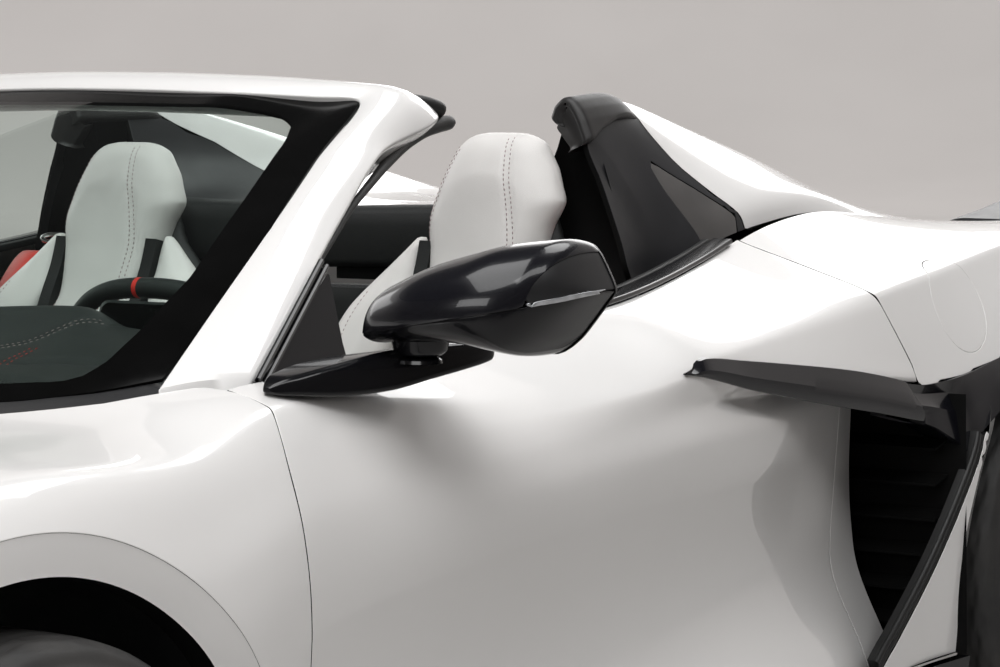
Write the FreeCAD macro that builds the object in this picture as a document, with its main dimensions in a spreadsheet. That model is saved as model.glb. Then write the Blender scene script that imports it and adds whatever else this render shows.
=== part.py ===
# Mid-engined roadster convertible, roof stowed. Millimetres.
# Frame: origin on the ground under the middle of the car, +Z up, the nose points to -Y,
# the car's left side (driver) is +X. The body is lofted from short tables of half sections.
import FreeCAD, Part
import math
import os

V = FreeCAD.Vector
doc = FreeCAD.newDocument("roadster")

# ---------------------------------------------------------------- driving dimensions
DIMS = dict(
    wheelbase=2722, front_axle_y=-1334, length_all=4688,
    front_wheel_radius=336, rear_wheel_radius=353, front_tyre_width=272, rear_tyre_width=335,
    front_rim_radius=262, rear_rim_radius=275, front_wheel_x=822, rear_wheel_x=838,
    arch_radius_front=396, arch_radius_rear=402, disc_radius_front=199, disc_radius_rear=190,
    disc_thick=34, hub_radius=36, skin=26, door_skin=40,
    hinge_x=900, hinge_y=-815, kingpin_x=735, engine_long=760, engine_wide=640, engine_high=430,
    engine_y=1050, engine_z=180, exhaust_radius=46, exhaust_wall=3, exhaust_long=170, exhaust_y=2172,
    exhaust_z=330, column_radius=32, rim_grip=16, steer_radius=172, steer_tilt=24,
    arm_radius=16, glass_thick=6, tub_wall=12, fuel_radius=88,
)
sheet = doc.addObject("Spreadsheet::Sheet", "dims")
for row, (alias, value) in enumerate(DIMS.items(), 1):
    sheet.set("A%d" % row, alias)
    sheet.set("B%d" % row, str(value))
    sheet.setAlias("B%d" % row, alias)
doc.recompute()


class Dim:
    """A sheet value and the expression that gives it."""

    def __init__(self, value, text):
        self.value, self.text = float(value), text

    def _mix(self, other, sign):
        o = other if isinstance(other, Dim) else Dim(other, "%g" % other)
        v = {"+": self.value + o.value, "-": self.value - o.value, "*": self.value * o.value,
             "/": self.value / o.value if sign == "/" else 0}[sign]
        return Dim(v, "(%s %s %s)" % (self.text, sign, o.text))

    def __add__(self, o): return self._mix(o, "+")
    def __sub__(self, o): return self._mix(o, "-")
    def __mul__(self, o): return self._mix(o, "*")
    def __truediv__(self, o): return self._mix(o, "/")


def dim(alias):
    return Dim(sheet.get(alias), "dims." + alias)


def num(alias):
    return float(sheet.get(alias))


def n(value):
    return value if isinstance(value, Dim) else Dim(value, "%g" % value)


OUT = {}                     # node name -> document object


def node(name, obj):
    obj.Label = name
    OUT[name] = obj
    return obj


def feature(name, shape):
    """A node whose curved shape only Part's own functions give."""
    obj = doc.addObject("Part::Feature", name)
    obj.Shape = shape
    return node(name, obj)


# ---------------------------------------------------------------- helpers for plain objects
def prim(kind, name, at=(0, 0, 0), axis=None, angle=0, **sizes):
    """A Part primitive whose sizes are bound to sheet cells."""
    o = doc.addObject("Part::" + kind, name)
    for prop, value in sizes.items():
        value = n(value)
        setattr(o, prop, value.value)
        o.setExpression(prop, value.text)
    rot = FreeCAD.Rotation(V(*axis), angle) if axis else FreeCAD.Rotation()
    o.Placement = FreeCAD.Placement(V(*at), rot)
    return o


def box(name, lo, size, axis=None, angle=0):
    return prim("Box", name, lo, axis, angle, Length=size[0], Width=size[1], Height=size[2])


def cyl(name, at, radius, height, axis=None, angle=0):
    return prim("Cylinder", name, at, axis, angle, Radius=radius, Height=height)


def fuse(name, parts):
    o = doc.addObject("Part::MultiFuse", name)
    o.Shapes = parts
    return o


def cut(name, base, tool):
    o = doc.addObject("Part::Cut", name)
    o.Base, o.Tool = base, tool
    return o


def plane_of(body, role):
    return [f for f in body.Origin.OriginFeatures if f.Role == role][0]


def polygon_sketch(body, name, role, points):
    """A closed polygon whose corners are held at bound distances from the origin (all positive)."""
    import Sketcher
    sk = body.newObject("Sketcher::SketchObject", name)
    sk.AttachmentSupport = [(plane_of(body, role), "")]
    sk.MapMode = "FlatFace"
    pts = [(n(a), n(b)) for a, b in points]
    k = len(pts)
    for i in range(k):
        a, b = pts[i], pts[(i + 1) % k]
        sk.addGeometry(Part.LineSegment(V(a[0].value, a[1].value, 0), V(b[0].value, b[1].value, 0)), False)
    for i in range(k):
        sk.addConstraint(Sketcher.Constraint("Coincident", i, 2, (i + 1) % k, 1))
    for i, (a, b) in enumerate(pts):
        for kind, val in (("DistanceX", a), ("DistanceY", b)):
            c = sk.addConstraint(Sketcher.Constraint(kind, -1, 1, i, 1, val.value))
            sk.renameConstraint(c, "%s%d" % (kind[-1], i))
            sk.setExpression("Constraints.%s%d" % (kind[-1], i), val.text)
    return sk


def revolved(name, points, at, turn=None):
    """A PartDesign body: polygon (u across the axis, radius) revolved about the body's X axis."""
    body = doc.addObject("PartDesign::Body", name)
    sk = polygon_sketch(body, name + "_profile", "XZ_Plane", points)
    rev = body.newObject("PartDesign::Revolution", name + "_turned")
    rev.Profile = sk
    rev.ReferenceAxis = (sk, ["H_Axis"])
    rev.Angle = 360
    body.Placement = FreeCAD.Placement(V(*at), turn or FreeCAD.Rotation())
    return body


# ---------------------------------------------------------------- helpers for lofted panels
def poly(points):
    return Part.makePolygon([V(*p) for p in points] + [V(*points[0])])


def flattened(points):
    """The points moved onto the plane through their middle, square to the polygon's own area vector."""
    c = [sum(p[i] for p in points) / len(points) for i in range(3)]
    m = V(0, 0, 0)
    for a, b in zip(points, points[1:] + points[:1]):
        m = m + (V(*a) - V(*c)).cross(V(*b) - V(*c))
    m.normalize()
    return [tuple(V(*p) - m * (V(*p) - V(*c)).dot(m)) for p in points]


def loft(sections):
    sections = [flattened(sections[0])] + sections[1:-1] + [flattened(sections[-1])]
    s = Part.makeLoft([poly(x) for x in sections], True, True)
    if s.Volume < 0:
        s.reverse()
    return s


def offset_open(line, t):
    """An open 2D polyline moved t to its left, mitred."""
    out = []
    for i, p in enumerate(line):
        dirs = []
        if i > 0:
            a = line[i - 1]
            l = math.hypot(p[0] - a[0], p[1] - a[1]) or 1
            dirs.append(((p[0] - a[0]) / l, (p[1] - a[1]) / l))
        if i < len(line) - 1:
            b = line[i + 1]
            l = math.hypot(b[0] - p[0], b[1] - p[1]) or 1
            dirs.append(((b[0] - p[0]) / l, (b[1] - p[1]) / l))
        nx = sum(-d[1] for d in dirs)
        nz = sum(d[0] for d in dirs)
        l = math.hypot(nx, nz) or 1
        nx, nz = nx / l, nz / l
        c = max(0.55, nx * -dirs[0][1] + nz * dirs[0][0])
        out.append((p[0] + nx * t / c, p[1] + nz * t / c))
    return out


def mirror(shape):
    return shape.mirror(V(0, 0, 0), V(1, 0, 0))


def prism_side(yz, x0, x1):
    """Side-view outline [(y, z)...] pushed from x0 to x1."""
    f = Part.Face(poly([(x0, y, z) for y, z in yz]))
    return f.extrude(V(x1 - x0, 0, 0))


def prism_top(xy, z0, z1):
    """Plan-view outline [(x, y)...] pushed from z0 to z1."""
    f = Part.Face(poly([(x, y, z0) for x, y in xy]))
    return f.extrude(V(0, 0, z1 - z0))


def block(x0, x1, y0, y1, z0, z1):
    return Part.makeBox(x1 - x0, y1 - y0, z1 - z0, V(x0, y0, z0))


def rod(a, b, r):
    d = V(*b) - V(*a)
    return Part.makeCylinder(r, d.Length, V(*a), d)


def union(shapes):
    s = shapes[0]
    for o in shapes[1:]:
        s = s.fuse(o)
    return s


def solids(shape):
    """The same shape as one solid or a plain compound of its solids."""
    found = [s for s in shape.Solids if s.Volume > 50]
    return found[0] if len(found) == 1 else Part.makeCompound(found)


def pair(shape):
    return Part.makeCompound([s for s in shape.Solids] + [mirror(s) for s in shape.Solids])


# ---------------------------------------------------------------- body sections
# Half sections from the nose to the back of the door. Columns after y: x and z of
# sill, kick (top of the lower flare), waist, crease, bow (fullest), ledge (under the blade),
# blade (its outer edge), crest, rail (window rail or lid edge); then z on the centre line.
FRONT = [
    # y      sill      kick      waist     crease    bow       ledge     blade     crest     rail      mid
    (-2344, 150, 250, 190, 320, 195, 370, 195, 410, 190, 440, 182, 470, 172, 500, 150, 528, 105, 548, 556),
    (-2270, 480, 190, 540, 260, 552, 330, 550, 390, 542, 430, 528, 470, 508, 510, 465, 552, 330, 592, 606),
    (-2150, 740, 145, 780, 230, 788, 320, 786, 400, 776, 450, 762, 500, 738, 545, 685, 588, 500, 638, 650),
    (-1980, 870, 132, 895, 220, 898, 330, 893, 430, 884, 490, 868, 545, 845, 600, 795, 655, 620, 695, 700),
    (-1760, 928, 130, 945, 220, 945, 340, 940, 450, 930, 530, 915, 600, 892, 665, 850, 740, 700, 752, 742),
    (-1334, 955, 130, 965, 230, 970, 370, 970, 500, 965, 590, 955, 670, 932, 745, 875, 825, 740, 828, 775),
    (-980, 948, 130, 958, 235, 945, 380, 940, 520, 940, 600, 930, 680, 910, 745, 880, 812, 760, 840, 835),
    (-850, 945, 130, 952, 240, 915, 430, 927, 595, 930, 650, 925, 715, 905, 785, 872, 853, 808, 868, 880),
    (-300, 940, 130, 948, 245, 888, 448, 922, 625, 933, 684, 925, 735, 907, 775, 876, 806, 790, 866, 900),
    (0, 940, 130, 948, 250, 884, 452, 920, 628, 932, 694, 922, 745, 917, 785, 900, 803, 785, 885, 900),
    (150, 940, 130, 948, 258, 880, 458, 914, 622, 926, 700, 912, 752, 920, 798, 914, 817, 775, 893, 900),
    (350, 943, 130, 946, 270, 872, 464, 902, 616, 912, 706, 890, 742, 936, 776, 912, 831, 745, 908, 920),
    (550, 948, 130, 935, 280, 858, 455, 876, 606, 886, 700, 868, 730, 946, 750, 908, 846, 712, 930, 940),
    (750, 952, 130, 905, 282, 838, 440, 842, 585, 846, 692, 842, 716, 952, 728, 906, 864, 686, 962, 970),
    (880, 955, 130, 880, 280, 820, 430, 812, 580, 815, 690, 812, 708, 957, 712, 905, 875, 682, 972, 980),
]
# Half sections of the rear wing and tail: sill, kick, waist, flank, blade, crest, rail, mid.
REAR = [
    # y     sill      kick       waist      flank      blade      crest     rail      mid
    (650, 946, 130, 962, 250, 968, 400, 985, 560, 950, 740, 907, 855, 700, 945, 960),
    (860, 956, 130, 968, 270, 980, 420, 996, 570, 957, 712, 905, 873, 682, 975, 1000),
    (1040, 985, 135, 998, 280, 1004, 430, 1008, 600, 970, 712, 905, 888, 676, 985, 1010),
    (1388, 1000, 150, 1010, 280, 1012, 430, 1012, 590, 1000, 745, 905, 922, 650, 975, 975),
    (1760, 985, 160, 1000, 280, 1005, 430, 1002, 590, 988, 755, 895, 942, 640, 958, 955),
    (2050, 935, 190, 955, 300, 962, 450, 960, 600, 948, 765, 865, 948, 640, 955, 950),
    (2250, 800, 240, 855, 340, 870, 470, 870, 620, 862, 775, 805, 948, 640, 952, 946),
    (2344, 560, 310, 640, 400, 690, 520, 715, 650, 725, 790, 700, 925, 560, 945, 940),
]


def half(row):
    """[(x, z)...] from sill to rail."""
    return [(row[1 + 2 * i], row[2 + 2 * i]) for i in range((len(row) - 2) // 2)]


def at_station(table, y):
    for a, b in zip(table, table[1:]):
        if a[0] <= y <= b[0]:
            k = (y - a[0]) / float(b[0] - a[0])
            return (y,) + tuple(p + (q - p) * k for p, q in zip(a[1:], b[1:]))
    raise ValueError(y)


def stations(table, y0, y1):
    rows = [at_station(table, y0)] + [r for r in table if y0 + 8 < r[0] < y1 - 8] + [at_station(table, y1)]
    return rows


def full_section(row, inset=0.0):
    line = half(row) + [(0.0, row[-1])]
    if inset:
        line = offset_open(line, inset)
        line[-1] = (0.0, row[-1] - inset)
        line = [(max(0, x), max(z, line[0][1])) for x, z in line]
    left = [(x, row[0], z) for x, z in line]
    right = [(-x, row[0], z) for x, z in reversed(line[:-1])]
    return left + right


def shell_between(table, y0, y1, t, front_wall=0, back_wall=0):
    outer = loft([full_section(r) for r in stations(table, y0, y1)])
    inner_rows = stations(table, y0 + front_wall, y1 - back_wall)
    secs = []
    for i, r in enumerate(inner_rows):
        s = full_section(r, t)
        if i == 0 and not front_wall:
            s = [(x, y - 5, z) for x, y, z in s]
        if i == len(inner_rows) - 1 and not back_wall:
            s = [(x, y + 5, z) for x, y, z in s]
        secs.append(s)
    return outer.cut(loft(secs))


def skin_full(table, y0, y1, t):
    """The whole width between the first columns as one skin of thickness t."""
    secs = []
    for r in stations(table, y0, y1):
        line = half(r) + [(0.0, r[-1])]
        line = line + [(-x, z) for x, z in reversed(line[:-1])]
        inner = offset_open(line, t)
        secs.append([(x, r[0], z) for x, z in line] + [(x, r[0], z) for x, z in reversed(inner)])
    return loft(secs)


def side_skin(table, y0, y1, first, last, t0, t1):
    """The body side between two columns, from t0 to t1 under the outer surface, +X side."""
    secs = []
    for r in stations(table, y0, y1):
        line = half(r)[first:last + 1]
        a = offset_open(line, t0) if t0 else line
        b = offset_open(line, t1)
        secs.append([(x, r[0], z) for x, z in a] + [(x, r[0], z) for x, z in reversed(b)])
    return loft(secs)


YF = num("front_axle_y")
YR = YF + num("wheelbase")
ZF, ZR = num("front_wheel_radius"), num("rear_wheel_radius")
T = num("skin")
HX, HY = num("hinge_x"), num("hinge_y")

# ---------------------------------------------------------------- panel outlines
LID = [(600, -1003), (655, -1334), (610, -1760), (430, -2110), (0, -2165)]                  # x, y of the front lid, left half
LID = LID + [(-x, y) for x, y in reversed(LID[:-1])]
LAMP = [(560, -2105), (700, -2105), (835, -1960), (842, -1770), (742, -1770), (652, -1960)]  # x, y of the left headlamp
DOOR_FRONT = [(-838, 245), (-843, 400), (-848, 553), (-851, 586), (-858, 663), (-860, 715), (-858, 782), (-838, 872), (-820, 905)]
DOOR_REAR = [(668, 1010), (700, 945), (762, 880), (826, 748), (832, 700), (772, 688), (752, 550), (735, 430), (722, 300), (712, 245)]
LEAD = [(640, 240), (700, 282), (730, 300), (852, 405), (934, 511), (1000, 605), (1020, 660)]  # y, z of the rear wing's leading edge


def grown(outline, by):
    """A convex plan outline scaled about its middle so that it grows by about `by`."""
    cx = sum(p[0] for p in outline) / len(outline)
    cy = sum(p[1] for p in outline) / len(outline)
    out = []
    for x, y in outline:
        l = math.hypot(x - cx, y - cy)
        out.append((x + (x - cx) / l * by, y + (y - cy) / l * by))
    return out


arch_f = Part.makeCylinder(num("arch_radius_front"), 600, V(560, YF, ZF), V(1, 0, 0))
arch_r = Part.makeCylinder(num("arch_radius_rear"), 600, V(560, YR, ZR), V(1, 0, 0))
hinge_relief = Part.makeCylinder(67, 1200, V(HX, HY, 100), V(0, 0, 1))
lid_hole = prism_top(grown(LID, 7), 500, 1100)
lamp_cut = prism_top(grown(LAMP, 3), 540, 1100)

# ---------------------------------------------------------------- nose, front wings, lid
nose = shell_between(FRONT, -2344, -1764, T, front_wall=30)
nose = nose.cut(lid_hole).cut(lamp_cut).cut(mirror(lamp_cut)).cut(arch_f).cut(mirror(arch_f))
for side in (1, -1):
    nose = nose.cut(prism_side([(-2240, 215), (-1960, 200), (-1990, 400), (-2200, 395)], 560 * side, 1000 * side))
nose = nose.cut(block(-330, 330, -2400, -2240, 285, 375))
splitter = prism_top([(0, -2330), (560, -2262), (760, -2170), (885, -2000), (915, -1830), (860, -1830), (700, -2040), (0, -2120),
                      (-700, -2040), (-860, -1830), (-915, -1830), (-885, -2000), (-760, -2170), (-560, -2262)], 112, 128)
nose_low = nose.common(block(-1200, 1200, -2400, -1700, 128, 1200))
feature("front_bumper", solids(nose_low.fuse(splitter)))

lamp = shell_between(FRONT, -2130, -1766, 40).common(prism_top(LAMP, 560, 1100))
feature("headlamps", pair(solids(lamp)))

wing = shell_between(FRONT, -1760, -840, T)
wing_l = wing.common(block(0, 1200, -1760, -840, 245, 1200)).cut(lid_hole)
wing_l = wing_l.cut(block(-10, 640, -1005, -800, 700, 1200)).cut(arch_f)
wing_l = wing_l.cut(hinge_relief)
wing_l = wing_l.cut(prism_side([(-845, 200), (-850, 400), (-856, 553), (-866, 663), (-868, 715), (-866, 782), (-846, 862), (-846, 1200), (-700, 1200), (-700, 200)], 500, 1200))

lid = shell_between(FRONT, -2190, -1000, 22).common(prism_top(LID, 500, 1100)).common(block(-700, 700, -2200, -1003, 500, 1100))
lid = lid.cut(block(-700, 700, -2200, -1990, 400, 560))
barrels = [Part.makeCylinder(6, 90, V(x, -1003, 828), V(1, 0, 0)) for x in (-510, 420)]
feature("front_lid", solids(union([lid] + barrels)))

# luggage well under the front lid, open at the top
well = block(-430, 430, -1960, -1420, 300, 640).cut(block(-418, 418, -1948, -1432, 312, 700))
TUBS = [well]

# ---------------------------------------------------------------- windscreen frame, cowl, glass
# Left pillar: outer edge, glass edge and the depth under them, from the foot to the header corner.
PILLAR = [
    # x_out  y_out  z_out   x_gl  y_gl   z_gl   depth
    (790, -770, 868, 738, -886, 868, 55),
    (722, -570, 962, 694, -720, 948, 50),
    (650, -376, 1044, 640, -540, 1026, 46),
    (588, -190, 1122, 570, -330, 1112, 44),
    (530, -20, 1188, 505, -150, 1192, 42),
]


def pillar_section(r):
    xo, yo, zo, xg, yg, zg, dep = r
    return [(xg, yg, zg), ((xo + xg) / 2 + 3, (yo + yg) / 2, (zo + zg) / 2 + 4), (xo, yo, zo), (xo - 34, yo - 6, zo - dep), (xg - 22, yg + 30, zg - dep * 0.8)]


# header: half sections across the car: front edge, top, rear edge, then two points underneath
HEADER = [
    # x   y_front z_front  y_top z_top  y_rear z_rear
    (440, -166, 1198, -106, 1223, -8, 1195),
    (300, -184, 1206, -122, 1231, -24, 1205),
    (150, -196, 1211, -135, 1236, -40, 1212),
    (0, -200, 1213, -140, 1238, -45, 1214),
]
hs = [[(x, yf, zf), (x, yt, zt), (x, yr, zr), (x, yr - 10, zr - 30), (x, yf + 25, zf - 34)] for x, yf, zf, yt, zt, yr, zr in HEADER]
corner = [(494, -152, 1192), (520, -84, 1216), (522, 0, 1188), (496, -12, 1150), (476, -120, 1154)]
left = [pillar_section(r) for r in PILLAR[:-1]] + [corner] + hs
right = [[(-x, y, z) for x, y, z in sec] for sec in reversed(left[:-1])]
frame_loft = loft(left + right)
feature("windscreen_frame", solids(frame_loft))
cowl = loft([[(x, y0, z0), (x, y1, z1), (x, y1, z1 - 26), (x, y0, z0 - 26)] for x, y0, z0, y1, z1 in [
    (636, -984, 828, -884, 862), (400, -988, 824, -905, 864), (0, -988, 822, -925, 862),
    (-400, -988, 824, -905, 864), (-636, -984, 828, -884, 862)]])
feature("cowl", solids(cowl.cut(frame_loft)))

# glass: bottom and top edge at each x
GLASS = [
    # x   y_bot z_bot   y_top z_top
    (700, -852, 876, -700, 940), (640, -895, 869, -545, 1024), (560, -930, 866, -330, 1112), (490, -945, 867, -168, 1182),
    (300, -968, 869, -196, 1199), (0, -985, 870, -212, 1205), (-300, -968, 869, -196, 1199), (-490, -945, 867, -168, 1182),
    (-560, -930, 866, -330, 1112), (-640, -895, 869, -545, 1024), (-700, -852, 876, -700, 940)]
g = num("glass_thick")
gs = []
for x, yb, zb, yt, zt in GLASS:
    ym, zm = (yb + yt) / 2 - 6, (zb + zt) / 2 + 14 * (abs(yt - yb) / 750.0)
    gs.append([(x, yb, zb), (x, ym, zm), (x, yt, zt), (x, yt, zt - g * 2), (x, ym, zm - g * 2), (x, yb, zb - g * 2)])
glass = loft(gs).cut(frame_loft).cut(cowl)
feature("windscreen", solids(glass))
wing_l = wing_l.cut(frame_loft).cut(cowl).cut(glass)
feature("front_wings", pair(solids(wing_l)))

# ---------------------------------------------------------------- doors
door_prism = prism_side(DOOR_FRONT + DOOR_REAR, 600, 1200)
DS = num("door_skin")
door = side_skin(FRONT, -850 + 0, 878, 1, 8, 0, DS)
door = side_skin([(-880,) + FRONT[7][1:]] + FRONT[8:], -870, 860, 1, 8, 0, DS).common(door_prism)
door_l = solids(door)
feature("door_left", door_l)
feature("door_right", mirror(door_l))
# inner half of the door, from the rail down to the sill
trim = loft([[(842, -762, 300), (824, -762, 480), (826, -762, 798), (742, -762, 798), (742, -762, 300)],
             [(838, -300, 300), (822, -300, 480), (828, -300, 780), (735, -300, 832), (735, -300, 300)],
             [(828, 100, 300), (816, 100, 480), (824, 100, 780), (725, 100, 848), (725, 100, 300)],
             [(792, 560, 320), (790, 560, 480), (796, 560, 690), (676, 560, 872), (690, 560, 320)]])
trim = trim.cut(door_l)
feature("door_trim_left", solids(trim))
feature("door_trim_right", mirror(solids(trim)))

# belt trim: strip along the window sill, the sail behind the pillar foot and the mirror arm
strip = loft([[(rx - 30, y, rz - 4), (rx - 1, y, rz + 1), (rx - 1, y, rz + 8), (rx - 30, y, rz + 5)] for y, rx, rz in
              [(r[0], half(r)[8][0], half(r)[8][1]) for r in stations([(-880,) + FRONT[7][1:]] + FRONT[8:], -690, 672)]])
sail = Part.Face(poly([(800, -748, 866), (792, -592, 866), (740, -532, 968)])).extrude(V(8, 0, 1))
arm = loft([[(796, -820, 870), (872, -820, 856), (898, -820, 856), (898, -820, 866), (872, -820, 874), (796, -820, 880)],
            [(790, -700, 871), (874, -700, 846), (945, -700, 862), (948, -700, 880), (880, -700, 884), (790, -700, 880)],
            [(860, -560, 852), (880, -560, 842), (985, -560, 868), (985, -560, 884), (900, -560, 884), (862, -560, 862)]])
belt = union([strip, sail, arm]).cut(door_l).cut(trim)
feature("belt_trim_left", solids(belt))
feature("belt_trim_right", mirror(solids(belt)))

# mirror housing, on a stub above the arm
house = loft([[(880, -690, 925), (880, -560, 925), (880, -560, 985), (880, -640, 990)],
              [(960, -700, 893), (960, -560, 893), (960, -560, 1022), (960, -640, 1030)],
              [(1050, -660, 892), (1050, -545, 892), (1050, -545, 1040), (1050, -600, 1046)],
              [(1118, -570, 905), (1118, -520, 905), (1118, -520, 1020), (1118, -540, 1028)]])
mir = house.fuse(Part.makeCylinder(14, 40, V(950, -625, 885.5)))
feature("mirror_left", solids(mir))
feature("mirror_right", mirror(solids(mir)))

# ---------------------------------------------------------------- rear wings with their intakes
wing_r = shell_between(REAR, 650, 2062, T)
wing_r = wing_r.common(block(0, 1200, 600, 2056, 245, 1200))
wing_r = wing_r.cut(arch_r)
# in front of the leading edge and under the blade the wing is open for the intake
wing_r = wing_r.cut(prism_side([(600, 200)] + LEAD[:1] + LEAD + [(1020, 664), (1005, 690), (850, 690), (842, 700), (836, 748), (772, 884), (710, 950), (678, 1012), (640, 1100), (600, 1100)], 600, 1200))
wing_r = wing_r.cut(block(-10, 668, 600, 2100, 700, 1200))
relief = Part.Face(Part.makePolygon([V(HX + r, HY, z) for r, z in
    [(0, 230), (1539, 230), (1549, 300), (1561, 430), (1576, 550), (1597, 694), (1656, 700), (1656, 748), (1592, 880), (1537, 945), (1512, 1020), (0, 1020), (0, 230)]]))
relief = relief.revolve(V(HX, HY, 0), V(0, 0, 1), 360)
wing_r = wing_r.cut(relief)
# fuel filler door cut out of the flank
FUEL = (905, 1062, 822)
fuel_ax = V(0.93, 0.0, 0.36)
fuel_cyl = Part.makeCylinder(num("fuel_radius") + 4, 160, V(*FUEL) - fuel_ax * 40, fuel_ax)
fuel_in = Part.makeCylinder(num("fuel_radius"), 160, V(*FUEL) - fuel_ax * 40, fuel_ax)
flap = wing_r.common(fuel_in)
pocket = Part.makeCylinder(num("fuel_radius") + 22, 8, V(*FUEL) - fuel_ax * 52, fuel_ax)
fuel_t = V(-0.361, 0, 0.9326)
FH = V(921, 977, 828)
wing_r = solids(wing_r.cut(fuel_cyl).cut(Part.makeCylinder(11, 90, FH - fuel_t * 45, fuel_t)))
wing_right = mirror(solids(shell_between(REAR, 650, 2062, T).common(block(0, 1200, 600, 2056, 245, 1200)).cut(arch_r)
    .cut(prism_side([(600, 200)] + LEAD[:1] + LEAD + [(1020, 664), (1005, 690), (850, 690), (842, 700), (836, 748), (772, 884), (710, 950), (678, 1012), (640, 1100), (600, 1100)], 600, 1200))
    .cut(block(-10, 668, 600, 2100, 700, 1200)).cut(relief)))
feature("rear_wings", Part.makeCompound([wing_r, wing_right]))
flap = solids(flap).fuse(Part.makeCylinder(3, 26, FH - fuel_t * 13, fuel_t))
feature("fuel_door", solids(flap))

# intake duct on each side: inner wall, floor, and a grille plate at its back
duct = loft([[(838, 756, 285), (814, 756, 285), (812, 756, 676), (836, 756, 676)],
             [(800, 940, 285), (776, 940, 285), (776, 940, 676), (800, 940, 676)]])
duct = duct.fuse(block(776, 940, 940, 952, 285, 676))
duct = duct.cut(relief)
feature("intake_ducts", pair(solids(duct)))


# ---------------------------------------------------------------- rear lid with its two nacelles
# half sections: edge, foot, shoulder, crest out, crest in, valley foot, then z on the centre line
LIDR = [
    # y     edge       foot       shoulder   out        in         valley     mid
    (472, 628, 905, 610, 960, 575, 1085, 500, 1186, 345, 1180, 245, 1060, 1018),
    (640, 628, 935, 612, 990, 570, 1110, 500, 1186, 335, 1182, 235, 1060, 1018),
    (668, 662, 950, 640, 995, 575, 1100, 500, 1180, 335, 1176, 235, 1058, 1017),
    (860, 662, 975, 655, 1010, 590, 1075, 500, 1150, 335, 1146, 235, 1045, 1012),
    (1040, 662, 985, 648, 1018, 590, 1050, 500, 1112, 335, 1108, 235, 1030, 1005),
    (1388, 662, 972, 640, 980, 570, 1000, 480, 1040, 335, 1038, 235, 995, 980),
    (1760, 662, 957, 620, 962, 540, 970, 450, 985, 335, 984, 235, 966, 956),
    (1990, 662, 954, 620, 956, 540, 958, 450, 960, 335, 960, 235, 956, 952),
]
hood = skin_full(LIDR, 472, 1988, 22)
hood = union([hood] + [Part.makeCylinder(6, 90, V(x, 1986, 944), V(1, 0, 0)) for x in (-590, 500)])
feature("rear_lid", solids(hood))

# tail: bumper with the deck strip behind the lid, lamps, spoiler, diffuser and pipes
tail = shell_between(REAR, 2001, 2344, T, back_wall=T)
tail = tail.cut(block(668, 1100, 1900, 2062, 0, 1200)).cut(block(-1100, -668, 1900, 2062, 0, 1200))
tail = tail.cut(block(-1100, 1100, 1900, 2062, 0, 900))
for side in (1, -1):
    x0, x1 = sorted((395 * side, 625 * side))
    tail = tail.cut(block(x0, x1, 2060, 2400, 236, 366))
lamp_boxes = [block(*sorted((380 * s_, 640 * s_)), 2290, 2360, 705, 800) for s_ in (1, -1)]
for b in lamp_boxes:
    tail = tail.cut(b)
tail = tail.cut(block(-380, 380, 2050, 2400, 100, 336))
for x in (-89, 89):
    tail = tail.cut(Part.makeCylinder(3, 60, V(x, 2300, 560), V(0, 1, 0)))
feature("rear_bumper", solids(tail))
lamps = [block(*sorted((386 * s_, 634 * s_)), 2300, 2340, 711, 794) for s_ in (1, -1)]
feature("tail_lamps", Part.makeCompound(lamps))
spo = loft([[(x, 2085 + bend, z), (x, 2200 + bend, z + 16), (x, 2318 + bend, z + 34), (x, 2322 + bend, z + 22), (x, 2200 + bend, z - 2), (x, 2085 + bend, z - 4)]
            for x, bend, z in [(-620, -45, 962), (-400, -10, 957), (0, 0, 955), (400, -10, 957), (620, -45, 962)]])
feature("spoiler", solids(spo.cut(tail)))
dif = loft([[(x, 2070, 135), (x, 2300, 190), (x, 2318, 330), (x, 2290, 330), (x, 2270, 205), (x, 2070, 155)] for x in (-372, 372)])
dif = union([dif] + [block(x - 6, x + 6, 2090, 2300, 142, 215) for x in (-300, -180, -60, 60, 180, 300)])
feature("diffuser", solids(dif))
pipes = []
for i, x in enumerate((-560, -455, 455, 560)):
    outer = cyl("pipe_out%d" % i, (x, num("exhaust_y"), 300), dim("exhaust_radius"), dim("exhaust_long"), (1, 0, 0), -90)
    inner = cyl("pipe_in%d" % i, (x, num("exhaust_y") - 1, 300), dim("exhaust_radius") - dim("exhaust_wall"), dim("exhaust_long") + 2, (1, 0, 0), -90)
    pipes.append(cut("pipe%d" % i, outer, inner))
can = box("silencer", (-620, 2092, 236), (1240, 80, 128))
node("exhaust", fuse("exhaust", pipes + [can]))

# ---------------------------------------------------------------- under body
SKIRT = [(-925, 946, 955), (-850, 944, 951), (-300, 939, 947), (350, 942, 945), (650, 945, 960), (880, 957, 970), (984, 975, 988)]  # y, x low, x high
sk = loft([[(lo, y, 112), (hi, y, 238), (hi - 90, y, 238), (lo - 80, y, 112)] for y, lo, hi in SKIRT])
feature("side_skirts", pair(solids(sk.cut(arch_f).cut(arch_r))))

liners = []
for yc, zc, r, x1 in ((YF, ZF, num("arch_radius_front") + 10, 904), (YR, ZR, num("arch_radius_rear") + 6, 950)):
    ring = Part.makeCylinder(r + 5, x1 - 560, V(560, yc, zc), V(1, 0, 0)).cut(Part.makeCylinder(r, x1 - 560, V(560, yc, zc), V(1, 0, 0)))
    ring = ring.common(block(500, 1000, yc - 600, yc + 600, 246, 1000)).cut(wing_l if yc < 0 else wing_r)
    liners.append(ring)
feature("arch_liners", Part.makeCompound(liners + [mirror(s_) for s_ in liners]))

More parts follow.
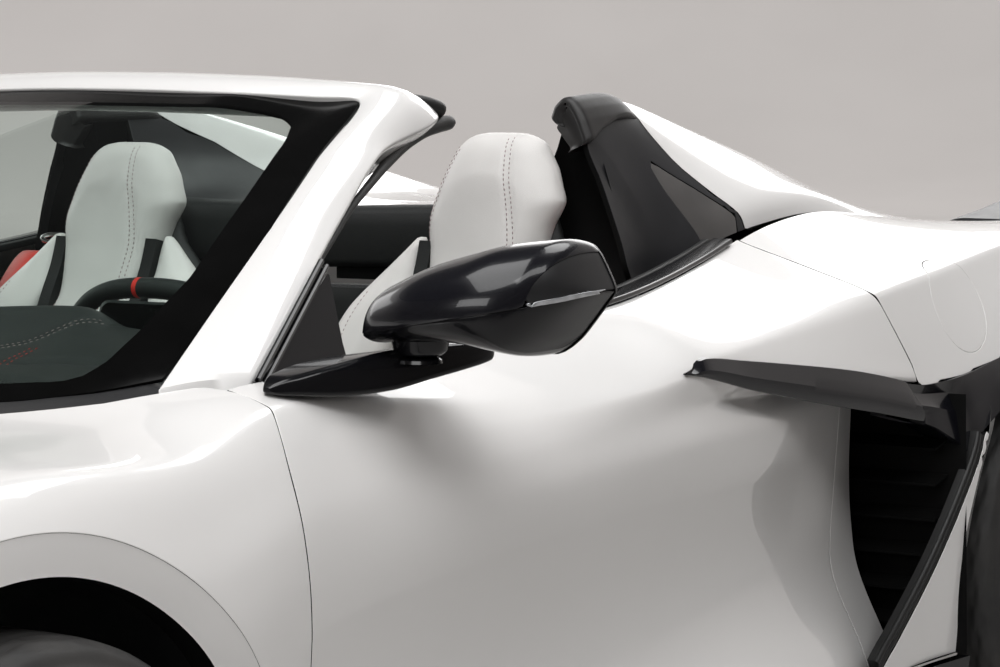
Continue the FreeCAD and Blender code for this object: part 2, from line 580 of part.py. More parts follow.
# cabin tub: floor, sills, bulkhead and front wall
floor = box("floor_plate", (-844, -880, 118), (1688, 1330, 16))
sill_l = box("sill_l", (726, -880, 134), (118, 1330, 156))
sill_r = box("sill_r", (-844, -880, 134), (118, 1330, 156))
wall = box("front_wall", (-725, -880, 134), (1450, 18, 640))
tunnel = box("tunnel", (-110, -862, 134), (220, 1300, 150))
back_wall = box("back_wall", (-660, 448, 118), (1320, 16, 760))
pads = [box("jack_pad%d" % i, (x, y, 104), (70, 70, 20)) for i, (x, y) in enumerate(((750, -835), (-820, -835), (750, 345), (-820, 345)))]
node("cabin_tub", fuse("cabin_tub", [floor, sill_l, sill_r, wall, tunnel, back_wall] + pads))
node("engine", box("engine", (-320, 560, 175), (dim("engine_wide"), dim("engine_long"), dim("engine_high"))))
tub_o = box("trunk_out", (-450, 1500, 420), (900, 460, 480))
tub_i = box("trunk_in", (-438, 1512, 432), (876, 436, 500))
rear_tub = cut("rear_trunk_tub", tub_o, tub_i)
doc.recompute()
feature("trunk_tubs", Part.makeCompound(TUBS + [rear_tub.Shape.Solids[0]]))

# ---------------------------------------------------------------- cabin
dash = loft([[(x, -856, 560), (x, -856, 800), (x, -700, top), (x, -520, top - 6), (x, -500, top - 60), (x, -560, 600), (x, -640, 560)]
             for x, top in [(-700, 818), (-150, 830), (150, 836), (220, 880), (530, 880), (600, 836), (700, 820)]])
console = loft([[(-112, y, 290), (-112, y, z), (-90, y, z + 14), (90, y, z + 14), (112, y, z), (112, y, 290)] for y, z in
                [(-490, 620), (-400, 560), (-250, 500), (150, 470), (430, 480)]])
feature("center_console", solids(console))


def seat(xc):
    def sec(pts):
        return [(xc + x, y, z) for x, y, z in pts]
    base = loft([sec([(-215, y, 210), (-235, y, zt + 30), (-165, y, zt), (165, y, zt), (235, y, zt + 30), (215, y, 210)]) for y, zt in
                 [(-330, 372), (-100, 352), (150, 330)]])
    rows = [  # y front, z, half width, bolster depth, thickness
        (110, 290, 215, 55, 120), (170, 480, 240, 70, 110), (262, 700, 235, 60, 95), (316, 850, 190, 25, 90),
        (342, 900, 120, 8, 84), (362, 980, 135, 8, 80), (385, 1080, 122, 6, 62), (398, 1134, 70, 4, 44)]
    back = loft([sec([(-w, y - b, z), (-w * 0.62, y, z), (w * 0.62, y, z), (w, y - b, z), (w * 0.9, y + t * 0.6, z + 4), (w * 0.5, y + t, z + 6), (-w * 0.5, y + t, z + 6), (-w * 0.9, y + t * 0.6, z + 4)])
                 for y, z, w, b, t in rows])
    rails = [block(xc - 190, xc - 160, -300, 140, 134, 212), block(xc + 160, xc + 190, -300, 140, 134, 212)]
    return solids(union([base, back] + rails))


feature("seats", Part.makeCompound([seat(376), seat(-376)]))

# steering column and wheel, both on one tilted axis
SW = (376, -375, 786)
tilt = num("steer_tilt")
ca, sa = math.cos(math.radians(tilt)), math.sin(math.radians(tilt))
axis_out = (0, ca, sa)                     # from the column towards the driver
rot = FreeCAD.Rotation(V(0, 0, 1), V(*axis_out))


def on_column(d):
    return (SW[0], SW[1] + d * ca, SW[2] + d * sa)


feature("dashboard", solids(dash.fuse(Part.makeCylinder(num("column_radius"), 160, V(*on_column(-230)), V(*axis_out)))))
rim_t = prim("Torus", "rim_ring", on_column(0), Radius1=dim("steer_radius"), Radius2=dim("rim_grip"))
rim_t.Placement = FreeCAD.Placement(V(*on_column(0)), rot)
hub = prim("Cylinder", "rim_hub", on_column(-64), Radius=62, Height=62)
hub.Placement = FreeCAD.Placement(V(*on_column(-64)), rot)
bars = []
for i, a in enumerate((0, 180, 270)):
    b = prim("Box", "rim_spoke%d" % i, (0, 0, 0), Length=dim("steer_radius") - 8, Width=34, Height=18)
    spin = FreeCAD.Rotation(V(0, 0, 1), a)
    b.Placement = FreeCAD.Placement(V(*on_column(-24)), rot).multiply(FreeCAD.Placement(V(0, 0, 0), spin)).multiply(FreeCAD.Placement(V(0, -17, 0), FreeCAD.Rotation()))
    bars.append(b)
node("steering_wheel", fuse("steering_wheel", [rim_t, hub] + bars))

# ---------------------------------------------------------------- wheels
def tyre_profile(r, rr, w):
    h2 = w / 2
    return [(0, rr), (0, rr + 26), (0, r - 46), (14, r - 14), (40, r), (w - 40, r), (w - 14, r - 14), (w, r - 46), (w, rr + 26), (w, rr),
            (w - 16, rr), (w - 16, rr + 14), (16, rr + 14), (16, rr)]


def rim_profile(rr, w):
    # barrel, outer face on the far side, hub bore 31
    return [(4, rr - 22), (4, rr - 1), (16, rr - 1), (16, rr + 13), (w - 16, rr + 13), (w - 16, rr - 1), (w - 4, rr - 1), (w - 4, rr - 24), (w - 34, rr - 30),
            (40, rr - 22)]


CORNERS = [  # name, side, axle y, wheel centre x, radius, rim radius, width, disc radius
    ("fl", 1, YF, "front_wheel_x", "front_wheel_radius", "front_rim_radius", "front_tyre_width", "disc_radius_front"),
    ("fr", -1, YF, "front_wheel_x", "front_wheel_radius", "front_rim_radius", "front_tyre_width", "disc_radius_front"),
    ("rl", 1, YR, "rear_wheel_x", "rear_wheel_radius", "rear_rim_radius", "rear_tyre_width", "disc_radius_rear"),
    ("rr", -1, YR, "rear_wheel_x", "rear_wheel_radius", "rear_rim_radius", "rear_tyre_width", "disc_radius_rear"),
]
for name, side, ya, xw, rad, rim, wid, disc in CORNERS:
    zc = num(rad)
    x_in = side * (num(xw) - num(wid) / 2)
    turn = FreeCAD.Rotation() if side > 0 else FreeCAD.Rotation(V(0, 0, 1), 180)
    node("tyre_" + name, revolved("tyre_" + name, tyre_profile(dim(rad), dim(rim), dim(wid)), (x_in, ya, zc), turn))
    barrel = revolved("barrel_" + name, rim_profile(dim(rim), dim(wid)), (x_in, ya, zc), turn)
    w = num(wid)
    ax = (side, 0, 0)
    face = x_in + side * (w - 62)
    parts = [barrel]
    hub_o = cyl("hub_" + name, (0, 0, 0), 74, 96)
    hub_o.Placement = FreeCAD.Placement(V(x_in + side * (w - 128), ya, zc), FreeCAD.Rotation(V(0, 0, 1), V(*ax)))
    parts.append(hub_o)
    for i in range(5):
        b = prim("Box", "spoke_%s%d" % (name, i), (0, 0, 0), Length=dim(rim) - 62, Width=58, Height=34)
        base = FreeCAD.Placement(V(x_in + side * (w - 70), ya, zc), FreeCAD.Rotation(V(0, 0, 1), V(*ax)))
        b.Placement = base.multiply(FreeCAD.Placement(V(0, 0, 0), FreeCAD.Rotation(V(0, 0, 1), 90 + 72 * i))).multiply(FreeCAD.Placement(V(40, -29, 0), FreeCAD.Rotation()))
        parts.append(b)
    disc_o = cyl("disc_" + name, (0, 0, 0), dim(disc), dim("disc_thick"))
    disc_o.Placement = FreeCAD.Placement(V(x_in + side * (w - 152), ya, zc), FreeCAD.Rotation(V(0, 0, 1), V(*ax)))
    parts.append(disc_o)
    body_o = fuse("wheel_solid_" + name, parts)
    bore = cyl("bore_" + name, (0, 0, 0), 31, 90)
    bore.Placement = FreeCAD.Placement(V(x_in + side * (w - 153), ya, zc), FreeCAD.Rotation(V(0, 0, 1), V(*ax)))
    node("wheel_" + name, cut("wheel_" + name, body_o, bore))

# knuckles on their kingpins, with spindle and brake caliper
KX = num("kingpin_x")
for name, side in (("fl", 1), ("fr", -1)):
    x_in = side * (num("front_wheel_x") - num("front_tyre_width") / 2)
    post = cyl("kingpin_" + name, (side * KX, YF, 172), 22, 328)
    lug = box("lug_" + name, (side * KX - 30, YF - 34, 236), (60, 68, 200))
    spin = cyl("spindle_" + name, (0, 0, 0), 30, 74)
    spin.Placement = FreeCAD.Placement(V(side * (KX + 10), YF, ZF), FreeCAD.Rotation(V(0, 0, 1), V(side, 0, 0)))
    x_disc = x_in + side * (num("front_tyre_width") - 152)
    steer = box("steer_arm_" + name, (side * KX - 12, YF + 30, 300), (24, 110, 24))
    cal = []
    xa = x_disc - side * 30
    c0 = box("cal_body_" + name, (min(xa, xa + side * 94), YF - 214, ZF - 70), (94, 92, 140))
    c1 = box("cal_slot_" + name, (min(x_disc - side * 6, x_disc + side * 40), YF - 206, ZF - 90), (46, 100, 180))
    c2 = cut("caliper_" + name, c0, c1)
    link = box("cal_link_" + name, (min(side * (KX - 26), side * (KX - 4)), YF - 214, ZF - 40), (22, 190, 80))
    node("knuckle_" + name, fuse("knuckle_" + name, [post, lug, spin, steer, c2, link]))

# front subframe: cross member, towers, arms and rings round the kingpins
subf = [box("front_cross", (-500, YF - 60, 150), (1000, 120, 60))]
for side in (1, -1):
    subf.append(box("front_tower%d" % side, (min(side * 446, side * 492), YF - 40, 205), (46, 80, 300)))
    for z0 in (173, 474):
        ring_o = cyl("ring%d_%d" % (side, z0), (side * KX, YF, z0), 40, 22)
        arm_b = box("arm%d_%d" % (side, z0), (min(side * 470, side * (KX - 20)), YF - 16, z0), (KX - 490, 32, 22))
        ring_i = cyl("ringb%d_%d" % (side, z0), (side * KX, YF, z0 - 1), 23.5, 24)
        subf.append(cut("link%d_%d" % (side, z0), fuse("linkf%d_%d" % (side, z0), [ring_o, arm_b]), ring_i))
node("front_subframe", fuse("front_subframe", subf))

# rear subframe: cross members, arms, uprights with their spindles
subr = [box("rear_cross", (-560, YR - 60, 150), (1120, 120, 60))]
for side in (1, -1):
    xi = side * (num("rear_wheel_x") - num("rear_tyre_width") / 2)
    spin = cyl("rear_spindle%d" % side, (0, 0, 0), 30, 130)
    xs = side * (num("rear_wheel_x") + num("rear_tyre_width") / 2 - 128 - 100)
    spin.Placement = FreeCAD.Placement(V(xs, YR, ZR), FreeCAD.Rotation(V(0, 0, 1), V(side, 0, 0)))
    up = box("upright%d" % side, (min(side * 690, side * 780), YR - 50, 230), (90, 100, 240))
    lo = box("rear_arm_lo%d" % side, (min(side * 540, side * 700), YR - 20, 190), (160, 40, 46))
    tower = box("rear_tower%d" % side, (min(side * 520, side * 560), YR - 40, 200), (40, 80, 260))
    hi = box("rear_arm_hi%d" % side, (min(side * 540, side * 700), YR - 20, 430), (160, 40, 30))
    subr += [spin, up, lo, tower, hi]
node("rear_subframe", fuse("rear_subframe", subr))

# ---------------------------------------------------------------- write the parts
doc.recompute()
bad = [o.Name for o in doc.Objects if "Invalid" in o.State or "Error" in o.State]
for name, obj in OUT.items():
    sh = obj.Shape
    if sh.isNull() or not sh.isValid() or not sh.Solids:
        bad.append(name)
if bad:
    raise RuntimeError("failed: %s" % ", ".join(bad))
os.makedirs("parts", exist_ok=True)
for name, obj in OUT.items():
    obj.Shape.exportStep("parts/%s.step" % name)
print("nodes", len(OUT))
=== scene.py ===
import math

import bmesh
import bpy
import numpy as np
from mathutils import Matrix, Vector


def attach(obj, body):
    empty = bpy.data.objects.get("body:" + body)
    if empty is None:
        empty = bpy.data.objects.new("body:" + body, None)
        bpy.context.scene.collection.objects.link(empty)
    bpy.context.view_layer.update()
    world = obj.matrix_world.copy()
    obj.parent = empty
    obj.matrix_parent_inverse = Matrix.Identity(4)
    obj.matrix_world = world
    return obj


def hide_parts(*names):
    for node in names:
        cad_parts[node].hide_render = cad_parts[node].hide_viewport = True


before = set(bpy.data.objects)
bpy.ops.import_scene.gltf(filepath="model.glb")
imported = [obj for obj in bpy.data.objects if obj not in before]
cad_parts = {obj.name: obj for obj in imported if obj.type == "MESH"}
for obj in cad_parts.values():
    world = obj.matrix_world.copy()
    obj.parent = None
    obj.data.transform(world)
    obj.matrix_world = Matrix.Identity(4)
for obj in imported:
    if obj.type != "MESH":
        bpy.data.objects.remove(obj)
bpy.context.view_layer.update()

D = bpy.data
rng = np.random.default_rng(7)

# =====================================================================================
# camera, lights, floor
# =====================================================================================
CAM = dict(pos=(2.7545, -3.4158, 1.2266), yaw=-0.5503, pitch=-0.0922, focal=2.7897, roll=-0.0079)


def make_camera():
    yaw, pit, rol = CAM["yaw"], CAM["pitch"], CAM["roll"]
    d = Vector((math.sin(yaw) * math.cos(pit), math.cos(yaw) * math.cos(pit), math.sin(pit)))
    r = d.cross(Vector((0, 0, 1))).normalized()
    u = r.cross(d)
    r2 = r * math.cos(rol) + u * math.sin(rol)
    u2 = -r * math.sin(rol) + u * math.cos(rol)
    m = Matrix(((r2.x, u2.x, -d.x, CAM["pos"][0]), (r2.y, u2.y, -d.y, CAM["pos"][1]), (r2.z, u2.z, -d.z, CAM["pos"][2]), (0, 0, 0, 1)))
    cam = D.cameras.new("camera")
    cam.sensor_width = 36.0
    cam.lens = 36.0 * CAM["focal"]
    cam.clip_start, cam.clip_end = 0.05, 100
    ob = D.objects.new("camera", cam)
    bpy.context.collection.objects.link(ob)
    ob.matrix_world = m
    bpy.context.scene.camera = ob
    return ob


def area_light(name, loc, target, size, power, color=(1, 1, 1), shape="RECTANGLE"):
    li = D.lights.new(name, "AREA")
    li.shape = shape
    li.size, li.size_y = size
    li.energy = power
    li.color = color
    ob = D.objects.new(name, li)
    bpy.context.collection.objects.link(ob)
    ob.location = loc
    dirv = Vector(target) - Vector(loc)
    ob.rotation_euler = dirv.to_track_quat("-Z", "Y").to_euler()
    return ob


# =====================================================================================
# small maths
# =====================================================================================
def smoothstep(a, b, x):
    t = np.clip((np.asarray(x, float) - a) / (b - a), 0, 1)
    return t * t * (3 - 2 * t)


def makima(t, f, q):
    """Smooth interpolation of rows f at knots t, read at q, straight beyond the ends."""
    t = np.asarray(t, float)
    f = np.asarray(f, float)
    q = np.asarray(q, float)
    flat = f.reshape(len(t), -1)
    n = len(t)
    h = np.diff(t)[:, None]
    d = np.diff(flat, axis=0) / h
    if n == 2:
        out = flat[0] + d[0] * (q[:, None] - t[0])
        return out.reshape((len(q),) + f.shape[1:])
    d0 = 2 * d[0] - d[1]
    dm = 2 * d0 - d[0]
    dn = 2 * d[-1] - d[-2]
    dp = 2 * dn - d[-1]
    E = np.vstack([dm, d0, d, dn, dp])
    w1 = abs(E[3:] - E[2:-1]) + abs(E[3:] + E[2:-1]) / 2
    w2 = abs(E[1:-2] - E[:-3]) + abs(E[1:-2] + E[:-3]) / 2
    s = w1 + w2
    m = np.where(s < 1e-12, (E[1:-2] + E[2:-1]) / 2, (w1 * E[1:-2] + w2 * E[2:-1]) / np.maximum(s, 1e-12))
    i = np.clip(np.searchsorted(t, q, side="right") - 1, 0, n - 2)
    hh = (t[i + 1] - t[i])
    u = (q - t[i]) / hh
    lo, hi = u < 0, u > 1
    uc = np.clip(u, 0, 1)[:, None]
    hh = hh[:, None]
    a = (1 + 2 * uc) * (1 - uc) ** 2
    b = uc * (1 - uc) ** 2
    c = uc ** 2 * (3 - 2 * uc)
    e = uc ** 2 * (uc - 1)
    out = a * flat[i] + b * hh * m[i] + c * flat[i + 1] + e * hh * m[i + 1]
    out[lo] = (flat[0] + m[0] * (q[lo, None] - t[0]))
    out[hi] = (flat[-1] + m[-1] * (q[hi, None] - t[-1]))
    return out.reshape((len(q),) + f.shape[1:])


def gauss(a, sigma, axis=0, mode="line"):
    """Gaussian smoothing along an axis. The ends go on straight, or round if the axis is closed."""
    if sigma <= 0:
        return a
    r = int(math.ceil(3 * sigma))
    k = np.exp(-0.5 * (np.arange(-r, r + 1) / sigma) ** 2)
    k /= k.sum()
    a = np.moveaxis(np.asarray(a, float), axis, 0)
    n = len(a)
    idx = np.arange(-r, n + r)
    if mode == "round":
        ext = a[idx % n]
    else:
        ext = a[np.clip(idx, 0, n - 1)].copy()
        left = 2 * a[0] - a[np.clip(np.arange(r, 0, -1), 0, n - 1)]
        right = 2 * a[-1] - a[np.clip(n - 1 - np.arange(1, r + 1), 0, n - 1)]
        ext[:r] = left
        ext[n + r:] = right
    out = np.zeros_like(a)
    for j, w in enumerate(k):
        out += w * ext[j:j + n]
    return np.moveaxis(out, 0, axis)


def unit(v):
    return v / np.maximum(np.linalg.norm(v, axis=-1, keepdims=True), 1e-12)


def grid_normals(P, flip=False, closed_u=False):
    if closed_u:
        du = np.roll(P, -1, 1) - np.roll(P, 1, 1)
    else:
        du = np.gradient(P, axis=1)
    dv = np.gradient(P, axis=0)
    n = unit(np.cross(du, dv))
    return -n if flip else n


def round_poly(points, radius, seg=5):
    """A closed polygon with its corners rounded (radius: one number or one each)."""
    pts = [np.array(p, float) for p in points]
    k = len(pts)
    rad = [radius] * k if np.isscalar(radius) else list(radius)
    out = []
    for i in range(k):
        a, b, c = pts[i - 1], pts[i], pts[(i + 1) % k]
        u, v = a - b, c - b
        lu, lv = np.linalg.norm(u), np.linalg.norm(v)
        u, v = u / lu, v / lv
        cosang = float(np.clip(u @ v, -1, 1))
        ang = math.acos(cosang)
        if rad[i] <= 0 or ang > math.pi - 0.02:
            out.append(b)
            continue
        cut = min(rad[i] / math.tan(ang / 2), 0.45 * lu, 0.45 * lv)
        p0, p1 = b + u * cut, b + v * cut
        for j in range(seg + 1):
            s = j / seg
            out.append((1 - s) ** 2 * p0 + 2 * s * (1 - s) * b + s * s * p1)
    return np.array(out)


def smooth_line(points, step, closed=False):
    """Points of a smooth curve through the given points."""
    p = np.array(points, float)
    if closed:
        p = np.vstack([p, p[:1]])
    s = np.concatenate([[0], np.cumsum(np.linalg.norm(np.diff(p, axis=0), axis=1))])
    n = max(2, int(s[-1] / step))
    q = np.linspace(0, s[-1], n + 1)
    if closed:
        per = s[-1]
        tt = np.concatenate([s[:-1] - per, s, s[1:] + per])
        ff = np.vstack([p[:-1], p, p[1:]])
        return makima(tt, ff, q[:-1])
    return makima(s, p, q)


def sdist(poly, X, Y):
    """Signed distance to a closed polygon, positive inside."""
    poly = np.asarray(poly, float)
    a = poly
    b = np.roll(poly, -1, 0)
    shape = np.shape(X)
    q = np.stack([np.ravel(X), np.ravel(Y)], 1)
    out = np.empty(len(q))
    ab = b - a
    l2 = np.maximum((ab ** 2).sum(1), 1e-18)
    for s in range(0, len(q), 20000):
        p = q[s:s + 20000, None, :]
        t = np.clip(((p - a) * ab).sum(2) / l2, 0, 1)
        d2 = ((a + t[..., None] * ab - p) ** 2).sum(2).min(1)
        px, py = p[..., 0], p[..., 1]
        cond = (a[:, 1] > py) != (b[:, 1] > py)
        dy = np.where(abs(b[:, 1] - a[:, 1]) < 1e-15, 1e-15, b[:, 1] - a[:, 1])
        xin = a[:, 0] + (py - a[:, 1]) * (b[:, 0] - a[:, 0]) / dy
        inside = (cond & (px < xin)).sum(1) % 2 == 1
        out[s:s + 20000] = np.where(inside, 1, -1) * np.sqrt(d2)
    return out.reshape(shape)


def half_plane(p, q, X, Y):
    """Positive on the left of the line from p to q."""
    d = np.array(q, float) - np.array(p, float)
    d /= np.linalg.norm(d)
    return (Y - p[1]) * d[0] - (X - p[0]) * d[1]


# =====================================================================================
# mesh building
# =====================================================================================
class Bits:
    """Vertices, normals and faces gathered for one piece."""

    def __init__(self):
        self.v, self.n, self.f, self.m, self.s = [], [], [], [], []
        self.count = 0

    def add(self, v, f, n=None, mat=0, smooth=True):
        v = np.asarray(v, float).reshape(-1, 3)
        if n is None:
            n = np.zeros_like(v)
        self.v.append(v)
        self.n.append(np.asarray(n, float).reshape(-1, 3))
        for face in f:
            self.f.append([int(i) + self.count for i in face])
        mats = mat if isinstance(mat, (list, np.ndarray)) else [mat] * len(f)
        self.m.extend(int(x) for x in mats)
        self.s.extend([smooth] * len(f))
        self.count += len(v)
        return self

    def mirrored(self):
        o = Bits()
        o.v = [x * np.array([-1, 1, 1]) for x in self.v]
        o.n = [x * np.array([-1, 1, 1]) for x in self.n]
        o.f = [list(reversed(x)) for x in self.f]
        o.m, o.s, o.count = list(self.m), list(self.s), self.count
        return o

    def join(self, other):
        for v, n in zip(other.v, other.n):
            self.v.append(v)
            self.n.append(n)
        self.f.extend([[i + self.count for i in face] for face in other.f])
        self.m.extend(other.m)
        self.s.extend(other.s)
        self.count += other.count
        return self

    def make(self, name, mats, body, replaces=(), slot=None, custom=True):
        me = D.meshes.new(name)
        V = np.vstack(self.v) if self.v else np.zeros((0, 3))
        NN = np.vstack(self.n)
        for k, face in enumerate(self.f):
            # a face looks the way its vertices' normals do
            m = NN[face].sum(axis=0)
            if abs(m).sum() < 0.2:
                continue
            g = np.cross(V[face[1]] - V[face[0]], V[face[2]] - V[face[0]])
            if len(face) > 3:
                g = g + np.cross(V[face[2]] - V[face[0]], V[face[3]] - V[face[0]])
            if g @ m < 0:
                self.f[k] = face[::-1]
        me.from_pydata(V.tolist(), [], self.f)
        # faces marked 99 (hem flanges in the shut gaps, inward lips of the arches) take the near-black duct material;
        # in the gaps it is painted shade
        if 99 in self.m:
            self.m = [len(mats) if k == 99 else k for k in self.m]
            mats = list(mats) + [M["duct"]]
        for mt in mats:
            me.materials.append(mt)
        me.polygons.foreach_set("material_index", self.m)
        me.polygons.foreach_set("use_smooth", self.s)
        me.update()
        N = np.vstack(self.n)
        if custom and np.abs(N).sum() > 0:
            vn = np.zeros(len(V) * 3)
            me.vertices.foreach_get("normal", vn)
            vn = vn.reshape(-1, 3)
            use = np.linalg.norm(N, axis=1) > 0.5
            vn[use] = N[use]
            me.normals_split_custom_set_from_vertices(vn.tolist())
        ob = D.objects.new(name, me)
        bpy.context.collection.objects.link(ob)
        finish_piece(ob, body, replaces)
        return ob


def finish_piece(ob, body, replaces=()):
    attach(ob, body)
    if replaces:
        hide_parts(*([replaces] if isinstance(replaces, str) else replaces))
    return ob


def grid_faces(ny, nx, closed_u=False, closed_v=False, flip=False):
    cols = nx if closed_u else nx - 1
    rows = ny if closed_v else ny - 1
    j, i = np.meshgrid(np.arange(rows), np.arange(cols), indexing="ij")
    j2, i2 = (j + 1) % ny, (i + 1) % nx
    f = np.stack([j * nx + i, j * nx + i2, j2 * nx + i2, j2 * nx + i], -1).reshape(-1, 4)
    return f[:, ::-1] if flip else f


def clip_grid(P, N, sd, flip=False):
    """The part of a grid surface where sd is positive. Returns vertices, normals, faces, outward side last."""
    ny, nx = sd.shape
    V = P.reshape(-1, 3)
    NN = N.reshape(-1, 3)
    s = sd.reshape(-1)
    # a grid point almost on the line is moved off it, so that no sliver is left
    s = np.where(abs(s) < 1e-5, 1e-5, s)
    quads = grid_faces(ny, nx)
    pos = s[quads] > 0
    full = pos.all(1)
    mixed = pos.any(1) & ~full
    faces = [list(q) for q in quads[full]]
    extra_v, extra_n, cut = [], [], {}
    base = len(V)

    def edge(a, b):
        key = (a, b) if a < b else (b, a)
        if key not in cut:
            i, j = key
            t = s[i] / (s[i] - s[j])
            cut[key] = base + len(extra_v)
            extra_v.append(V[i] + (V[j] - V[i]) * t)
            extra_n.append(NN[i] + (NN[j] - NN[i]) * t)
        return cut[key]

    for q in quads[mixed]:
        poly = []
        for k in range(4):
            a, b = int(q[k]), int(q[(k + 1) % 4])
            if s[a] > 0:
                poly.append(a)
            if (s[a] > 0) != (s[b] > 0):
                poly.append(edge(a, b))
        if len(poly) >= 3:
            faces.append(poly)
    if extra_v:
        V = np.vstack([V, np.array(extra_v)])
        NN = np.vstack([NN, np.array(extra_n)])
    if flip:
        faces = [f[::-1] for f in faces]
    used = np.zeros(len(V), bool)
    for f in faces:
        used[f] = True
    new = np.cumsum(used) - 1
    faces = [[int(new[i]) for i in f] for f in faces]
    return V[used], unit(NN[used]), faces


def boundary_loops(faces):
    he = {}
    for f in faces:
        k = len(f)
        for i in range(k):
            he[(f[i], f[(i + 1) % k])] = True
    nxt = {}
    for (a, b) in he:
        if (b, a) not in he:
            nxt.setdefault(a, []).append(b)
    loops = []
    while nxt:
        a = next(iter(nxt))
        loop = [a]
        while True:
            bs = nxt.get(loop[-1])
            if not bs:
                break
            b = bs.pop()
            if not bs:
                del nxt[loop[-1]]
            if b == loop[0]:
                break
            loop.append(b)
        if len(loop) > 2:
            loops.append(loop)
    return loops


def hem(V, N, faces, r=0.0013, depth=0.014, mat=0):
    """Adds a rounded edge and a flange that goes inward along every open edge."""
    loops = boundary_loops(faces)
    hem.walls = []
    V = list(V)
    N = list(N)
    faces = list(faces)
    for loop in loops:
        idx = np.array(loop)
        p = np.array([V[i] for i in idx])
        n = np.array([N[i] for i in idx])
        e = unit(np.roll(p, -1, 0) - p) + unit(p - np.roll(p, 1, 0))
        e = unit(gauss(e, 1.0, 0, "round")) if len(p) > 12 else unit(e)
        t = unit(np.cross(e, n))
        rows = [idx]
        for a in (30, 60, 90):
            a = math.radians(a)
            q = p + t * r * math.sin(a) - n * r * (1 - math.cos(a))
            m = n * math.cos(a) + t * math.sin(a)
            start = len(V)
            V.extend(q)
            N.extend(m)
            rows.append(np.arange(start, start + len(idx)))
        q = p + t * r - n * (r + depth)
        start = len(V)
        V.extend(q)
        N.extend(t)
        rows.append(np.arange(start, start + len(idx)))
        for n_row, (ra, rb) in enumerate(zip(rows, rows[1:])):
            k = len(idx)
            for i in range(k):
                j = (i + 1) % k
                # the last rounding row and the flange are marked for the painted shade of the gap
                if n_row >= len(rows) - 3:
                    hem.walls.append(len(faces))
                faces.append([int(ra[j]), int(ra[i]), int(rb[i]), int(rb[j])])
    return np.array(V), np.array(N), faces


def gap_shade_mats(F, mat):
    """Material of each face after hem(): the gap's walls are painted near-black as the shade in the gap (99 stands for
    that).
    """
    m = np.full(len(F), mat)
    m[hem.walls] = 99
    return m


def panel(bits, P, N, sd, flip=False, r=0.0013, depth=0.014, back=0.012, stride=5, mat=0, back_mat=None):
    """A clipped skin with hemmed edges and a plain inner face."""
    V, NN, F = clip_grid(P, N, sd, flip)
    if not F:
        return bits
    V, NN, F = hem(V, NN, F, r, depth)
    bits.add(V, F, NN, gap_shade_mats(F, mat))
    if back:
        ps, ns, ss = P[::stride, ::stride], N[::stride, ::stride], sd[::stride, ::stride]
        V, NN, F = clip_grid(ps - ns * back, -ns, ss + 0.0005, not flip)
        if F:
            bits.add(V, F, NN, mat if back_mat is None else back_mat)
    return bits


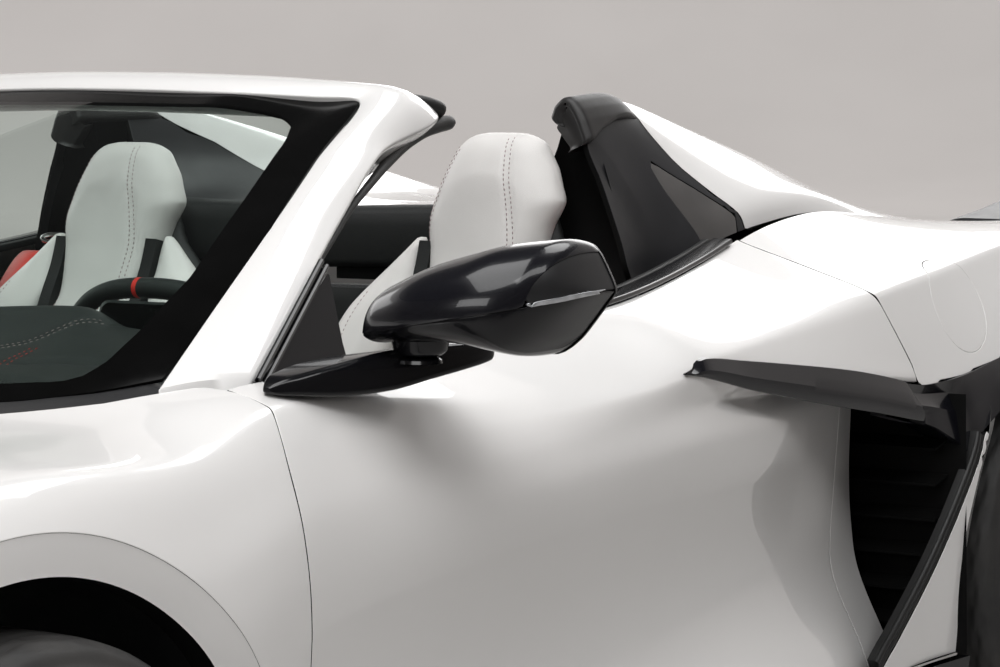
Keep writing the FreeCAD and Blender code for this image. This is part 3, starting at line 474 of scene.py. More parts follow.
# =====================================================================================
# body surfaces: smooth skins through half sections
# =====================================================================================
class Skin:
    """Smooth surface through half sections. rows: y then x, z pairs, all in mm.
    creases: {column: (rounding in mm, [(y in mm, strength 0..1), ...] or one strength)}."""

    def __init__(self, rows, y0, y1, dy=0.010, ds=0.004, sigma_y=0.045, creases=None, sigma_s=0.012, mid=False, thin=2):
        rows = sorted(rows, key=lambda r: r[0])
        ys = np.array([r[0] for r in rows]) / 1000.0
        pts = []
        for r in rows:
            vals = [(r[1 + 2 * i], r[2 + 2 * i]) for i in range((len(r) - 1) // 2)]
            if mid:
                vals.append((0.0, r[-1]))
            pts.append(vals)
        pts = np.array(pts, float) / 1000.0              # rows, columns, 2
        q = np.arange(ys[0], ys[-1] + 1e-6, dy)
        C = makima(ys, pts, q)
        C = gauss(C, sigma_y / dy, 0)
        keep = (q >= y0 - dy * 0.5) & (q <= y1 + dy * 0.5)
        q, C = q[keep], C[keep]
        ncol = C.shape[1]
        creases = creases or {}
        strength = {}
        for c, (rad, st) in creases.items():
            strength[c] = np.full(len(q), float(st)) if np.isscalar(st) else \
                np.interp(q * 1000, [a for a, b in st], [b for a, b in st])
        mean = np.linalg.norm(np.diff(C, axis=1), axis=2).mean(0)
        K = [max(3, int(round(m / ds))) for m in mean]
        total = sum(K) + 1
        start_of = np.concatenate([[0], np.cumsum(K)])
        soft = np.zeros((len(q), total, 2))
        hard = np.zeros((len(q), total, 2))
        breaks = sorted(set([0, ncol - 1] + [c for c in creases]))
        for j in range(len(q)):
            p = C[j]
            s = np.concatenate([[0], np.cumsum(np.maximum(np.linalg.norm(np.diff(p, axis=0), axis=1), 1e-6))])
            qs = np.concatenate([s[i] + (s[i + 1] - s[i]) * np.arange(K[i]) / K[i] for i in range(ncol - 1)] + [[s[-1]]])
            soft[j] = makima(s, p, qs)
            for a, b in zip(breaks, breaks[1:]):
                i0, i1 = start_of[a], start_of[b]
                hard[j, i0:i1 + 1] = makima(s[a:b + 1], p[a:b + 1], qs[i0:i1 + 1])
        cols = np.interp(np.arange(total), start_of, np.arange(ncol))
        H = np.ones((len(q), total))
        if creases:
            cs = sorted(creases)
            for j in range(len(q)):
                H[j] = np.interp(cols, cs, [strength[c][j] for c in cs])
        S = soft * (1 - H[..., None]) + hard * H[..., None]

        def spread(a, mm):
            if mid:
                a = np.concatenate([a, (a[:, ::-1] * np.array([-1, 1]))[:, 1:]], 1)
            return gauss(a, mm, 1)[:, :total]

        wide = spread(S, sigma_s / ds)
        out = wide.copy()
        w = np.zeros(total)
        k = np.arange(total)
        for c, (rad, st) in creases.items():
            tight = spread(S, max(0.35, rad / 1000.0 / ds * 0.6))
            win = np.clip(1.6 - abs(k - start_of[c]) / (1.4 * sigma_s / ds), 0, 1)
            win = win * win * (3 - 2 * win)
            m = (win[None, :] * strength[c][:, None])[..., None]
            out = out * (1 - m) + tight * m
            w = np.maximum(w, win)
        sel = [i for i in range(total) if w[i] > 0.25 or i % thin == 0 or i in (0, total - 1)]
        out = out[:, sel]
        self.y = q
        self.P = np.zeros((len(q), out.shape[1], 3))
        self.P[..., 0] = out[..., 0]
        self.P[..., 2] = out[..., 1]
        self.P[..., 1] = q[:, None]
        self.col = cols[sel]
        self.N = grid_normals(self.P, flip=True)

    @property
    def X(self):
        return self.P[..., 0]

    @property
    def Y(self):
        return self.P[..., 1]

    @property
    def Z(self):
        return self.P[..., 2]

    def x_at(self, y, z):
        """x of the surface at y, z, where the sections rise steadily."""
        y, z = np.broadcast_arrays(np.asarray(y, float), np.asarray(z, float))
        out = np.empty(y.size)
        f = np.clip(np.interp(y.ravel(), self.y, np.arange(len(self.y))), 0, len(self.y) - 1.001)
        for k, (fi, zz) in enumerate(zip(f, z.ravel())):
            i = int(fi)
            a = [np.interp(zz, np.maximum.accumulate(self.P[r, :, 2]), self.P[r, :, 0]) for r in (i, i + 1)]
            out[k] = a[0] + (a[1] - a[0]) * (fi - i)
        return out.reshape(y.shape)


# Half sections from the nose to the back of the door. Columns after y: x and z of
# sill, kick, waist, crease, bow, ledge, blade, crest, rail; then z on the centre line.
FRONT = [
    # y      sill      kick      waist     crease    bow       ledge     blade     crest     rail      mid
    (-2344, 150, 250, 190, 320, 195, 370, 195, 410, 190, 440, 182, 470, 172, 500, 150, 528, 105, 548, 556),
    (-2270, 480, 190, 540, 260, 552, 330, 550, 390, 542, 430, 528, 470, 508, 510, 465, 552, 330, 592, 606),
    (-2150, 740, 145, 780, 230, 788, 320, 786, 400, 776, 450, 762, 500, 738, 545, 685, 588, 500, 638, 650),
    (-1980, 870, 132, 895, 220, 898, 330, 893, 430, 884, 490, 868, 545, 845, 600, 795, 655, 620, 695, 700),
    (-1760, 928, 130, 945, 220, 945, 340, 940, 450, 930, 530, 915, 600, 892, 665, 850, 740, 700, 752, 742),
    (-1334, 955, 130, 965, 230, 970, 370, 970, 500, 965, 590, 955, 670, 932, 745, 875, 825, 740, 828, 775),
    (-980, 948, 130, 958, 235, 945, 380, 940, 520, 940, 600, 930, 680, 910, 745, 880, 812, 760, 840, 835),
    (-850, 945, 130, 952, 240, 915, 430, 927, 595, 930, 650, 925, 715, 905, 785, 872, 853, 808, 868, 880),
    (-300, 940, 130, 948, 245, 888, 448, 922, 625, 933, 684, 925, 735, 907, 775, 876, 806, 790, 866, 900),
    (0, 940, 130, 948, 250, 884, 452, 920, 628, 932, 694, 922, 745, 917, 785, 900, 803, 785, 885, 900),
    (150, 940, 130, 948, 258, 880, 458, 914, 622, 926, 700, 912, 752, 920, 798, 914, 817, 775, 893, 900),
    (350, 943, 130, 946, 270, 872, 464, 902, 616, 912, 706, 890, 742, 936, 776, 912, 831, 745, 908, 920),
    (550, 948, 130, 935, 280, 858, 455, 876, 606, 886, 700, 868, 730, 946, 750, 908, 846, 712, 930, 940),
    (750, 952, 130, 905, 282, 838, 440, 842, 585, 846, 692, 842, 716, 952, 728, 906, 864, 686, 962, 970),
    (880, 955, 130, 880, 280, 820, 430, 812, 580, 815, 690, 812, 708, 957, 712, 905, 875, 682, 972, 980),
]
REAR = [
    # y     sill      kick       waist      flank      blade      crest     rail      mid
    (650, 946, 130, 962, 250, 968, 400, 985, 560, 950, 740, 907, 855, 700, 945, 960),
    (860, 956, 130, 968, 270, 980, 420, 996, 570, 957, 712, 905, 873, 682, 975, 1000),
    (1040, 985, 135, 998, 280, 1004, 430, 1008, 600, 970, 712, 905, 888, 676, 985, 1010),
    (1388, 1000, 150, 1010, 280, 1012, 430, 1012, 590, 1000, 745, 905, 922, 650, 960, 958),
    (1760, 985, 160, 1000, 280, 1005, 430, 1002, 590, 988, 755, 895, 936, 640, 930, 921),
    (2050, 935, 190, 955, 300, 962, 450, 960, 600, 948, 765, 865, 936, 640, 903, 897),
    (2250, 800, 240, 855, 340, 870, 470, 870, 620, 862, 775, 805, 920, 640, 888, 882),
    (2344, 560, 310, 640, 400, 690, 520, 715, 650, 725, 790, 700, 893, 560, 880, 875),
]
YF, YR, ZF, ZR = -1.334, 1.388, 0.336, 0.353


# =====================================================================================
# materials
# =====================================================================================
def node_material(name, color, rough=0.5, metal=0.0, coat=0.0, coat_rough=0.03, spec=0.5, sheen=0.0, alpha=1.0, emission=None):
    m = D.materials.new(name)
    m.use_nodes = True
    nt = m.node_tree
    b = nt.nodes["Principled BSDF"]
    b.inputs["Base Color"].default_value = (*color, 1)
    b.inputs["Roughness"].default_value = rough
    b.inputs["Metallic"].default_value = metal
    b.inputs["Coat Weight"].default_value = coat
    b.inputs["Coat Roughness"].default_value = coat_rough
    b.inputs["Specular IOR Level"].default_value = spec
    b.inputs["Sheen Weight"].default_value = sheen
    b.inputs["Alpha"].default_value = alpha
    if emission:
        b.inputs["Emission Color"].default_value = (*emission[0], 1)
        b.inputs["Emission Strength"].default_value = emission[1]
    return m


def nn(m, kind, **values):
    n = m.node_tree.nodes.new(kind)
    for k, v in values.items():
        if k in n.inputs:
            n.inputs[k].default_value = v
        else:
            setattr(n, k, v)
    return n


def wire(m, a, b):
    m.node_tree.links.new(a, b)


def coords(m, scale=(1, 1, 1)):
    g = nn(m, "ShaderNodeNewGeometry")
    v = nn(m, "ShaderNodeMapping")
    v.inputs["Scale"].default_value = scale
    wire(m, g.outputs["Position"], v.inputs["Vector"])
    return v.outputs["Vector"]


def object_coords(m, scale=(1, 1, 1)):
    g = nn(m, "ShaderNodeTexCoord")
    v = nn(m, "ShaderNodeMapping")
    v.inputs["Scale"].default_value = scale
    wire(m, g.outputs["Object"], v.inputs["Vector"])
    return v.outputs["Vector"]


def noise(m, vec, scale, detail=3.0, rough=0.5, distortion=0.0):
    t = nn(m, "ShaderNodeTexNoise")
    t.inputs["Scale"].default_value = scale
    t.inputs["Detail"].default_value = detail
    t.inputs["Roughness"].default_value = rough
    t.inputs["Distortion"].default_value = distortion
    wire(m, vec, t.inputs["Vector"])
    return t.outputs["Fac"]


def voronoi(m, vec, scale, feature="F1", out="Distance"):
    t = nn(m, "ShaderNodeTexVoronoi", feature=feature)
    t.inputs["Scale"].default_value = scale
    wire(m, vec, t.inputs["Vector"])
    return t.outputs[out]


def ramp(m, fac, stops):
    r = nn(m, "ShaderNodeValToRGB")
    els = r.color_ramp.elements
    while len(els) < len(stops):
        els.new(0.5)
    for e, (p, c) in zip(els, stops):
        e.position = p
        e.color = (*c, 1) if len(c) == 3 else c
    wire(m, fac, r.inputs["Fac"])
    return r.outputs["Color"]


def remap(m, fac, lo, hi, a=0.0, b=1.0):
    r = nn(m, "ShaderNodeMapRange")
    r.inputs["From Min"].default_value = a
    r.inputs["From Max"].default_value = b
    r.inputs["To Min"].default_value = lo
    r.inputs["To Max"].default_value = hi
    wire(m, fac, r.inputs["Value"])
    return r.outputs["Result"]


def bump(m, height, strength, distance, normal=None):
    b = nn(m, "ShaderNodeBump")
    b.inputs["Strength"].default_value = strength
    b.inputs["Distance"].default_value = distance
    wire(m, height, b.inputs["Height"])
    if normal is not None:
        wire(m, normal, b.inputs["Normal"])
    return b.outputs["Normal"]


def bsdf(m):
    return m.node_tree.nodes["Principled BSDF"]


def paint_white():
    m = node_material("paint_white", (0.80, 0.80, 0.795), rough=0.32, coat=1.0, coat_rough=0.02, spec=0.5)
    b = bsdf(m)
    v = coords(m)
    big = noise(m, v, 2.2, 2.0)
    wire(m, ramp(m, big, [(0.3, (0.825, 0.812, 0.800)), (0.7, (0.845, 0.832, 0.820))]), b.inputs["Base Color"])
    peel = noise(m, v, 260.0, 1.0)
    n = bump(m, peel, 0.04, 0.0006)
    wire(m, n, b.inputs["Normal"])
    return m


def black_gloss():
    m = node_material("black_gloss", (0.004, 0.004, 0.005), rough=0.22, coat=0.40, coat_rough=0.02, spec=0.20)
    b = bsdf(m)
    v = coords(m)
    fl = voronoi(m, v, 2600.0, out="Color")
    bw = nn(m, "ShaderNodeRGBToBW")
    wire(m, fl, bw.inputs["Color"])
    wire(m, ramp(m, bw.outputs["Val"], [(0.80, (0.003, 0.003, 0.004)), (1.0, (0.014, 0.014, 0.017))]), b.inputs["Base Color"])
    wire(m, bump(m, noise(m, v, 240.0, 1.0), 0.03, 0.0004), b.inputs["Normal"])
    return m


def metallic_dark():
    """The dark metallic lacquer of the intake blades and mirror caps."""
    m = node_material("metallic_dark", (0.006, 0.006, 0.008), rough=0.25, metal=0.0, coat=0.42, coat_rough=0.015, spec=0.20)
    b = bsdf(m)
    v = coords(m)
    fl = voronoi(m, v, 3200.0, out="Color")
    bw = nn(m, "ShaderNodeRGBToBW")
    wire(m, fl, bw.inputs["Color"])
    wire(m, ramp(m, bw.outputs["Val"], [(0.72, (0.004, 0.004, 0.006)), (1.0, (0.030, 0.030, 0.036))]), b.inputs["Base Color"])
    return m


def toned(m, amount=0.15, scale=8.0, fine=220.0, rough=None, grain=0.15, depth=0.0003):
    """Gives a plain material its change of tone, its uneven gloss and a fine grain."""
    b = bsdf(m)
    c = tuple(b.inputs["Base Color"].default_value)[:3]
    r = b.inputs["Roughness"].default_value
    v = coords(m)
    t = noise(m, v, scale, 4.0)
    wire(m, ramp(m, t, [(0.30, tuple(x * (1 - amount) for x in c)), (0.70, tuple(min(1, x * (1 + amount)) for x in c))]), b.inputs["Base Color"])
    k = rough if rough is not None else min(0.05, r * 0.5)
    wire(m, remap(m, noise(m, v, scale * 6, 3.0), max(0.01, r - k), min(1, r + k)), b.inputs["Roughness"])
    if grain:
        wire(m, bump(m, noise(m, v, fine, 2.0), grain, depth), b.inputs["Normal"])
    return m


def woven(name, color, pitch=0.0016):
    """Belt webbing: a fine twill of raised yarns, with painted shade in the low parts between them."""
    m = node_material(name, color, rough=0.62, sheen=0.25)
    b = bsdf(m)
    g = nn(m, "ShaderNodeNewGeometry")
    sp = nn(m, "ShaderNodeSeparateXYZ")
    wire(m, g.outputs["Position"], sp.inputs[0])
    sines = []
    for out, k in (("X", 1.0), ("Z", 0.6)):
        mul = nn(m, "ShaderNodeMath", operation="MULTIPLY")
        wire(m, sp.outputs[out], mul.inputs[0])
        mul.inputs[1].default_value = 2 * math.pi / pitch * k
        sn = nn(m, "ShaderNodeMath", operation="SINE")
        wire(m, mul.outputs[0], sn.inputs[0])
        sines.append(sn.outputs[0])
    pr = nn(m, "ShaderNodeMath", operation="MULTIPLY")
    wire(m, sines[0], pr.inputs[0])
    wire(m, sines[1], pr.inputs[1])
    h = remap(m, pr.outputs[0], 0.0, 1.0, -1.0, 1.0)
    # painted shade: the low parts between the yarns are darker
    wire(m, ramp(m, h, [(0.1, tuple(x * 0.55 for x in color)), (0.9, color)]), b.inputs["Base Color"])
    wire(m, bump(m, h, 0.6, 0.0006), b.inputs["Normal"])
    return m


def plastic_grain(name, color, rough, grain=900.0, depth=0.0004, strength=0.35):
    m = node_material(name, color, rough=rough)
    b = bsdf(m)
    v = coords(m)
    g = voronoi(m, v, grain)
    big = noise(m, v, 9.0, 3.0)
    c0 = tuple(c * 0.85 for c in color)
    c1 = tuple(min(1, c * 1.2) for c in color)
    wire(m, ramp(m, big, [(0.3, c0), (0.7, c1)]), b.inputs["Base Color"])
    wire(m, remap(m, noise(m, v, 35.0, 2.0), rough - 0.06, rough + 0.06), b.inputs["Roughness"])
    wire(m, bump(m, g, strength, depth), b.inputs["Normal"])
    return m


def leather(name, color, rough=0.42, grain=1300.0, depth=0.0006, crease=0.25):
    """Grained hide: rounded cells with fine pores, soft wrinkles and a slight change of tone."""
    m = node_material(name, color, rough=rough, spec=0.45)
    b = bsdf(m)
    v = coords(m)
    warp = nn(m, "ShaderNodeTexNoise")
    warp.inputs["Scale"].default_value = 90.0
    warp.inputs["Detail"].default_value = 2.0
    wire(m, v, warp.inputs["Vector"])
    mixv = nn(m, "ShaderNodeVectorMath", operation="MULTIPLY_ADD")
    wire(m, warp.outputs["Color"], mixv.inputs[0])
    mixv.inputs[1].default_value = (0.004, 0.004, 0.004)
    wire(m, v, mixv.inputs[2])
    cells = voronoi(m, mixv.outputs[0], grain, feature="SMOOTH_F1")
    wr = noise(m, v, 14.0, 4.0, 0.6, 0.6)
    tone = noise(m, v, 6.0, 3.0)
    c0 = tuple(c * 0.93 for c in color)
    c1 = tuple(min(1, c * 1.04) for c in color)
    wire(m, ramp(m, tone, [(0.3, c0), (0.7, c1)]), b.inputs["Base Color"])
    wire(m, remap(m, cells, rough - 0.05, rough + 0.10, 0.0, 0.6), b.inputs["Roughness"])
    n1 = bump(m, wr, crease, 0.0012)
    n2 = bump(m, cells, 0.5, depth, n1)
    wire(m, n2, b.inputs["Normal"])
    return m


def clear_glass(name, tint, gloss=1.0):
    m = D.materials.new(name)
    m.use_nodes = True
    nt = m.node_tree
    nt.nodes.remove(nt.nodes["Principled BSDF"])
    out = nt.nodes["Material Output"]
    tr = nt.nodes.new("ShaderNodeBsdfTransparent")
    tr.inputs["Color"].default_value = (*tint, 1)
    gl = nt.nodes.new("ShaderNodeBsdfGlossy")
    gl.inputs["Roughness"].default_value = 0.01
    gl.inputs["Color"].default_value = (gloss, gloss, gloss, 1)
    lw = nt.nodes.new("ShaderNodeLayerWeight")
    lw.inputs["Blend"].default_value = 0.5
    pw = nn(m, "ShaderNodeMath", operation="POWER")
    wire(m, lw.outputs["Facing"], pw.inputs[0])
    pw.inputs[1].default_value = 5.0
    fr = remap(m, pw.outputs[0], 0.008, 0.80)
    mix = nt.nodes.new("ShaderNodeMixShader")
    wire(m, fr, mix.inputs[0])
    wire(m, tr.outputs[0], mix.inputs[1])
    wire(m, gl.outputs[0], mix.inputs[2])
    wire(m, mix.outputs[0], out.inputs["Surface"])
    return m


def tyre_rubber():
    m = node_material("tyre_rubber", (0.022, 0.022, 0.022), rough=0.62)
    b = bsdf(m)
    v = coords(m)
    dust = noise(m, v, 8.0, 4.0)
    wire(m, ramp(m, dust, [(0.35, (0.018, 0.018, 0.018)), (0.75, (0.036, 0.034, 0.032))]), b.inputs["Base Color"])
    wire(m, remap(m, noise(m, v, 60.0, 3.0), 0.52, 0.74), b.inputs["Roughness"])
    wire(m, bump(m, noise(m, v, 500.0, 2.0), 0.25, 0.0005), b.inputs["Normal"])
    return m


def metal_mat(name, color, rough, anis_scale=(1, 1, 1), streak=0.25):
    m = node_material(name, color, rough=rough, metal=1.0)
    b = bsdf(m)
    v = coords(m, anis_scale)
    st = noise(m, v, 120.0, 3.0)
    wire(m, remap(m, st, max(0.02, rough - 0.08), rough + 0.10), b.inputs["Roughness"])
    c0 = tuple(c * (1 - streak * 0.4) for c in color)
    wire(m, ramp(m, st, [(0.3, c0), (0.7, color)]), b.inputs["Base Color"])
    return m


def mesh_grille(name):
    """Open-looking hexagonal mesh: satin bars, with the cells painted near-black as the shade seen through open holes.
    """
    m = node_material(name, (0.03, 0.03, 0.032), rough=0.5)
    b = bsdf(m)
    v = coords(m)
    d = voronoi(m, v, 130.0, feature="DISTANCE_TO_EDGE")
    # painted shade: near-black cells stand in for the dark behind open holes
    wire(m, ramp(m, d, [(0.06, (0.05, 0.05, 0.053)), (0.14, (0.002, 0.002, 0.002))]), b.inputs["Base Color"])
    wire(m, bump(m, d, 0.8, 0.003), b.inputs["Normal"])
    return m


def carpet():
    m = node_material("carpet", (0.012, 0.012, 0.013), rough=0.95, sheen=0.3)
    b = bsdf(m)
    v = coords(m)
    f = noise(m, v, 900.0, 2.0, 0.8)
    wire(m, ramp(m, f, [(0.3, (0.006, 0.006, 0.007)), (0.75, (0.03, 0.03, 0.032))]), b.inputs["Base Color"])
    wire(m, bump(m, f, 0.9, 0.003), b.inputs["Normal"])
    return m


M = {
    "paint": paint_white(),
    "gloss": black_gloss(),
    "flash": metallic_dark(),
    "plastic": plastic_grain("black_plastic", (0.009, 0.009, 0.010), 0.50),
    "matt": plastic_grain("matt_cap", (0.016, 0.015, 0.015), 0.46, 1400.0, 0.0002, 0.2),
    "duct": plastic_grain("duct_black", (0.004, 0.004, 0.004), 0.7),
    "rubber": plastic_grain("rubber", (0.006, 0.006, 0.006), 0.5, 700.0, 0.0002),
    "frit": toned(node_material("frit", (0.003, 0.003, 0.003), rough=0.14, spec=0.05), 0.2, 12.0, 900.0, grain=0.05),
    "white_hide": leather("white_hide", (0.74, 0.72, 0.70)),
    # a darker copy of the white hide for the seat cushion: painted shade low in the seat
    "white_hide_shaded": leather("white_hide_shaded", (0.66, 0.63, 0.61)),
    "black_hide": leather("black_hide", (0.010, 0.011, 0.011), 0.48, 1200.0, 0.0007),
    "glass": clear_glass("glass_clear", (0.88, 0.930, 0.910), 0.8),
    "lamp_cover": clear_glass("lamp_cover", (0.92, 0.93, 0.94)),
    "glass_dark": toned(node_material("glass_dark", (0.004, 0.004, 0.005), rough=0.05, coat=0.25, coat_rough=0.01, spec=0.15), 0.2, 5.0, grain=0.0),
    "mirror": toned(node_material("mirror_glass", (0.8, 0.8, 0.8), rough=0.02, metal=1.0), 0.02, 3.0, grain=0.0),
    "chrome": metal_mat("chrome", (0.75, 0.75, 0.75), 0.12),
    "alloy": metal_mat("alloy_dark", (0.055, 0.055, 0.058), 0.30),
    "steel": metal_mat("steel", (0.42, 0.42, 0.43), 0.33, (1, 1, 1)),
    "disc": metal_mat("brake_disc", (0.45, 0.45, 0.45), 0.28, (40, 1, 1)),
    "iron": metal_mat("cast_iron", (0.12, 0.12, 0.12), 0.55),
    "caliper": toned(node_material("caliper_lacquer", (0.50, 0.015, 0.012), rough=0.3, coat=0.6), 0.12, 20.0, 400.0),
    "tyre": tyre_rubber(),
    "mesh": mesh_grille("grille_mesh"),
    "carpet": carpet(),
    "thread": toned(node_material("thread", (0.36, 0.27, 0.27), rough=0.7), 0.2, 150.0, 4000.0, grain=0.5),
    "thread_red": toned(node_material("thread_red", (0.55, 0.05, 0.04), rough=0.7), 0.2, 150.0, 4000.0, grain=0.5),
    "red_mark": toned(node_material("red_mark", (0.72, 0.03, 0.02), rough=0.5), 0.12, 80.0, 1500.0, grain=0.4),
    "belt_red": woven("belt_red", (0.80, 0.045, 0.028)),
    "screen": toned(node_material("screen_black", (0.004, 0.004, 0.005), rough=0.08, coat=1.0), 0.3, 9.0, grain=0.0),
    "lamp_clear": toned(node_material("lamp_clear", (0.50, 0.51, 0.53), rough=0.08, metal=0.6, coat=1.0), 0.2, 90.0, 700.0),
    "lamp_dark": toned(node_material("lamp_housing", (0.015, 0.015, 0.017), rough=0.3), 0.3, 25.0, 900.0),
    "lamp_led": toned(node_material("lamp_led", (0.85, 0.87, 0.9), rough=0.3), 0.1, 120.0, 900.0),
    "lamp_red": toned(node_material("lamp_red", (0.30, 0.004, 0.004), rough=0.08, coat=1.0), 0.35, 160.0, 500.0, grain=0.3),
    "lamp_red_bright": toned(node_material("lamp_red_bright", (0.6, 0.02, 0.015), rough=0.2), 0.2, 160.0, 500.0),
    "pipe_inside": metal_mat("pipe_inside", (0.05, 0.045, 0.04), 0.5),
    "panel_soft": plastic_grain("panel_soft", (0.016, 0.016, 0.018), 0.45, 1500.0, 0.0001, 0.1),
    "insert": plastic_grain("mirror_insert", (0.010, 0.010, 0.011), 0.42, 1800.0, 0.0001, 0.1),
    "pane": toned(node_material("pane_tinted", (0.080, 0.076, 0.074), rough=0.16, coat=0.5, coat_rough=0.03, spec=0.4), 0.2, 5.0, grain=0.0),
}
bsdf(M["duct"]).inputs["Specular IOR Level"].default_value = 0.08

# =====================================================================================
# the outer skins
# =====================================================================================
G = 0.00225                                    # half of a shut gap
LID = [(600, -1003), (655, -1334), (610, -1760), (430, -2110), (0, -2165)]
LID = [(x / 1000, y / 1000) for x, y in LID + [(-x, y) for x, y in reversed(LID[:-1])]]
LID_LINE = round_poly(LID, [0.02, 0.30, 0.30, 0.16, 0.5, 0.16, 0.30, 0.30, 0.02], 8)
LAMP = [(560, -2105), (700, -2105), (835, -1960), (842, -1770), (742, -1770), (652, -1960)]
LAMP_LINE = round_poly([(x / 1000, y / 1000) for x, y in LAMP], 0.03, 5)
DOOR_FRONT = np.array([(-838, 215), (-843, 400), (-848, 553), (-851, 586), (-858, 663), (-860, 715), (-858, 782), (-838, 872), (-820, 905), (-800, 960)]) / 1000.0
DOOR_REAR = np.array([(655, 1040), (668, 1010), (700, 945), (762, 880), (826, 748), (832, 700), (772, 688), (752, 550), (735, 430), (722, 300), (712, 215)]) / 1000.0
LEAD = np.array([(640, 240), (700, 282), (730, 300), (852, 405), (934, 511), (1000, 605), (1020, 660)]) / 1000.0
LEAD_LINE = smooth_line(LEAD, 0.01)
DF = smooth_line(DOOR_FRONT, 0.012)
DOOR_LINE = np.vstack([DF, round_poly(np.vstack([[(0.3, 1.2)], DOOR_REAR, [(0.3, 0.215)]]), [0, 0, 0, 0.02, 0.02, 0.006, 0.006, 0.006, 0.05, 0.05, 0.05, 0, 0], 5)])

CREST = (14, [(-1334, 0.0), (-850, 0.75), (-300, 0.45), (-100, 0.1), (131, 0.3), (346, 1.0), (900, 1.0)])
SHARP = (4, [(-880, 0.0), (-850, 1.0), (550, 1.0), (700, 0.0)])
LEDGE = (5, [(75, 0.0), (168, 1.0)])
skin_f = Skin(FRONT, -1.78, 0.88, dy=0.012, ds=0.005, mid=False,
              creases={1: (18, 0.5), 3: SHARP, 5: LEDGE, 6: LEDGE, 7: CREST})
skin_w = Skin(FRONT, -1.78, -0.80, dy=0.012, ds=0.005, mid=True,
              creases={1: (18, 0.5), 3: SHARP, 5: LEDGE, 6: LEDGE, 7: CREST})
skin_n = Skin(FRONT, -2.344, -0.99, dy=0.014, ds=0.009, mid=True, creases={8: (30, 0.3)}, sigma_s=0.02)
skin_r = Skin(REAR, 0.64, 2.07, dy=0.014, ds=0.006, creases={1: (18, 0.6), 4: (10, 0.5), 5: (12, [(640, 1.0), (1400, 1.0), (2050, 0.7)])})
skin_t = Skin(REAR, 1.99, 2.344, dy=0.012, ds=0.008, mid=True, creases={1: (18, 0.5), 4: (12, 0.6), 5: (14, 0.7)})


def line_side(curve, Y, Z):
    """Y distance in front of an upright side-view curve given from low z to high z."""
    c = curve[np.argsort(curve[:, 1])]
    yc = np.interp(Z, c[:, 1], c[:, 0])
    dy = np.interp(Z + 0.004, c[:, 1], c[:, 0]) - np.interp(Z - 0.004, c[:, 1], c[:, 0])
    return (yc - Y) / np.sqrt(1 + (dy / 0.008) ** 2)


def arch_band(bits, skin, yc, zc, r0, r1, inset, a0, a1, mat=0, seg=90, lip=0.035):
    """The chamfered band round a wheel arch: flush with the skin at r0, set in by inset at r1, with a lip inward."""
    th = np.radians(np.linspace(a0, a1, seg))
    rr = np.concatenate([[r0], np.linspace(r0 - 0.0015, r1 + 0.002, 5), [r1]])
    k = np.concatenate([[0], np.linspace(0.06, 0.97, 5), [1.0]])
    yy = yc + np.outer(np.cos(th), rr)
    zz = zc + np.outer(np.sin(th), rr)
    x = skin.x_at(yy, zz) - inset * k[None, :]
    P = np.stack([x, yy, zz], -1)
    n = grid_normals(P)
    if n[..., 0].mean() < 0:
        n = -n
    bits.add(P.reshape(-1, 3), grid_faces(len(th), len(rr), flip=False), n.reshape(-1, 3), mat)
    inner = np.stack([P[:, -1], P[:, -1] - np.array([lip, 0, 0])], 1)
    nn_ = np.stack([np.zeros(len(th)), -np.cos(th), -np.sin(th)], -1)
    bits.add(inner.reshape(-1, 3), grid_faces(len(th), 2), np.repeat(nn_[:, None], 2, 1).reshape(-1, 3), 99)
    return P


def both(left, name, mats, bodies, replaces=((), ()), slots=None, custom=True):
    """Makes the left piece and its mirror image."""
    names = (name + "_l", name + "_r")
    if isinstance(bodies, str):
        bodies = (bodies, bodies)
    right = left.mirrored()
    a = left.make(names[0], mats, bodies[0], replaces[0], slots, custom)
    b = right.make(names[1], mats, bodies[1], replaces[1], slots, custom)
    return a, b


def arch_sd(Y, Z, yc, zc, r):
    return np.hypot(Y - yc, Z - zc) - r


# ---------------------------------------------------------------- front wings
AF, AR = 0.440, 0.452                          # sharp outer edge of the wheel-arch bands
WING_PLAN = np.array([(0.612, -1.006), (0.700, -0.937), (0.745, -0.884), (0.772, -0.846), (0.800, -0.8445), (1.2, -0.8445), (1.2, -2.0), (0.0, -2.0), (0.0, -1.006)])


def wing_front():
    b = Bits()
    X, Y, Z = skin_w.X, skin_w.Y, skin_w.Z
    sd = np.minimum(sdist(WING_PLAN, X, Y) - 0.001, -sdist(LID_LINE, X, Y) - 2 * G)
    sd = np.minimum(sd, np.maximum(line_side(DF, Y, Z) - 2 * G, (Z - 0.9) * 1.0))
    sd = np.minimum(sd, arch_sd(Y, Z, YF, ZF, AF))
    sd = np.minimum(sd, Y + 1.7575)
    sd = np.minimum(sd, Z - 0.246)
    panel(b, skin_w.P, skin_w.N, sd, flip=True, depth=0.012)
    arch_band(b, skin_w, YF, ZF, AF, 0.394, 0.020, -12.5, 166)
    return b


both(wing_front(), "front_wing", [M["paint"]], "chassis", (("front_wings",), ()), "body_paint")


# ---------------------------------------------------------------- doors
def door_skin():
    b = Bits()
    X, Y, Z = skin_f.X, skin_f.Y, skin_f.Z
    sd = sdist(DOOR_LINE, Y, Z) - G * 0
    sd = np.minimum(sd, (skin_f.col[None, :] - 0.55) * 0.1)
    sd = np.minimum(sd, Z - 0.247)
    panel(b, skin_f.P, skin_f.N, sd, flip=True, depth=0.012)
    return b


both(door_skin(), "door_skin", [M["paint"]], ("door_left", "door_right"), (("door_left",), ("door_right",)), "body_paint")

# ---------------------------------------------------------------- intake blades (dark lacquer)
BT = np.array([(905, 40, 800), (912, 95, 806), (916.5, 130, 818.5), (923.5, 250, 806), (934, 422, 784), (944, 580, 762), (951, 728, 736), (956, 840, 709)]) / 1000.0
BL = np.array([(905, 40, 799), (921, 78, 801), (936, 285, 757), (951, 535, 709), (958, 680, 683), (965, 816, 657), (966, 840, 653)]) / 1000.0


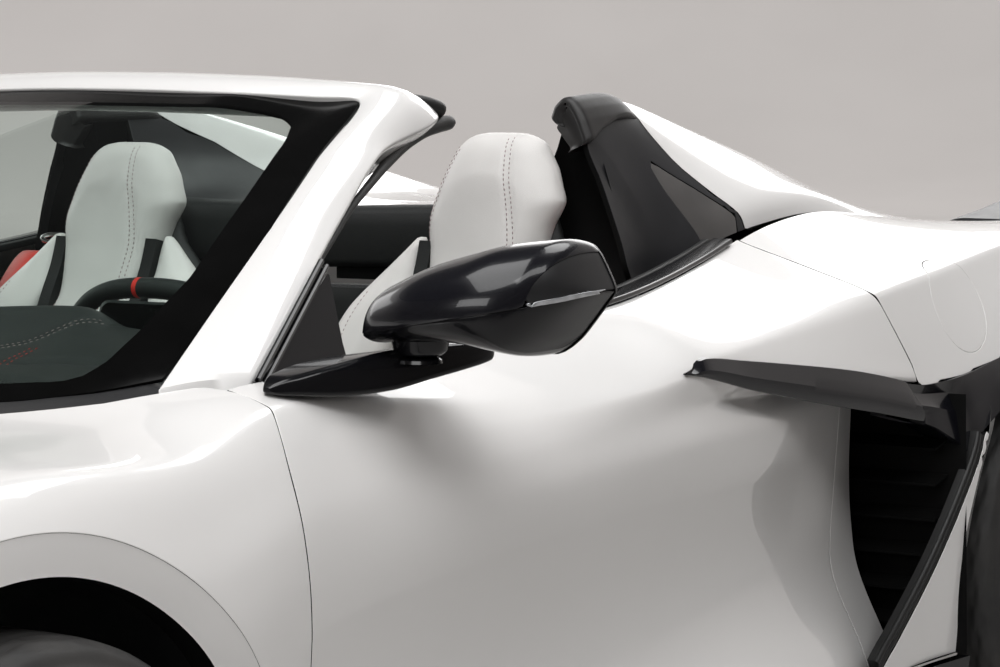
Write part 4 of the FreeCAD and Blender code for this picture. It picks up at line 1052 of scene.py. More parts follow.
def curve_y(c, y):
    """x and z of a curve given as x, y, z rows, read at y."""
    y = np.asarray(y, float)
    f = makima(c[:, 1], c[:, [0, 2]], y)
    return f


def blade_door():
    b = Bits()
    ys = np.concatenate([np.linspace(0.080, 0.125, 8), np.linspace(0.14, 0.8335, 60)])
    T, L = curve_y(BT, ys), curve_y(BL, ys)
    # the nose of the blade closes over its first 40 mm
    k = np.clip((ys - 0.080) / 0.050, 0, 1) ** 0.9
    tipz = 0.801
    T = T.copy()
    T[:, 1] = tipz + (T[:, 1] - tipz) * np.maximum(k, 0.02)
    rows = []
    for y, t, l, kk in zip(ys, T, L, k):
        wdt = max(0.004, 0.070 * min(1.0, (y - 0.078) / 0.30))
        m = t + (l - t) * 0.56
        m[0] += 0.0045 * kk + 0.002
        dn = np.array([t[0] - 0.004, t[1] + 0.001])
        tt = t + np.array([0.0016, 0.0])
        a1 = t + (m - t) * 0.45 + np.array([0.0012, 0])
        a2 = m
        a3 = l + (m - l) * 0.5 + np.array([0.0006, 0])
        l1 = l + np.array([0.0, 0.003])
        l2 = l + np.array([-0.0012, 0.0006])
        l3 = l + np.array([-0.004, 0.0])
        u = np.array([l[0] - wdt, l[1] + min(0.012, wdt * 0.25)])
        u2 = np.array([l[0] - wdt, l[1] + 0.018 * kk + 0.002])
        back = np.array([t[0] - 0.012 * kk - 0.001, t[1] - 0.010 * kk])
        rows.append([dn, tt, a1, a2, a3, l1, l2, l3, u, u2, back])
    R = np.array(rows)
    P = np.stack([R[..., 0], np.repeat(ys[:, None], R.shape[1], 1), R[..., 1]], -1)
    # the seam against the rear part leans back at the top of the blade
    w = np.clip((ys - 0.72) / (0.8335 - 0.72), 0, 1) ** 2
    lean = np.array([-0.055, -0.052, -0.038, -0.012, 0, 0, 0, 0, 0, -0.03, -0.05])
    P[..., 1] += w[:, None] * lean[None, :]
    for col, share in ((0, 1.0), (1, 1.0), (2, 0.6), (3, 0.25), (9, 0.8), (10, 1.0)):
        moved = curve_y(BT, ys + w * lean[col]) - curve_y(BT, ys)
        P[:, col, 0] += moved[:, 0] * share * (w > 0)
        P[:, col, 2] += moved[:, 1] * share * (w > 0)
    nseg = R.shape[1]
    b.add(P.reshape(-1, 3), grid_faces(len(ys), nseg, closed_u=True, flip=True), None, 0)
    n0 = len(ys) * nseg
    b.add(P[-1], [list(range(nseg))], None, 0, smooth=False)
    b.add(P[0], [list(reversed(range(nseg)))], None, 0, smooth=False)
    return b


def smooth_by_angle(ob, deg=30):
    """Sharp edges where two faces meet at more than that angle."""
    me = ob.data
    bm = bmesh.new()
    bm.from_mesh(me)
    bmesh.ops.remove_doubles(bm, verts=bm.verts, dist=1e-6)
    bmesh.ops.recalc_face_normals(bm, faces=bm.faces)
    lim = math.radians(deg)
    for f in bm.faces:
        f.smooth = True
    for e in bm.edges:
        e.smooth = not (len(e.link_faces) == 2 and e.calc_face_angle(0) > lim)
    bm.to_mesh(me)
    bm.free()
    me.update()
    return ob


for ob in both(blade_door(), "intake_blade_door", [M["flash"]], ("door_left", "door_right"), slots="black_gloss", custom=False):
    smooth_by_angle(ob, 20)

# rear part of the blade: on the wing, down to the white flank
RT = np.array([(956, 780, 722), (960, 869, 712), (970, 996, 716), (975, 1143, 733), (980, 1250, 748), (984, 1345, 758)]) / 1000.0
RB_Y = np.array([0.832, 0.870, 0.930, 0.972, 1.000, 1.061, 1.120, 1.230, 1.345])
RB_Z = np.array([0.652, 0.640, 0.612, 0.585, 0.613, 0.640, 0.668, 0.712, 0.752])


def rt_at(y):
    return makima(RT[:, 1], RT[:, [0, 2]], np.asarray(y, float))


def black_poly():
    yt = np.linspace(0.60, 1.345, 60)
    top = [(y, z) for y, z in zip(yt, rt_at(yt)[:, 1])]
    yb = np.linspace(0.972, 1.345, 40)
    bot = [(y, z) for y, z in zip(yb, np.interp(yb, RB_Y, RB_Z))]
    return np.array(top + bot[::-1] + [(0.93, 0.52), (0.60, 0.52)])


BLACK_POLY = black_poly()


def wing_rear(side):
    """White rear wing: the shoulder above the blade and the flank below it."""
    b = Bits()
    X, Y, Z = skin_r.X, skin_r.Y, skin_r.Z
    up = -sdist(DOOR_LINE, Y, Z) - 2 * G
    # no surface in front of the door's rear line above the blade
    front = np.vstack([DOOR_REAR[DOOR_REAR[:, 1] > 0.69][::-1], [(0.668, 1.02), (0.668, 1.3), (2.3, 1.3), (2.3, 0.5), (1.0, 0.5), (0.80, 0.66)]])
    sd_up = np.minimum(sdist(front, Y, Z) - 2 * G, up)
    sd_up = np.minimum(sd_up, -sdist(BLACK_POLY, Y, Z) - 0.0006)
    lead = np.vstack([LEAD_LINE, [(1.02, 0.70), (2.4, 0.70), (2.4, 0.0), (0.640, 0.0)]])
    sd_low = np.minimum(sdist(lead, Y, Z), -sdist(BLACK_POLY, Y, Z) - 0.0006)
    behind = np.where(Y > 1.345, 1.0, -1.0)
    upper = np.where(Z > np.interp(Y, RT[:, 1], RT[:, 2]) - 0.002, 1, -1)
    sd = np.where(behind > 0, 0.2, np.where(upper > 0, sd_up, sd_low))
    sd = np.minimum(sd, X - 0.6665)
    sd = np.minimum(sd, arch_sd(Y, Z, YR, ZR, AR))
    sd = np.minimum(sd, 2.0545 - Y)
    sd = np.minimum(sd, Z - 0.246)
    if side > 0:
        sd = np.minimum(sd, fuel_sd(X, Y, Z))
    panel(b, skin_r.P, skin_r.N, sd, flip=True, depth=0.012)
    arch_band(b, skin_r, YR, ZR, AR, 0.400, 0.022, -13.5, 193.5)
    # the painted wall that goes on from the door into the intake
    X, Y, Z = skin_f.X, skin_f.Y, skin_f.Z
    inner = smooth_line([(0.870, 0.700), (0.868, 0.600), (0.868, 0.520), (0.872, 0.455), (0.877, 0.395), (0.878, 0.35), (0.876, 0.30), (0.870, 0.245)], 0.012)
    sdw = np.minimum(-sdist(DOOR_LINE, Y, Z) - 2 * G, line_side(inner, Y, Z))
    sdw = np.minimum(sdw, Y - 0.700)
    sdw = np.minimum(sdw, 0.698 - Z)
    sdw = np.minimum(sdw, Z - 0.247)
    sdw = np.minimum(sdw, (skin_f.col[None, :] - 0.55) * 0.1)
    sdw = np.minimum(sdw, -line_side(np.array([(0.66, 0.20), (0.70, 0.29), (0.72, 0.4), (0.74, 0.5), (0.75, 0.698)]), Y, Z))
    panel(b, skin_f.P, skin_f.N, sdw, flip=True, depth=0.012)
    return b


FUEL_C = np.array([0.9140, 1.020, 0.8150])


def fuel_sd(X, Y, Z):
    ax = np.array([0.93, 0.0, 0.36]) / math.hypot(0.93, 0.36)
    d = np.stack([X - 0.905, Y - 1.062, Z - 0.822], -1)
    along = d @ ax
    r = np.linalg.norm(d - along[..., None] * ax, axis=-1)
    return r - 0.0895


def fuel_flap():
    b = Bits()
    X, Y, Z = skin_r.X, skin_r.Y, skin_r.Z
    sd = np.minimum(-fuel_sd(X, Y, Z) - 0.0026, X - 0.8)
    panel(b, skin_r.P, skin_r.N, sd, flip=True, depth=0.008)
    return b


wl = wing_rear(1)
wr = wing_rear(-1).mirrored()
wl.make("rear_wing_l", [M["paint"]], "chassis", ("rear_wings",), "body_paint")
wr.make("rear_wing_r", [M["paint"]], "chassis", (), "body_paint")
fuel_flap().make("fuel_flap", [M["paint"]], "fuel_door", ("fuel_door",), "body_paint")


def blade_rear():
    b = Bits()
    ys = np.concatenate([np.linspace(0.8375, 0.972, 16), np.linspace(0.985, 1.343, 30)])
    T = rt_at(ys)
    B = np.interp(ys, RB_Y, RB_Z)
    rows = []
    for y, t, bz in zip(ys, T, B):
        # the face of the wing there, from the rear table
        zz = np.array([t[1] - (t[1] - bz) * s for s in (0, 0.04, 0.2, 0.42, 0.5, 0.58, 0.8, 0.96, 1.0)])
        flank = float(np.interp(y, [0.84, 0.97, 1.1, 1.343], [0.966, 0.992, 1.004, 1.0]))
        top = t[0]
        s = (t[1] - zz) / max(t[1] - bz, 1e-4)
        xx = top + (flank - top) * s ** 0.8
        hollow = 0.010 * math.exp(-((y - 0.90) / 0.10) ** 2)
        xx -= hollow * np.sin(np.pi * np.clip(s / 0.5, 0, 1)) * (s < 0.5)
        row = [(t[0] - 0.010, t[1] + 0.0005)] + [(x, z) for x, z in zip(xx, zz)]
        inward = 0.070 if y < 0.98 else 0.020
        row += [(xx[-1] - 0.003, bz - 0.002), (xx[-1] - inward * 0.5, bz + 0.002), (xx[-1] - inward, bz + 0.008), (xx[-1] - inward, bz + 0.02)]
        rows.append(row)
    R = np.array(rows)
    P = np.stack([R[..., 0], np.repeat(ys[:, None], R.shape[1], 1), R[..., 1]], -1)
    w = np.clip(1 - (ys - 0.8375) / 0.09, 0, 1)
    lean = np.zeros(R.shape[1])
    lean[:7] = [-0.055, -0.054, -0.052, -0.040, -0.022, -0.012, -0.002]
    P[..., 1] += w[:, None] * lean[None, :]
    for col, share in ((0, 1.0), (1, 1.0), (2, 0.9), (3, 0.7), (4, 0.4)):
        moved = rt_at(ys + w * lean[col]) - rt_at(ys)
        P[:, col, 0] += moved[:, 0] * share * (w > 0)
        P[:, col, 2] += moved[:, 1] * share * (w > 0)
    b.add(P.reshape(-1, 3), grid_faces(len(ys), R.shape[1], flip=True), None, 0)
    front = np.stack([P[0], P[0] + np.array([-0.03, 0.004, 0.0])], 0)
    b.add(front.reshape(-1, 3), grid_faces(2, R.shape[1], flip=False), None, 0)
    return b


for ob in both(blade_rear(), "intake_blade_rear", [M["flash"]], "chassis", slots="black_gloss", custom=False):
    smooth_by_angle(ob, 22)


# ---------------------------------------------------------------- intake: black inside, mesh at the back, rubber strip at the leading edge
def duct():
    b = Bits()
    # inner wall, seen through the opening
    zs = np.linspace(0.250, 0.690, 12)
    ys = np.linspace(0.0, 1.0, 10)
    inner = smooth_line([(0.870, 0.700), (0.868, 0.600), (0.868, 0.520), (0.872, 0.455), (0.877, 0.395), (0.878, 0.35), (0.876, 0.30), (0.870, 0.245)], 0.012)
    inner = inner[np.argsort(inner[:, 1])]
    rows = []
    for z in zs:
        y0 = float(np.interp(z, inner[:, 1], inner[:, 0])) - 0.004
        x0 = float(skin_f.x_at(min(y0, 0.875), z)) - 0.004
        row = []
        for t in ys:
            row.append((x0 + (0.775 - x0) * (1 - (1 - t) ** 2), y0 + (0.942 - y0) * t, z))
        rows.append(row)
    P = np.array(rows)
    b.add(P.reshape(-1, 3), grid_faces(len(zs), len(ys)), None, 0)
    # floor, roof and the far side behind the leading edge
    b.add([(0.775, 0.72, 0.252), (0.955, 0.70, 0.252), (0.985, 0.945, 0.252), (0.775, 0.945, 0.252)], [[0, 1, 2, 3]], None, 0, False)
    b.add([(0.775, 0.74, 0.690), (0.935, 0.74, 0.690), (0.960, 0.945, 0.690), (0.775, 0.945, 0.690)], [[3, 2, 1, 0]], None, 0, False)
    ll = LEAD_LINE[(LEAD_LINE[:, 1] > 0.25)]
    rows = []
    for y, z in ll:
        x = float(skin_r.x_at(y, min(z, 0.69))) - 0.015
        rows.append([(x, y - 0.002, z), (x - 0.006, max(y, 0.93) + 0.02, z)])
    P = np.array(rows)
    b.add(P.reshape(-1, 3), grid_faces(len(ll), 2), None, 0)
    # mesh at the back: a plain near-black sheet, the mesh's own black and painted shade in place of its open holes
    b.add([(0.770, 0.940, 0.25), (1.0, 0.940, 0.25), (0.995, 0.940, 0.69), (0.770, 0.940, 0.69)], [[0, 1, 2, 3]], None, 1, False)
    for z in np.linspace(0.30, 0.66, 7):
        q = [(0.778, 0.905, z), (0.955, 0.905, z), (0.965, 0.937, z + 0.014), (0.778, 0.937, z + 0.014)]
        q2 = [(x, y, zz - 0.004) for x, y, zz in q]
        b.add(q + q2, [[0, 1, 2, 3], [7, 6, 5, 4], [0, 4, 5, 1], [1, 5, 6, 2]], None, 0, False)
    return b


both(duct(), "intake_duct", [M["duct"], M["duct"]], "chassis", (("intake_ducts",), ()), "black_plastic", custom=False)


def sweep(path, prof, up=(0, 0, 1), closed=False, frame_dirs=None):
    """A closed profile (u, v) carried along a path. Returns vertices and faces, ends capped if open."""
    path = np.asarray(path, float)
    k = len(path)
    if closed:
        t = unit(np.roll(path, -1, 0) - np.roll(path, 1, 0))
    else:
        t = unit(np.gradient(path, axis=0))
    if frame_dirs is None:
        u = unit(np.cross(t, np.broadcast_to(np.asarray(up, float), t.shape)))
    else:
        u = np.asarray(frame_dirs, float)
        u = unit(u - (u * t).sum(1, keepdims=True) * t)
    v = unit(np.cross(u, t))
    prof = np.asarray(prof, float)
    P = path[:, None] + u[:, None] * prof[None, :, 0:1] + v[:, None] * prof[None, :, 1:2]
    m = len(prof)
    F = [list(f) for f in grid_faces(k, m, closed_u=True, closed_v=closed)]
    if not closed:
        F.append(list(range(m)))
        F.append([(k - 1) * m + i for i in reversed(range(m))])
    return P.reshape(-1, 3), F


def lead_strip():
    b = Bits()
    ll = LEAD_LINE[(LEAD_LINE[:, 1] > 0.262) & (LEAD_LINE[:, 1] < 0.615)]
    x = np.array([float(skin_r.x_at(y, z)) for y, z in ll])
    base = np.stack([x, ll[:, 0], ll[:, 1]], -1)
    t = unit(np.gradient(base, axis=0))
    n = np.array([1.0, 0, 0])
    side = unit(np.cross(t, n))            # forward and down, away from the flank
    side = np.where((side[:, 1:2] > 0), -side, side)
    for off, r in ((0.007, 0.0055), (0.0205, 0.0060)):
        path = base + side * off + np.array([-0.006, 0, 0])
        prof = [(r * math.cos(a), r * math.sin(a)) for a in np.linspace(0, 2 * math.pi, 13)[:-1]]
        V, F = sweep(path, prof, frame_dirs=side)
        b.add(V, F, None, 0)
    path = base + side * 0.014 + np.array([-0.013, 0, 0])
    prof = [(-0.013, -0.006), (0.013, -0.006), (0.013, 0.006), (-0.013, 0.006)]
    V, F = sweep(path, prof, frame_dirs=side)
    b.add(V, F, None, 0, False)
    return b


for ob in both(lead_strip(), "intake_edge_strip", [M["rubber"]], "chassis", slots="black_plastic", custom=False):
    smooth_by_angle(ob, 40)


# ---------------------------------------------------------------- front lid, nose, tail
def lid_front():
    b = Bits()
    X, Y, Z = skin_n.X, skin_n.Y, skin_n.Z
    sd = sdist(LID_LINE, X, Y)
    sd = np.minimum(sd, -1.0035 - Y)
    # keep the middle column open on purpose: the mirror half closes it
    V, NN, F = clip_grid(skin_n.P, skin_n.N, np.where(skin_n.X < 1e-6, sd, sd), True)
    half_b = Bits().add(V, F, NN, 0)
    full = half_b.join(half_b.mirrored())
    return full


def weld_and_hem(bits, name, mats, body, replaces, slot, depth=0.012, r=0.0013):
    """Joins two halves along the middle, then gives the outline its rounded edge."""
    V = np.vstack(bits.v)
    N = np.vstack(bits.n)
    key = {}
    new = np.zeros(len(V), int)
    VV, NV = [], []
    for i, p in enumerate(V):
        k = tuple(np.round(p * 1e5).astype(int)) if abs(p[0]) < 2e-5 else None
        if k is not None and k in key:
            new[i] = key[k]
            NV[key[k]] = NV[key[k]] + N[i]
            continue
        new[i] = len(VV)
        if k is not None:
            key[k] = len(VV)
        VV.append(p)
        NV.append(N[i])
    F = [[int(new[j]) for j in f] for f in bits.f]
    F = [f for f in F if len(set(f)) == len(f)]
    V2, N2, F2 = hem(np.array(VV), unit(np.array(NV)), F, r, depth)
    out = Bits().add(V2, F2, N2, gap_shade_mats(F2, 0))
    # plain inner face
    inner = np.array(VV) - unit(np.array(NV)) * depth * 0.9
    out.add(inner, [f[::-1] for f in F], -unit(np.array(NV)), 0)
    return out.make(name, mats, body, replaces, slot)


weld_and_hem(lid_front(), "front_lid_skin", [M["paint"]], "front_lid", ("front_lid",), "body_paint")


def nose():
    b = Bits()
    X, Y, Z = skin_n.X, skin_n.Y, skin_n.Z
    sd = -1.7645 - Y
    sd = np.minimum(sd, -sdist(LID_LINE, X, Y) - 2 * G)
    sd = np.minimum(sd, -sdist(LAMP_LINE, X, Y) - 0.002 + np.where(Z < 0.45, 1.0, 0.0))
    sd = np.minimum(sd, arch_sd(Y, Z, YF, ZF, 0.400))
    sd = np.minimum(sd, Z - 0.130)
    # openings: one on each side and one in the middle
    side = round_poly([(-2.245, 0.225), (-1.965, 0.205), (-1.985, 0.395), (-2.205, 0.395)], 0.02)
    sd = np.minimum(sd, np.where(X > 0.45, -sdist(side, Y, Z), 1.0))
    mid = round_poly([(-0.01, 0.235), (0.33, 0.235), (0.40, 0.300), (0.36, 0.355), (-0.01, 0.368)], 0.02)
    sd = np.minimum(sd, np.where(Y < -2.2, -sdist(mid, X, Z), 1.0))
    V, NN, F = clip_grid(skin_n.P, skin_n.N, sd, True)
    h = Bits().add(V, F, NN, 0)
    return h.join(h.mirrored())


weld_and_hem(nose(), "nose_skin", [M["paint"]], "chassis", ("front_bumper",), "body_paint", depth=0.016)


def tail():
    X, Y, Z = skin_t.X, skin_t.Y, skin_t.Z
    sd = Y - np.where(X > 0.6665, 2.0585, 1.9965)
    sd = np.minimum(sd, Z - 0.20)
    pipe = round_poly([(0.398, 0.20), (0.622, 0.20), (0.622, 0.362), (0.398, 0.362)], 0.03)
    sd = np.minimum(sd, np.where(Y > 2.0, -sdist(pipe, X, Z), 1.0))
    lamp = round_poly([(0.381, 0.706), (0.639, 0.706), (0.639, 0.799), (0.381, 0.799)], 0.012)
    sd = np.minimum(sd, np.where(Y > 2.2, -sdist(lamp, X, Z), 1.0))
    sd = np.minimum(sd, np.where((X < 0.39) & (Y > 2.05), Z - 0.336, 1.0))
    V, NN, F = clip_grid(skin_t.P, skin_t.N, sd, True)
    h = Bits().add(V, F, NN, 0)
    return h.join(h.mirrored())


weld_and_hem(tail(), "tail_skin", [M["paint"]], "chassis", ("rear_bumper",), "body_paint", depth=0.014)


# ---------------------------------------------------------------- rear lid: deck and two nacelles
LIDV = [
    # y     edge       foot       shoulder   out         top         in          inner wall  valley      mid
    (440, 628, 900, 612, 956, 566, 1080, 541, 1150, 522, 1184, 500, 1172, 476, 1078, 420, 1010, 1000),
    (640, 628, 932, 614, 985, 574, 1085, 538, 1156, 510, 1186, 462, 1178, 424, 1088, 330, 1012, 1002),
    (668, 662, 950, 642, 992, 585, 1082, 538, 1150, 507, 1182, 455, 1174, 416, 1085, 320, 1013, 1002),
    (860, 662, 975, 655, 1010, 594, 1070, 532, 1118, 497, 1142, 420, 1134, 380, 1066, 290, 1010, 1000),
    (1040, 662, 985, 648, 1018, 592, 1048, 524, 1088, 490, 1101, 405, 1094, 360, 1048, 280, 1006, 995),
    (1388, 662, 957, 640, 964, 572, 985, 500, 1011, 468, 1020, 390, 1014, 340, 992, 260, 974, 968),
    (1760, 662, 928, 620, 929, 545, 932, 480, 936, 450, 938, 370, 936, 320, 931, 245, 924, 921),
    (1990, 662, 909, 620, 908, 545, 906, 480, 905, 450, 905, 370, 905, 320, 904, 245, 903, 902),
]
skin_l = Skin(LIDV, 0.44, 1.988, dy=0.015, ds=0.008, mid=True, sigma_s=0.014, sigma_y=0.05,
              creases={1: (16, 0.4), 4: (26, 0.35), 7: (30, 0.2)})
# front edge of the white paint on the nacelle's outer side, y and z
WHITE_EDGE = np.array([(0.612, 1.25), (0.622, 1.190), (0.644, 1.155), (0.650, 1.136), (0.686, 1.080), (0.738, 1.026), (0.770, 1.000), (0.782, 0.985), (0.786, 0.970), (0.780, 0.950), (0.760, 0.930), (0.690, 0.905)])
GLASS_TRI = [(0.610, 1.120), (0.616, 1.088), (0.694, 1.040), (0.764, 0.990), (0.758, 0.962), (0.722, 0.940), (0.676, 0.925), (0.658, 0.973), (0.626, 1.039), (0.613, 1.082)]
CAP_ARC = np.array([(0.30, 1.085), (0.400, 1.100), (0.440, 1.113), (0.496, 1.136), (0.556, 1.152), (0.608, 1.156), (0.650, 1.154), (0.70, 1.150)])


def inner_edge(c, Z):
    """Front edge of the white paint on the nacelle's inner side: dark in front of a line that leans back."""
    lean = np.clip(0.757 + (1.102 - Z) * 1.49, 0.66, 0.93)
    wall = 0.622 + (lean - 0.622) * smoothstep(5.0, 5.7, c)
    return wall + (0.560 - wall) * smoothstep(7.0, 7.5, c)


def lid_rear():
    S = skin_l
    X, Y, Z = S.X, S.Y, S.Z
    c = S.col[None, :] + 0 * Y
    we = WHITE_EDGE[np.argsort(WHITE_EDGE[:, 1])]
    yb = np.interp(Z, we[:, 1], we[:, 0])
    white = np.where(c < 4.0, Y - yb, Y - 0.622)
    white = np.where(c > 4.9, Y - inner_edge(c, Z), white)
    # the step of the edge at the front of the wing
    white = np.minimum(white, np.where((Y < 0.672) & (c < 1.3), 0.628 - X, 1.0) * 1.0)
    white = np.minimum(white, 0.6622 - X)
    # vents over the engine
    vent = round_poly([(-0.01, 1.20), (0.205, 1.20), (0.215, 1.72), (0.17, 1.80), (-0.01, 1.80)], 0.03)
    white = np.minimum(white, -sdist(vent, X, Y))
    V, NN, F = clip_grid(S.P, S.N, white, True)
    h = Bits().add(V, F, NN, 0)
    return h.join(h.mirrored())


weld_and_hem(lid_rear(), "rear_lid_skin", [M["paint"]], "rear_lid", ("rear_lid",), "body_paint", depth=0.014)


def shifted(S, by):
    return S.P - S.N * (-by)


def quarter():
    """Black side panel and the fixed pane in it, in front of the white paint."""
    b = Bits()
    S = skin_l
    X, Y, Z = S.X, S.Y, S.Z
    c = S.col[None, :] + 0 * Y
    we = WHITE_EDGE[np.argsort(WHITE_EDGE[:, 1])]
    yb = np.interp(Z, we[:, 1], we[:, 0])
    reg = np.minimum(yb - Y - 0.0018, (4.4 - c) * 0.02)
    front = np.interp(Z, [0.90, 0.956, 1.004, 1.05, 1.10, 1.16], [0.462, 0.462, 0.458, 0.456, 0.452, 0.450])
    reg = np.minimum(reg, Y - front)
    reg = np.minimum(reg, Z - (0.900 + 0.10 * (Y - 0.45)))
    tri = sdist(round_poly(GLASS_TRI, 0.004, 3), Y, Z)
    tri = np.where(X > 0.4, tri, -1)
    P = S.P - S.N * 0.0012
    # the panel is crowned between its front edge and the pane, with a soft fold along its middle
    fold = np.interp(Z, [0.90, 0.931, 0.972, 1.016, 1.062, 1.092, 1.13], [0.560, 0.570, 0.560, 0.534, 0.500, 0.476, 0.45])
    P = P + S.N * (0.006 * np.exp(-((Y - fold - 0.045) / 0.05) ** 2) - 0.006 * np.exp(-((Y - fold + 0.010) / 0.022) ** 2))[..., None] * (c < 4)[..., None]
    panel(b, P, S.N, np.minimum(reg, -tri - 0.0022), flip=True, depth=0.008, r=0.0012, back=0, mat=0)
    # the pane: flat in tone, proud by a hair, with a black edge line round it
    panel(b, S.P - S.N * 0.0022, S.N, np.minimum(tri - 0.0004, reg), flip=True, depth=0.004, r=0.0008, back=0, mat=1)
    # the dark inner side of the nacelle
    ins = np.minimum(inner_edge(c, Z) - Y - 0.0018, np.minimum((c - 5.05) * 0.02, (7.5 - c) * 0.02))
    ins = np.minimum(ins, Y - 0.556)
    panel(b, S.P - S.N * 0.0012, S.N, ins, flip=True, depth=0.006, r=0.0012, back=0, mat=0)
    return b


both(quarter(), "quarter_panel", [M["panel_soft"], M["pane"]], "rear_lid", slots="black_plastic")


def nacelle_cap():
    """Matt hood over the front of the nacelle: a skin proud of the body that turns down and in at its front edge."""
    S = skin_l
    q = np.linspace(0.452, 0.634, 24)
    rows_n = np.interp(q, S.y, np.arange(len(S.y)))
    cols = np.arange(S.P.shape[1])
    keep = (S.col > 1.6) & (S.col < 5.9)
    cols = cols[keep][::2]
    out = []
    for r in rows_n:
        i = int(min(r, len(S.y) - 2))
        f = r - i
        out.append(S.P[i, cols] * (1 - f) + S.P[i + 1, cols] * f)
    base = np.array(out)
    nrm = grid_normals(base, flip=True)
    k = 80
    G_ = np.zeros((len(q), k, 3))
    NN_ = np.zeros_like(G_)
    for j, y in enumerate(q):
        lo = np.interp(y, CAP_ARC[:, 0], CAP_ARC[:, 1])
        line = base[j]
        # the outer end follows the arc, the inner end stops under the crest
        zz = line[:, 2]
        top = int(np.argmax(zz))
        s = np.concatenate([[0], np.cumsum(np.linalg.norm(np.diff(line, axis=0), axis=1))])
        s_out = np.interp(lo, zz[:top + 1], s[:top + 1])
        zi = zz[top:][::-1]
        s_in = np.interp(1.150 + 0.02 * (y - 0.45), zi, s[top:][::-1])
        qs = np.linspace(s_out, s_in, k)
        G_[j] = np.stack([np.interp(qs, s, line[:, a]) for a in range(3)], -1)
        NN_[j] = unit(np.stack([np.interp(qs, s, nrm[j, :, a]) for a in range(3)], -1))
    # proud of the skin, thinning to the rear edge
    lift = 0.010 * (1 - np.clip((q - 0.575) / 0.06, 0, 1) ** 2)
    edge = np.minimum(np.linspace(0, 1, k), np.linspace(1, 0, k))
    roundoff = np.clip(edge / 0.05, 0, 1) ** 0.5
    G_ = G_ + NN_ * (lift[:, None, None] * roundoff[None, :, None])
    G_ = gauss(G_, 1.2, 1)
    b = Bits()
    # front flange: rolls down and back under the hood, deeper at the outer low tip
    t = np.linspace(0, 1, k)
    depth = 0.030 + 0.014 * np.sin(np.pi * np.clip(t / 0.9, 0, 1))
    f0 = G_[0]
    nf = NN_[0]
    fwd = np.array([0, -1.0, 0])
    rows = []
    for a in np.linspace(0, 80, 6)[1:]:
        a = math.radians(a)
        rows.append(f0 + fwd * 0.012 * math.sin(a) - nf * 0.012 * (1 - math.cos(a)))
    last = rows[-1]
    inner1 = last - nf * (depth * 0.55)[:, None] + np.array([0, 0.004, 0])
    inner2 = last - nf * depth[:, None] + np.array([0, 0.016, 0])
    inner3 = last - nf * (depth * 0.9)[:, None] + np.array([0, 0.045, 0])
    G_all = np.concatenate([np.array([inner3, inner2, inner1] + rows[::-1]), G_], 0)
    # hem along the two long sides and at the back
    down = NN_.copy()
    dn_all = np.concatenate([np.repeat(nf[None], 8, 0), NN_], 0)
    under = G_all - dn_all * 0.006
    b.add(G_all.reshape(-1, 3), grid_faces(G_all.shape[0], k, flip=True), None, 0)
    left = np.stack([G_all[:, 0], under[:, 0]], 1)
    right = np.stack([G_all[:, -1], under[:, -1]], 1)
    b.add(left.reshape(-1, 3), grid_faces(len(left), 2, flip=False), None, 0)
    b.add(right.reshape(-1, 3), grid_faces(len(right), 2, flip=True), None, 0)
    back = np.stack([G_all[-1], G_all[-1] - NN_[-1] * 0.008], 0)
    b.add(back.reshape(-1, 3), grid_faces(2, k, flip=True), None, 0)
    b.add(under[:, ::2].reshape(-1, 3), grid_faces(under.shape[0], len(range(0, k, 2)), flip=False), None, 0)
    return b


for ob in both(nacelle_cap(), "nacelle_cap", [M["matt"]], "rear_lid", slots="black_plastic", custom=False):
    smooth_by_angle(ob, 50)


def nacelle_front():
    """Dark front wall of the nacelle under the hood, and the bulkhead band between the two."""
    b = Bits()
    S = skin_l
    i = int(np.argmin(abs(S.y - 0.478)))
    sel = (S.col > 0.2)
    line = S.P[i][sel][::3]
    top = line.copy()
    zc = 0.885
    n = 9
    rows = []
    for t in np.linspace(0, 1, n):
        q = top.copy()
        q[:, 2] = top[:, 2] * (1 - t) + zc * t - 0.008 * (1 - t)
        q[:, 1] = 0.482 + 0.022 * math.sin(math.pi * t) * (abs(top[:, 0]) > 0.35)
        rows.append(q)
    P = np.array(rows)
    b.add(P.reshape(-1, 3), grid_faces(n, len(line), flip=False), None, 0)
    # padded bulkhead band under the deck's front edge
    xs = np.linspace(0.0, 0.455, 24)
    zt = np.interp(xs, [0, 0.33, 0.42, 0.455], [1.003, 1.012, 1.02, 1.03])
    rows = []
    for y, dz in ((0.560, 0.002), (0.500, 0.004), (0.478, 0.0), (0.468, -0.010), (0.464, -0.030), (0.466, -0.085), (0.474, -0.098), (0.486, -0.100)):
        rows.append(np.stack([xs, np.full_like(xs, y), zt + dz], -1))
    P = np.array(rows)
    b.add(P.reshape(-1, 3), grid_faces(len(rows), len(xs), flip=True), None, 1)
    return b


h = nacelle_front()
full = Bits().join(h).join(h.mirrored())
ob = full.make("nacelle_front", [M["duct"], M["black_hide"]], "rear_lid", (), "black_plastic", custom=False)
smooth_by_angle(ob, 50)


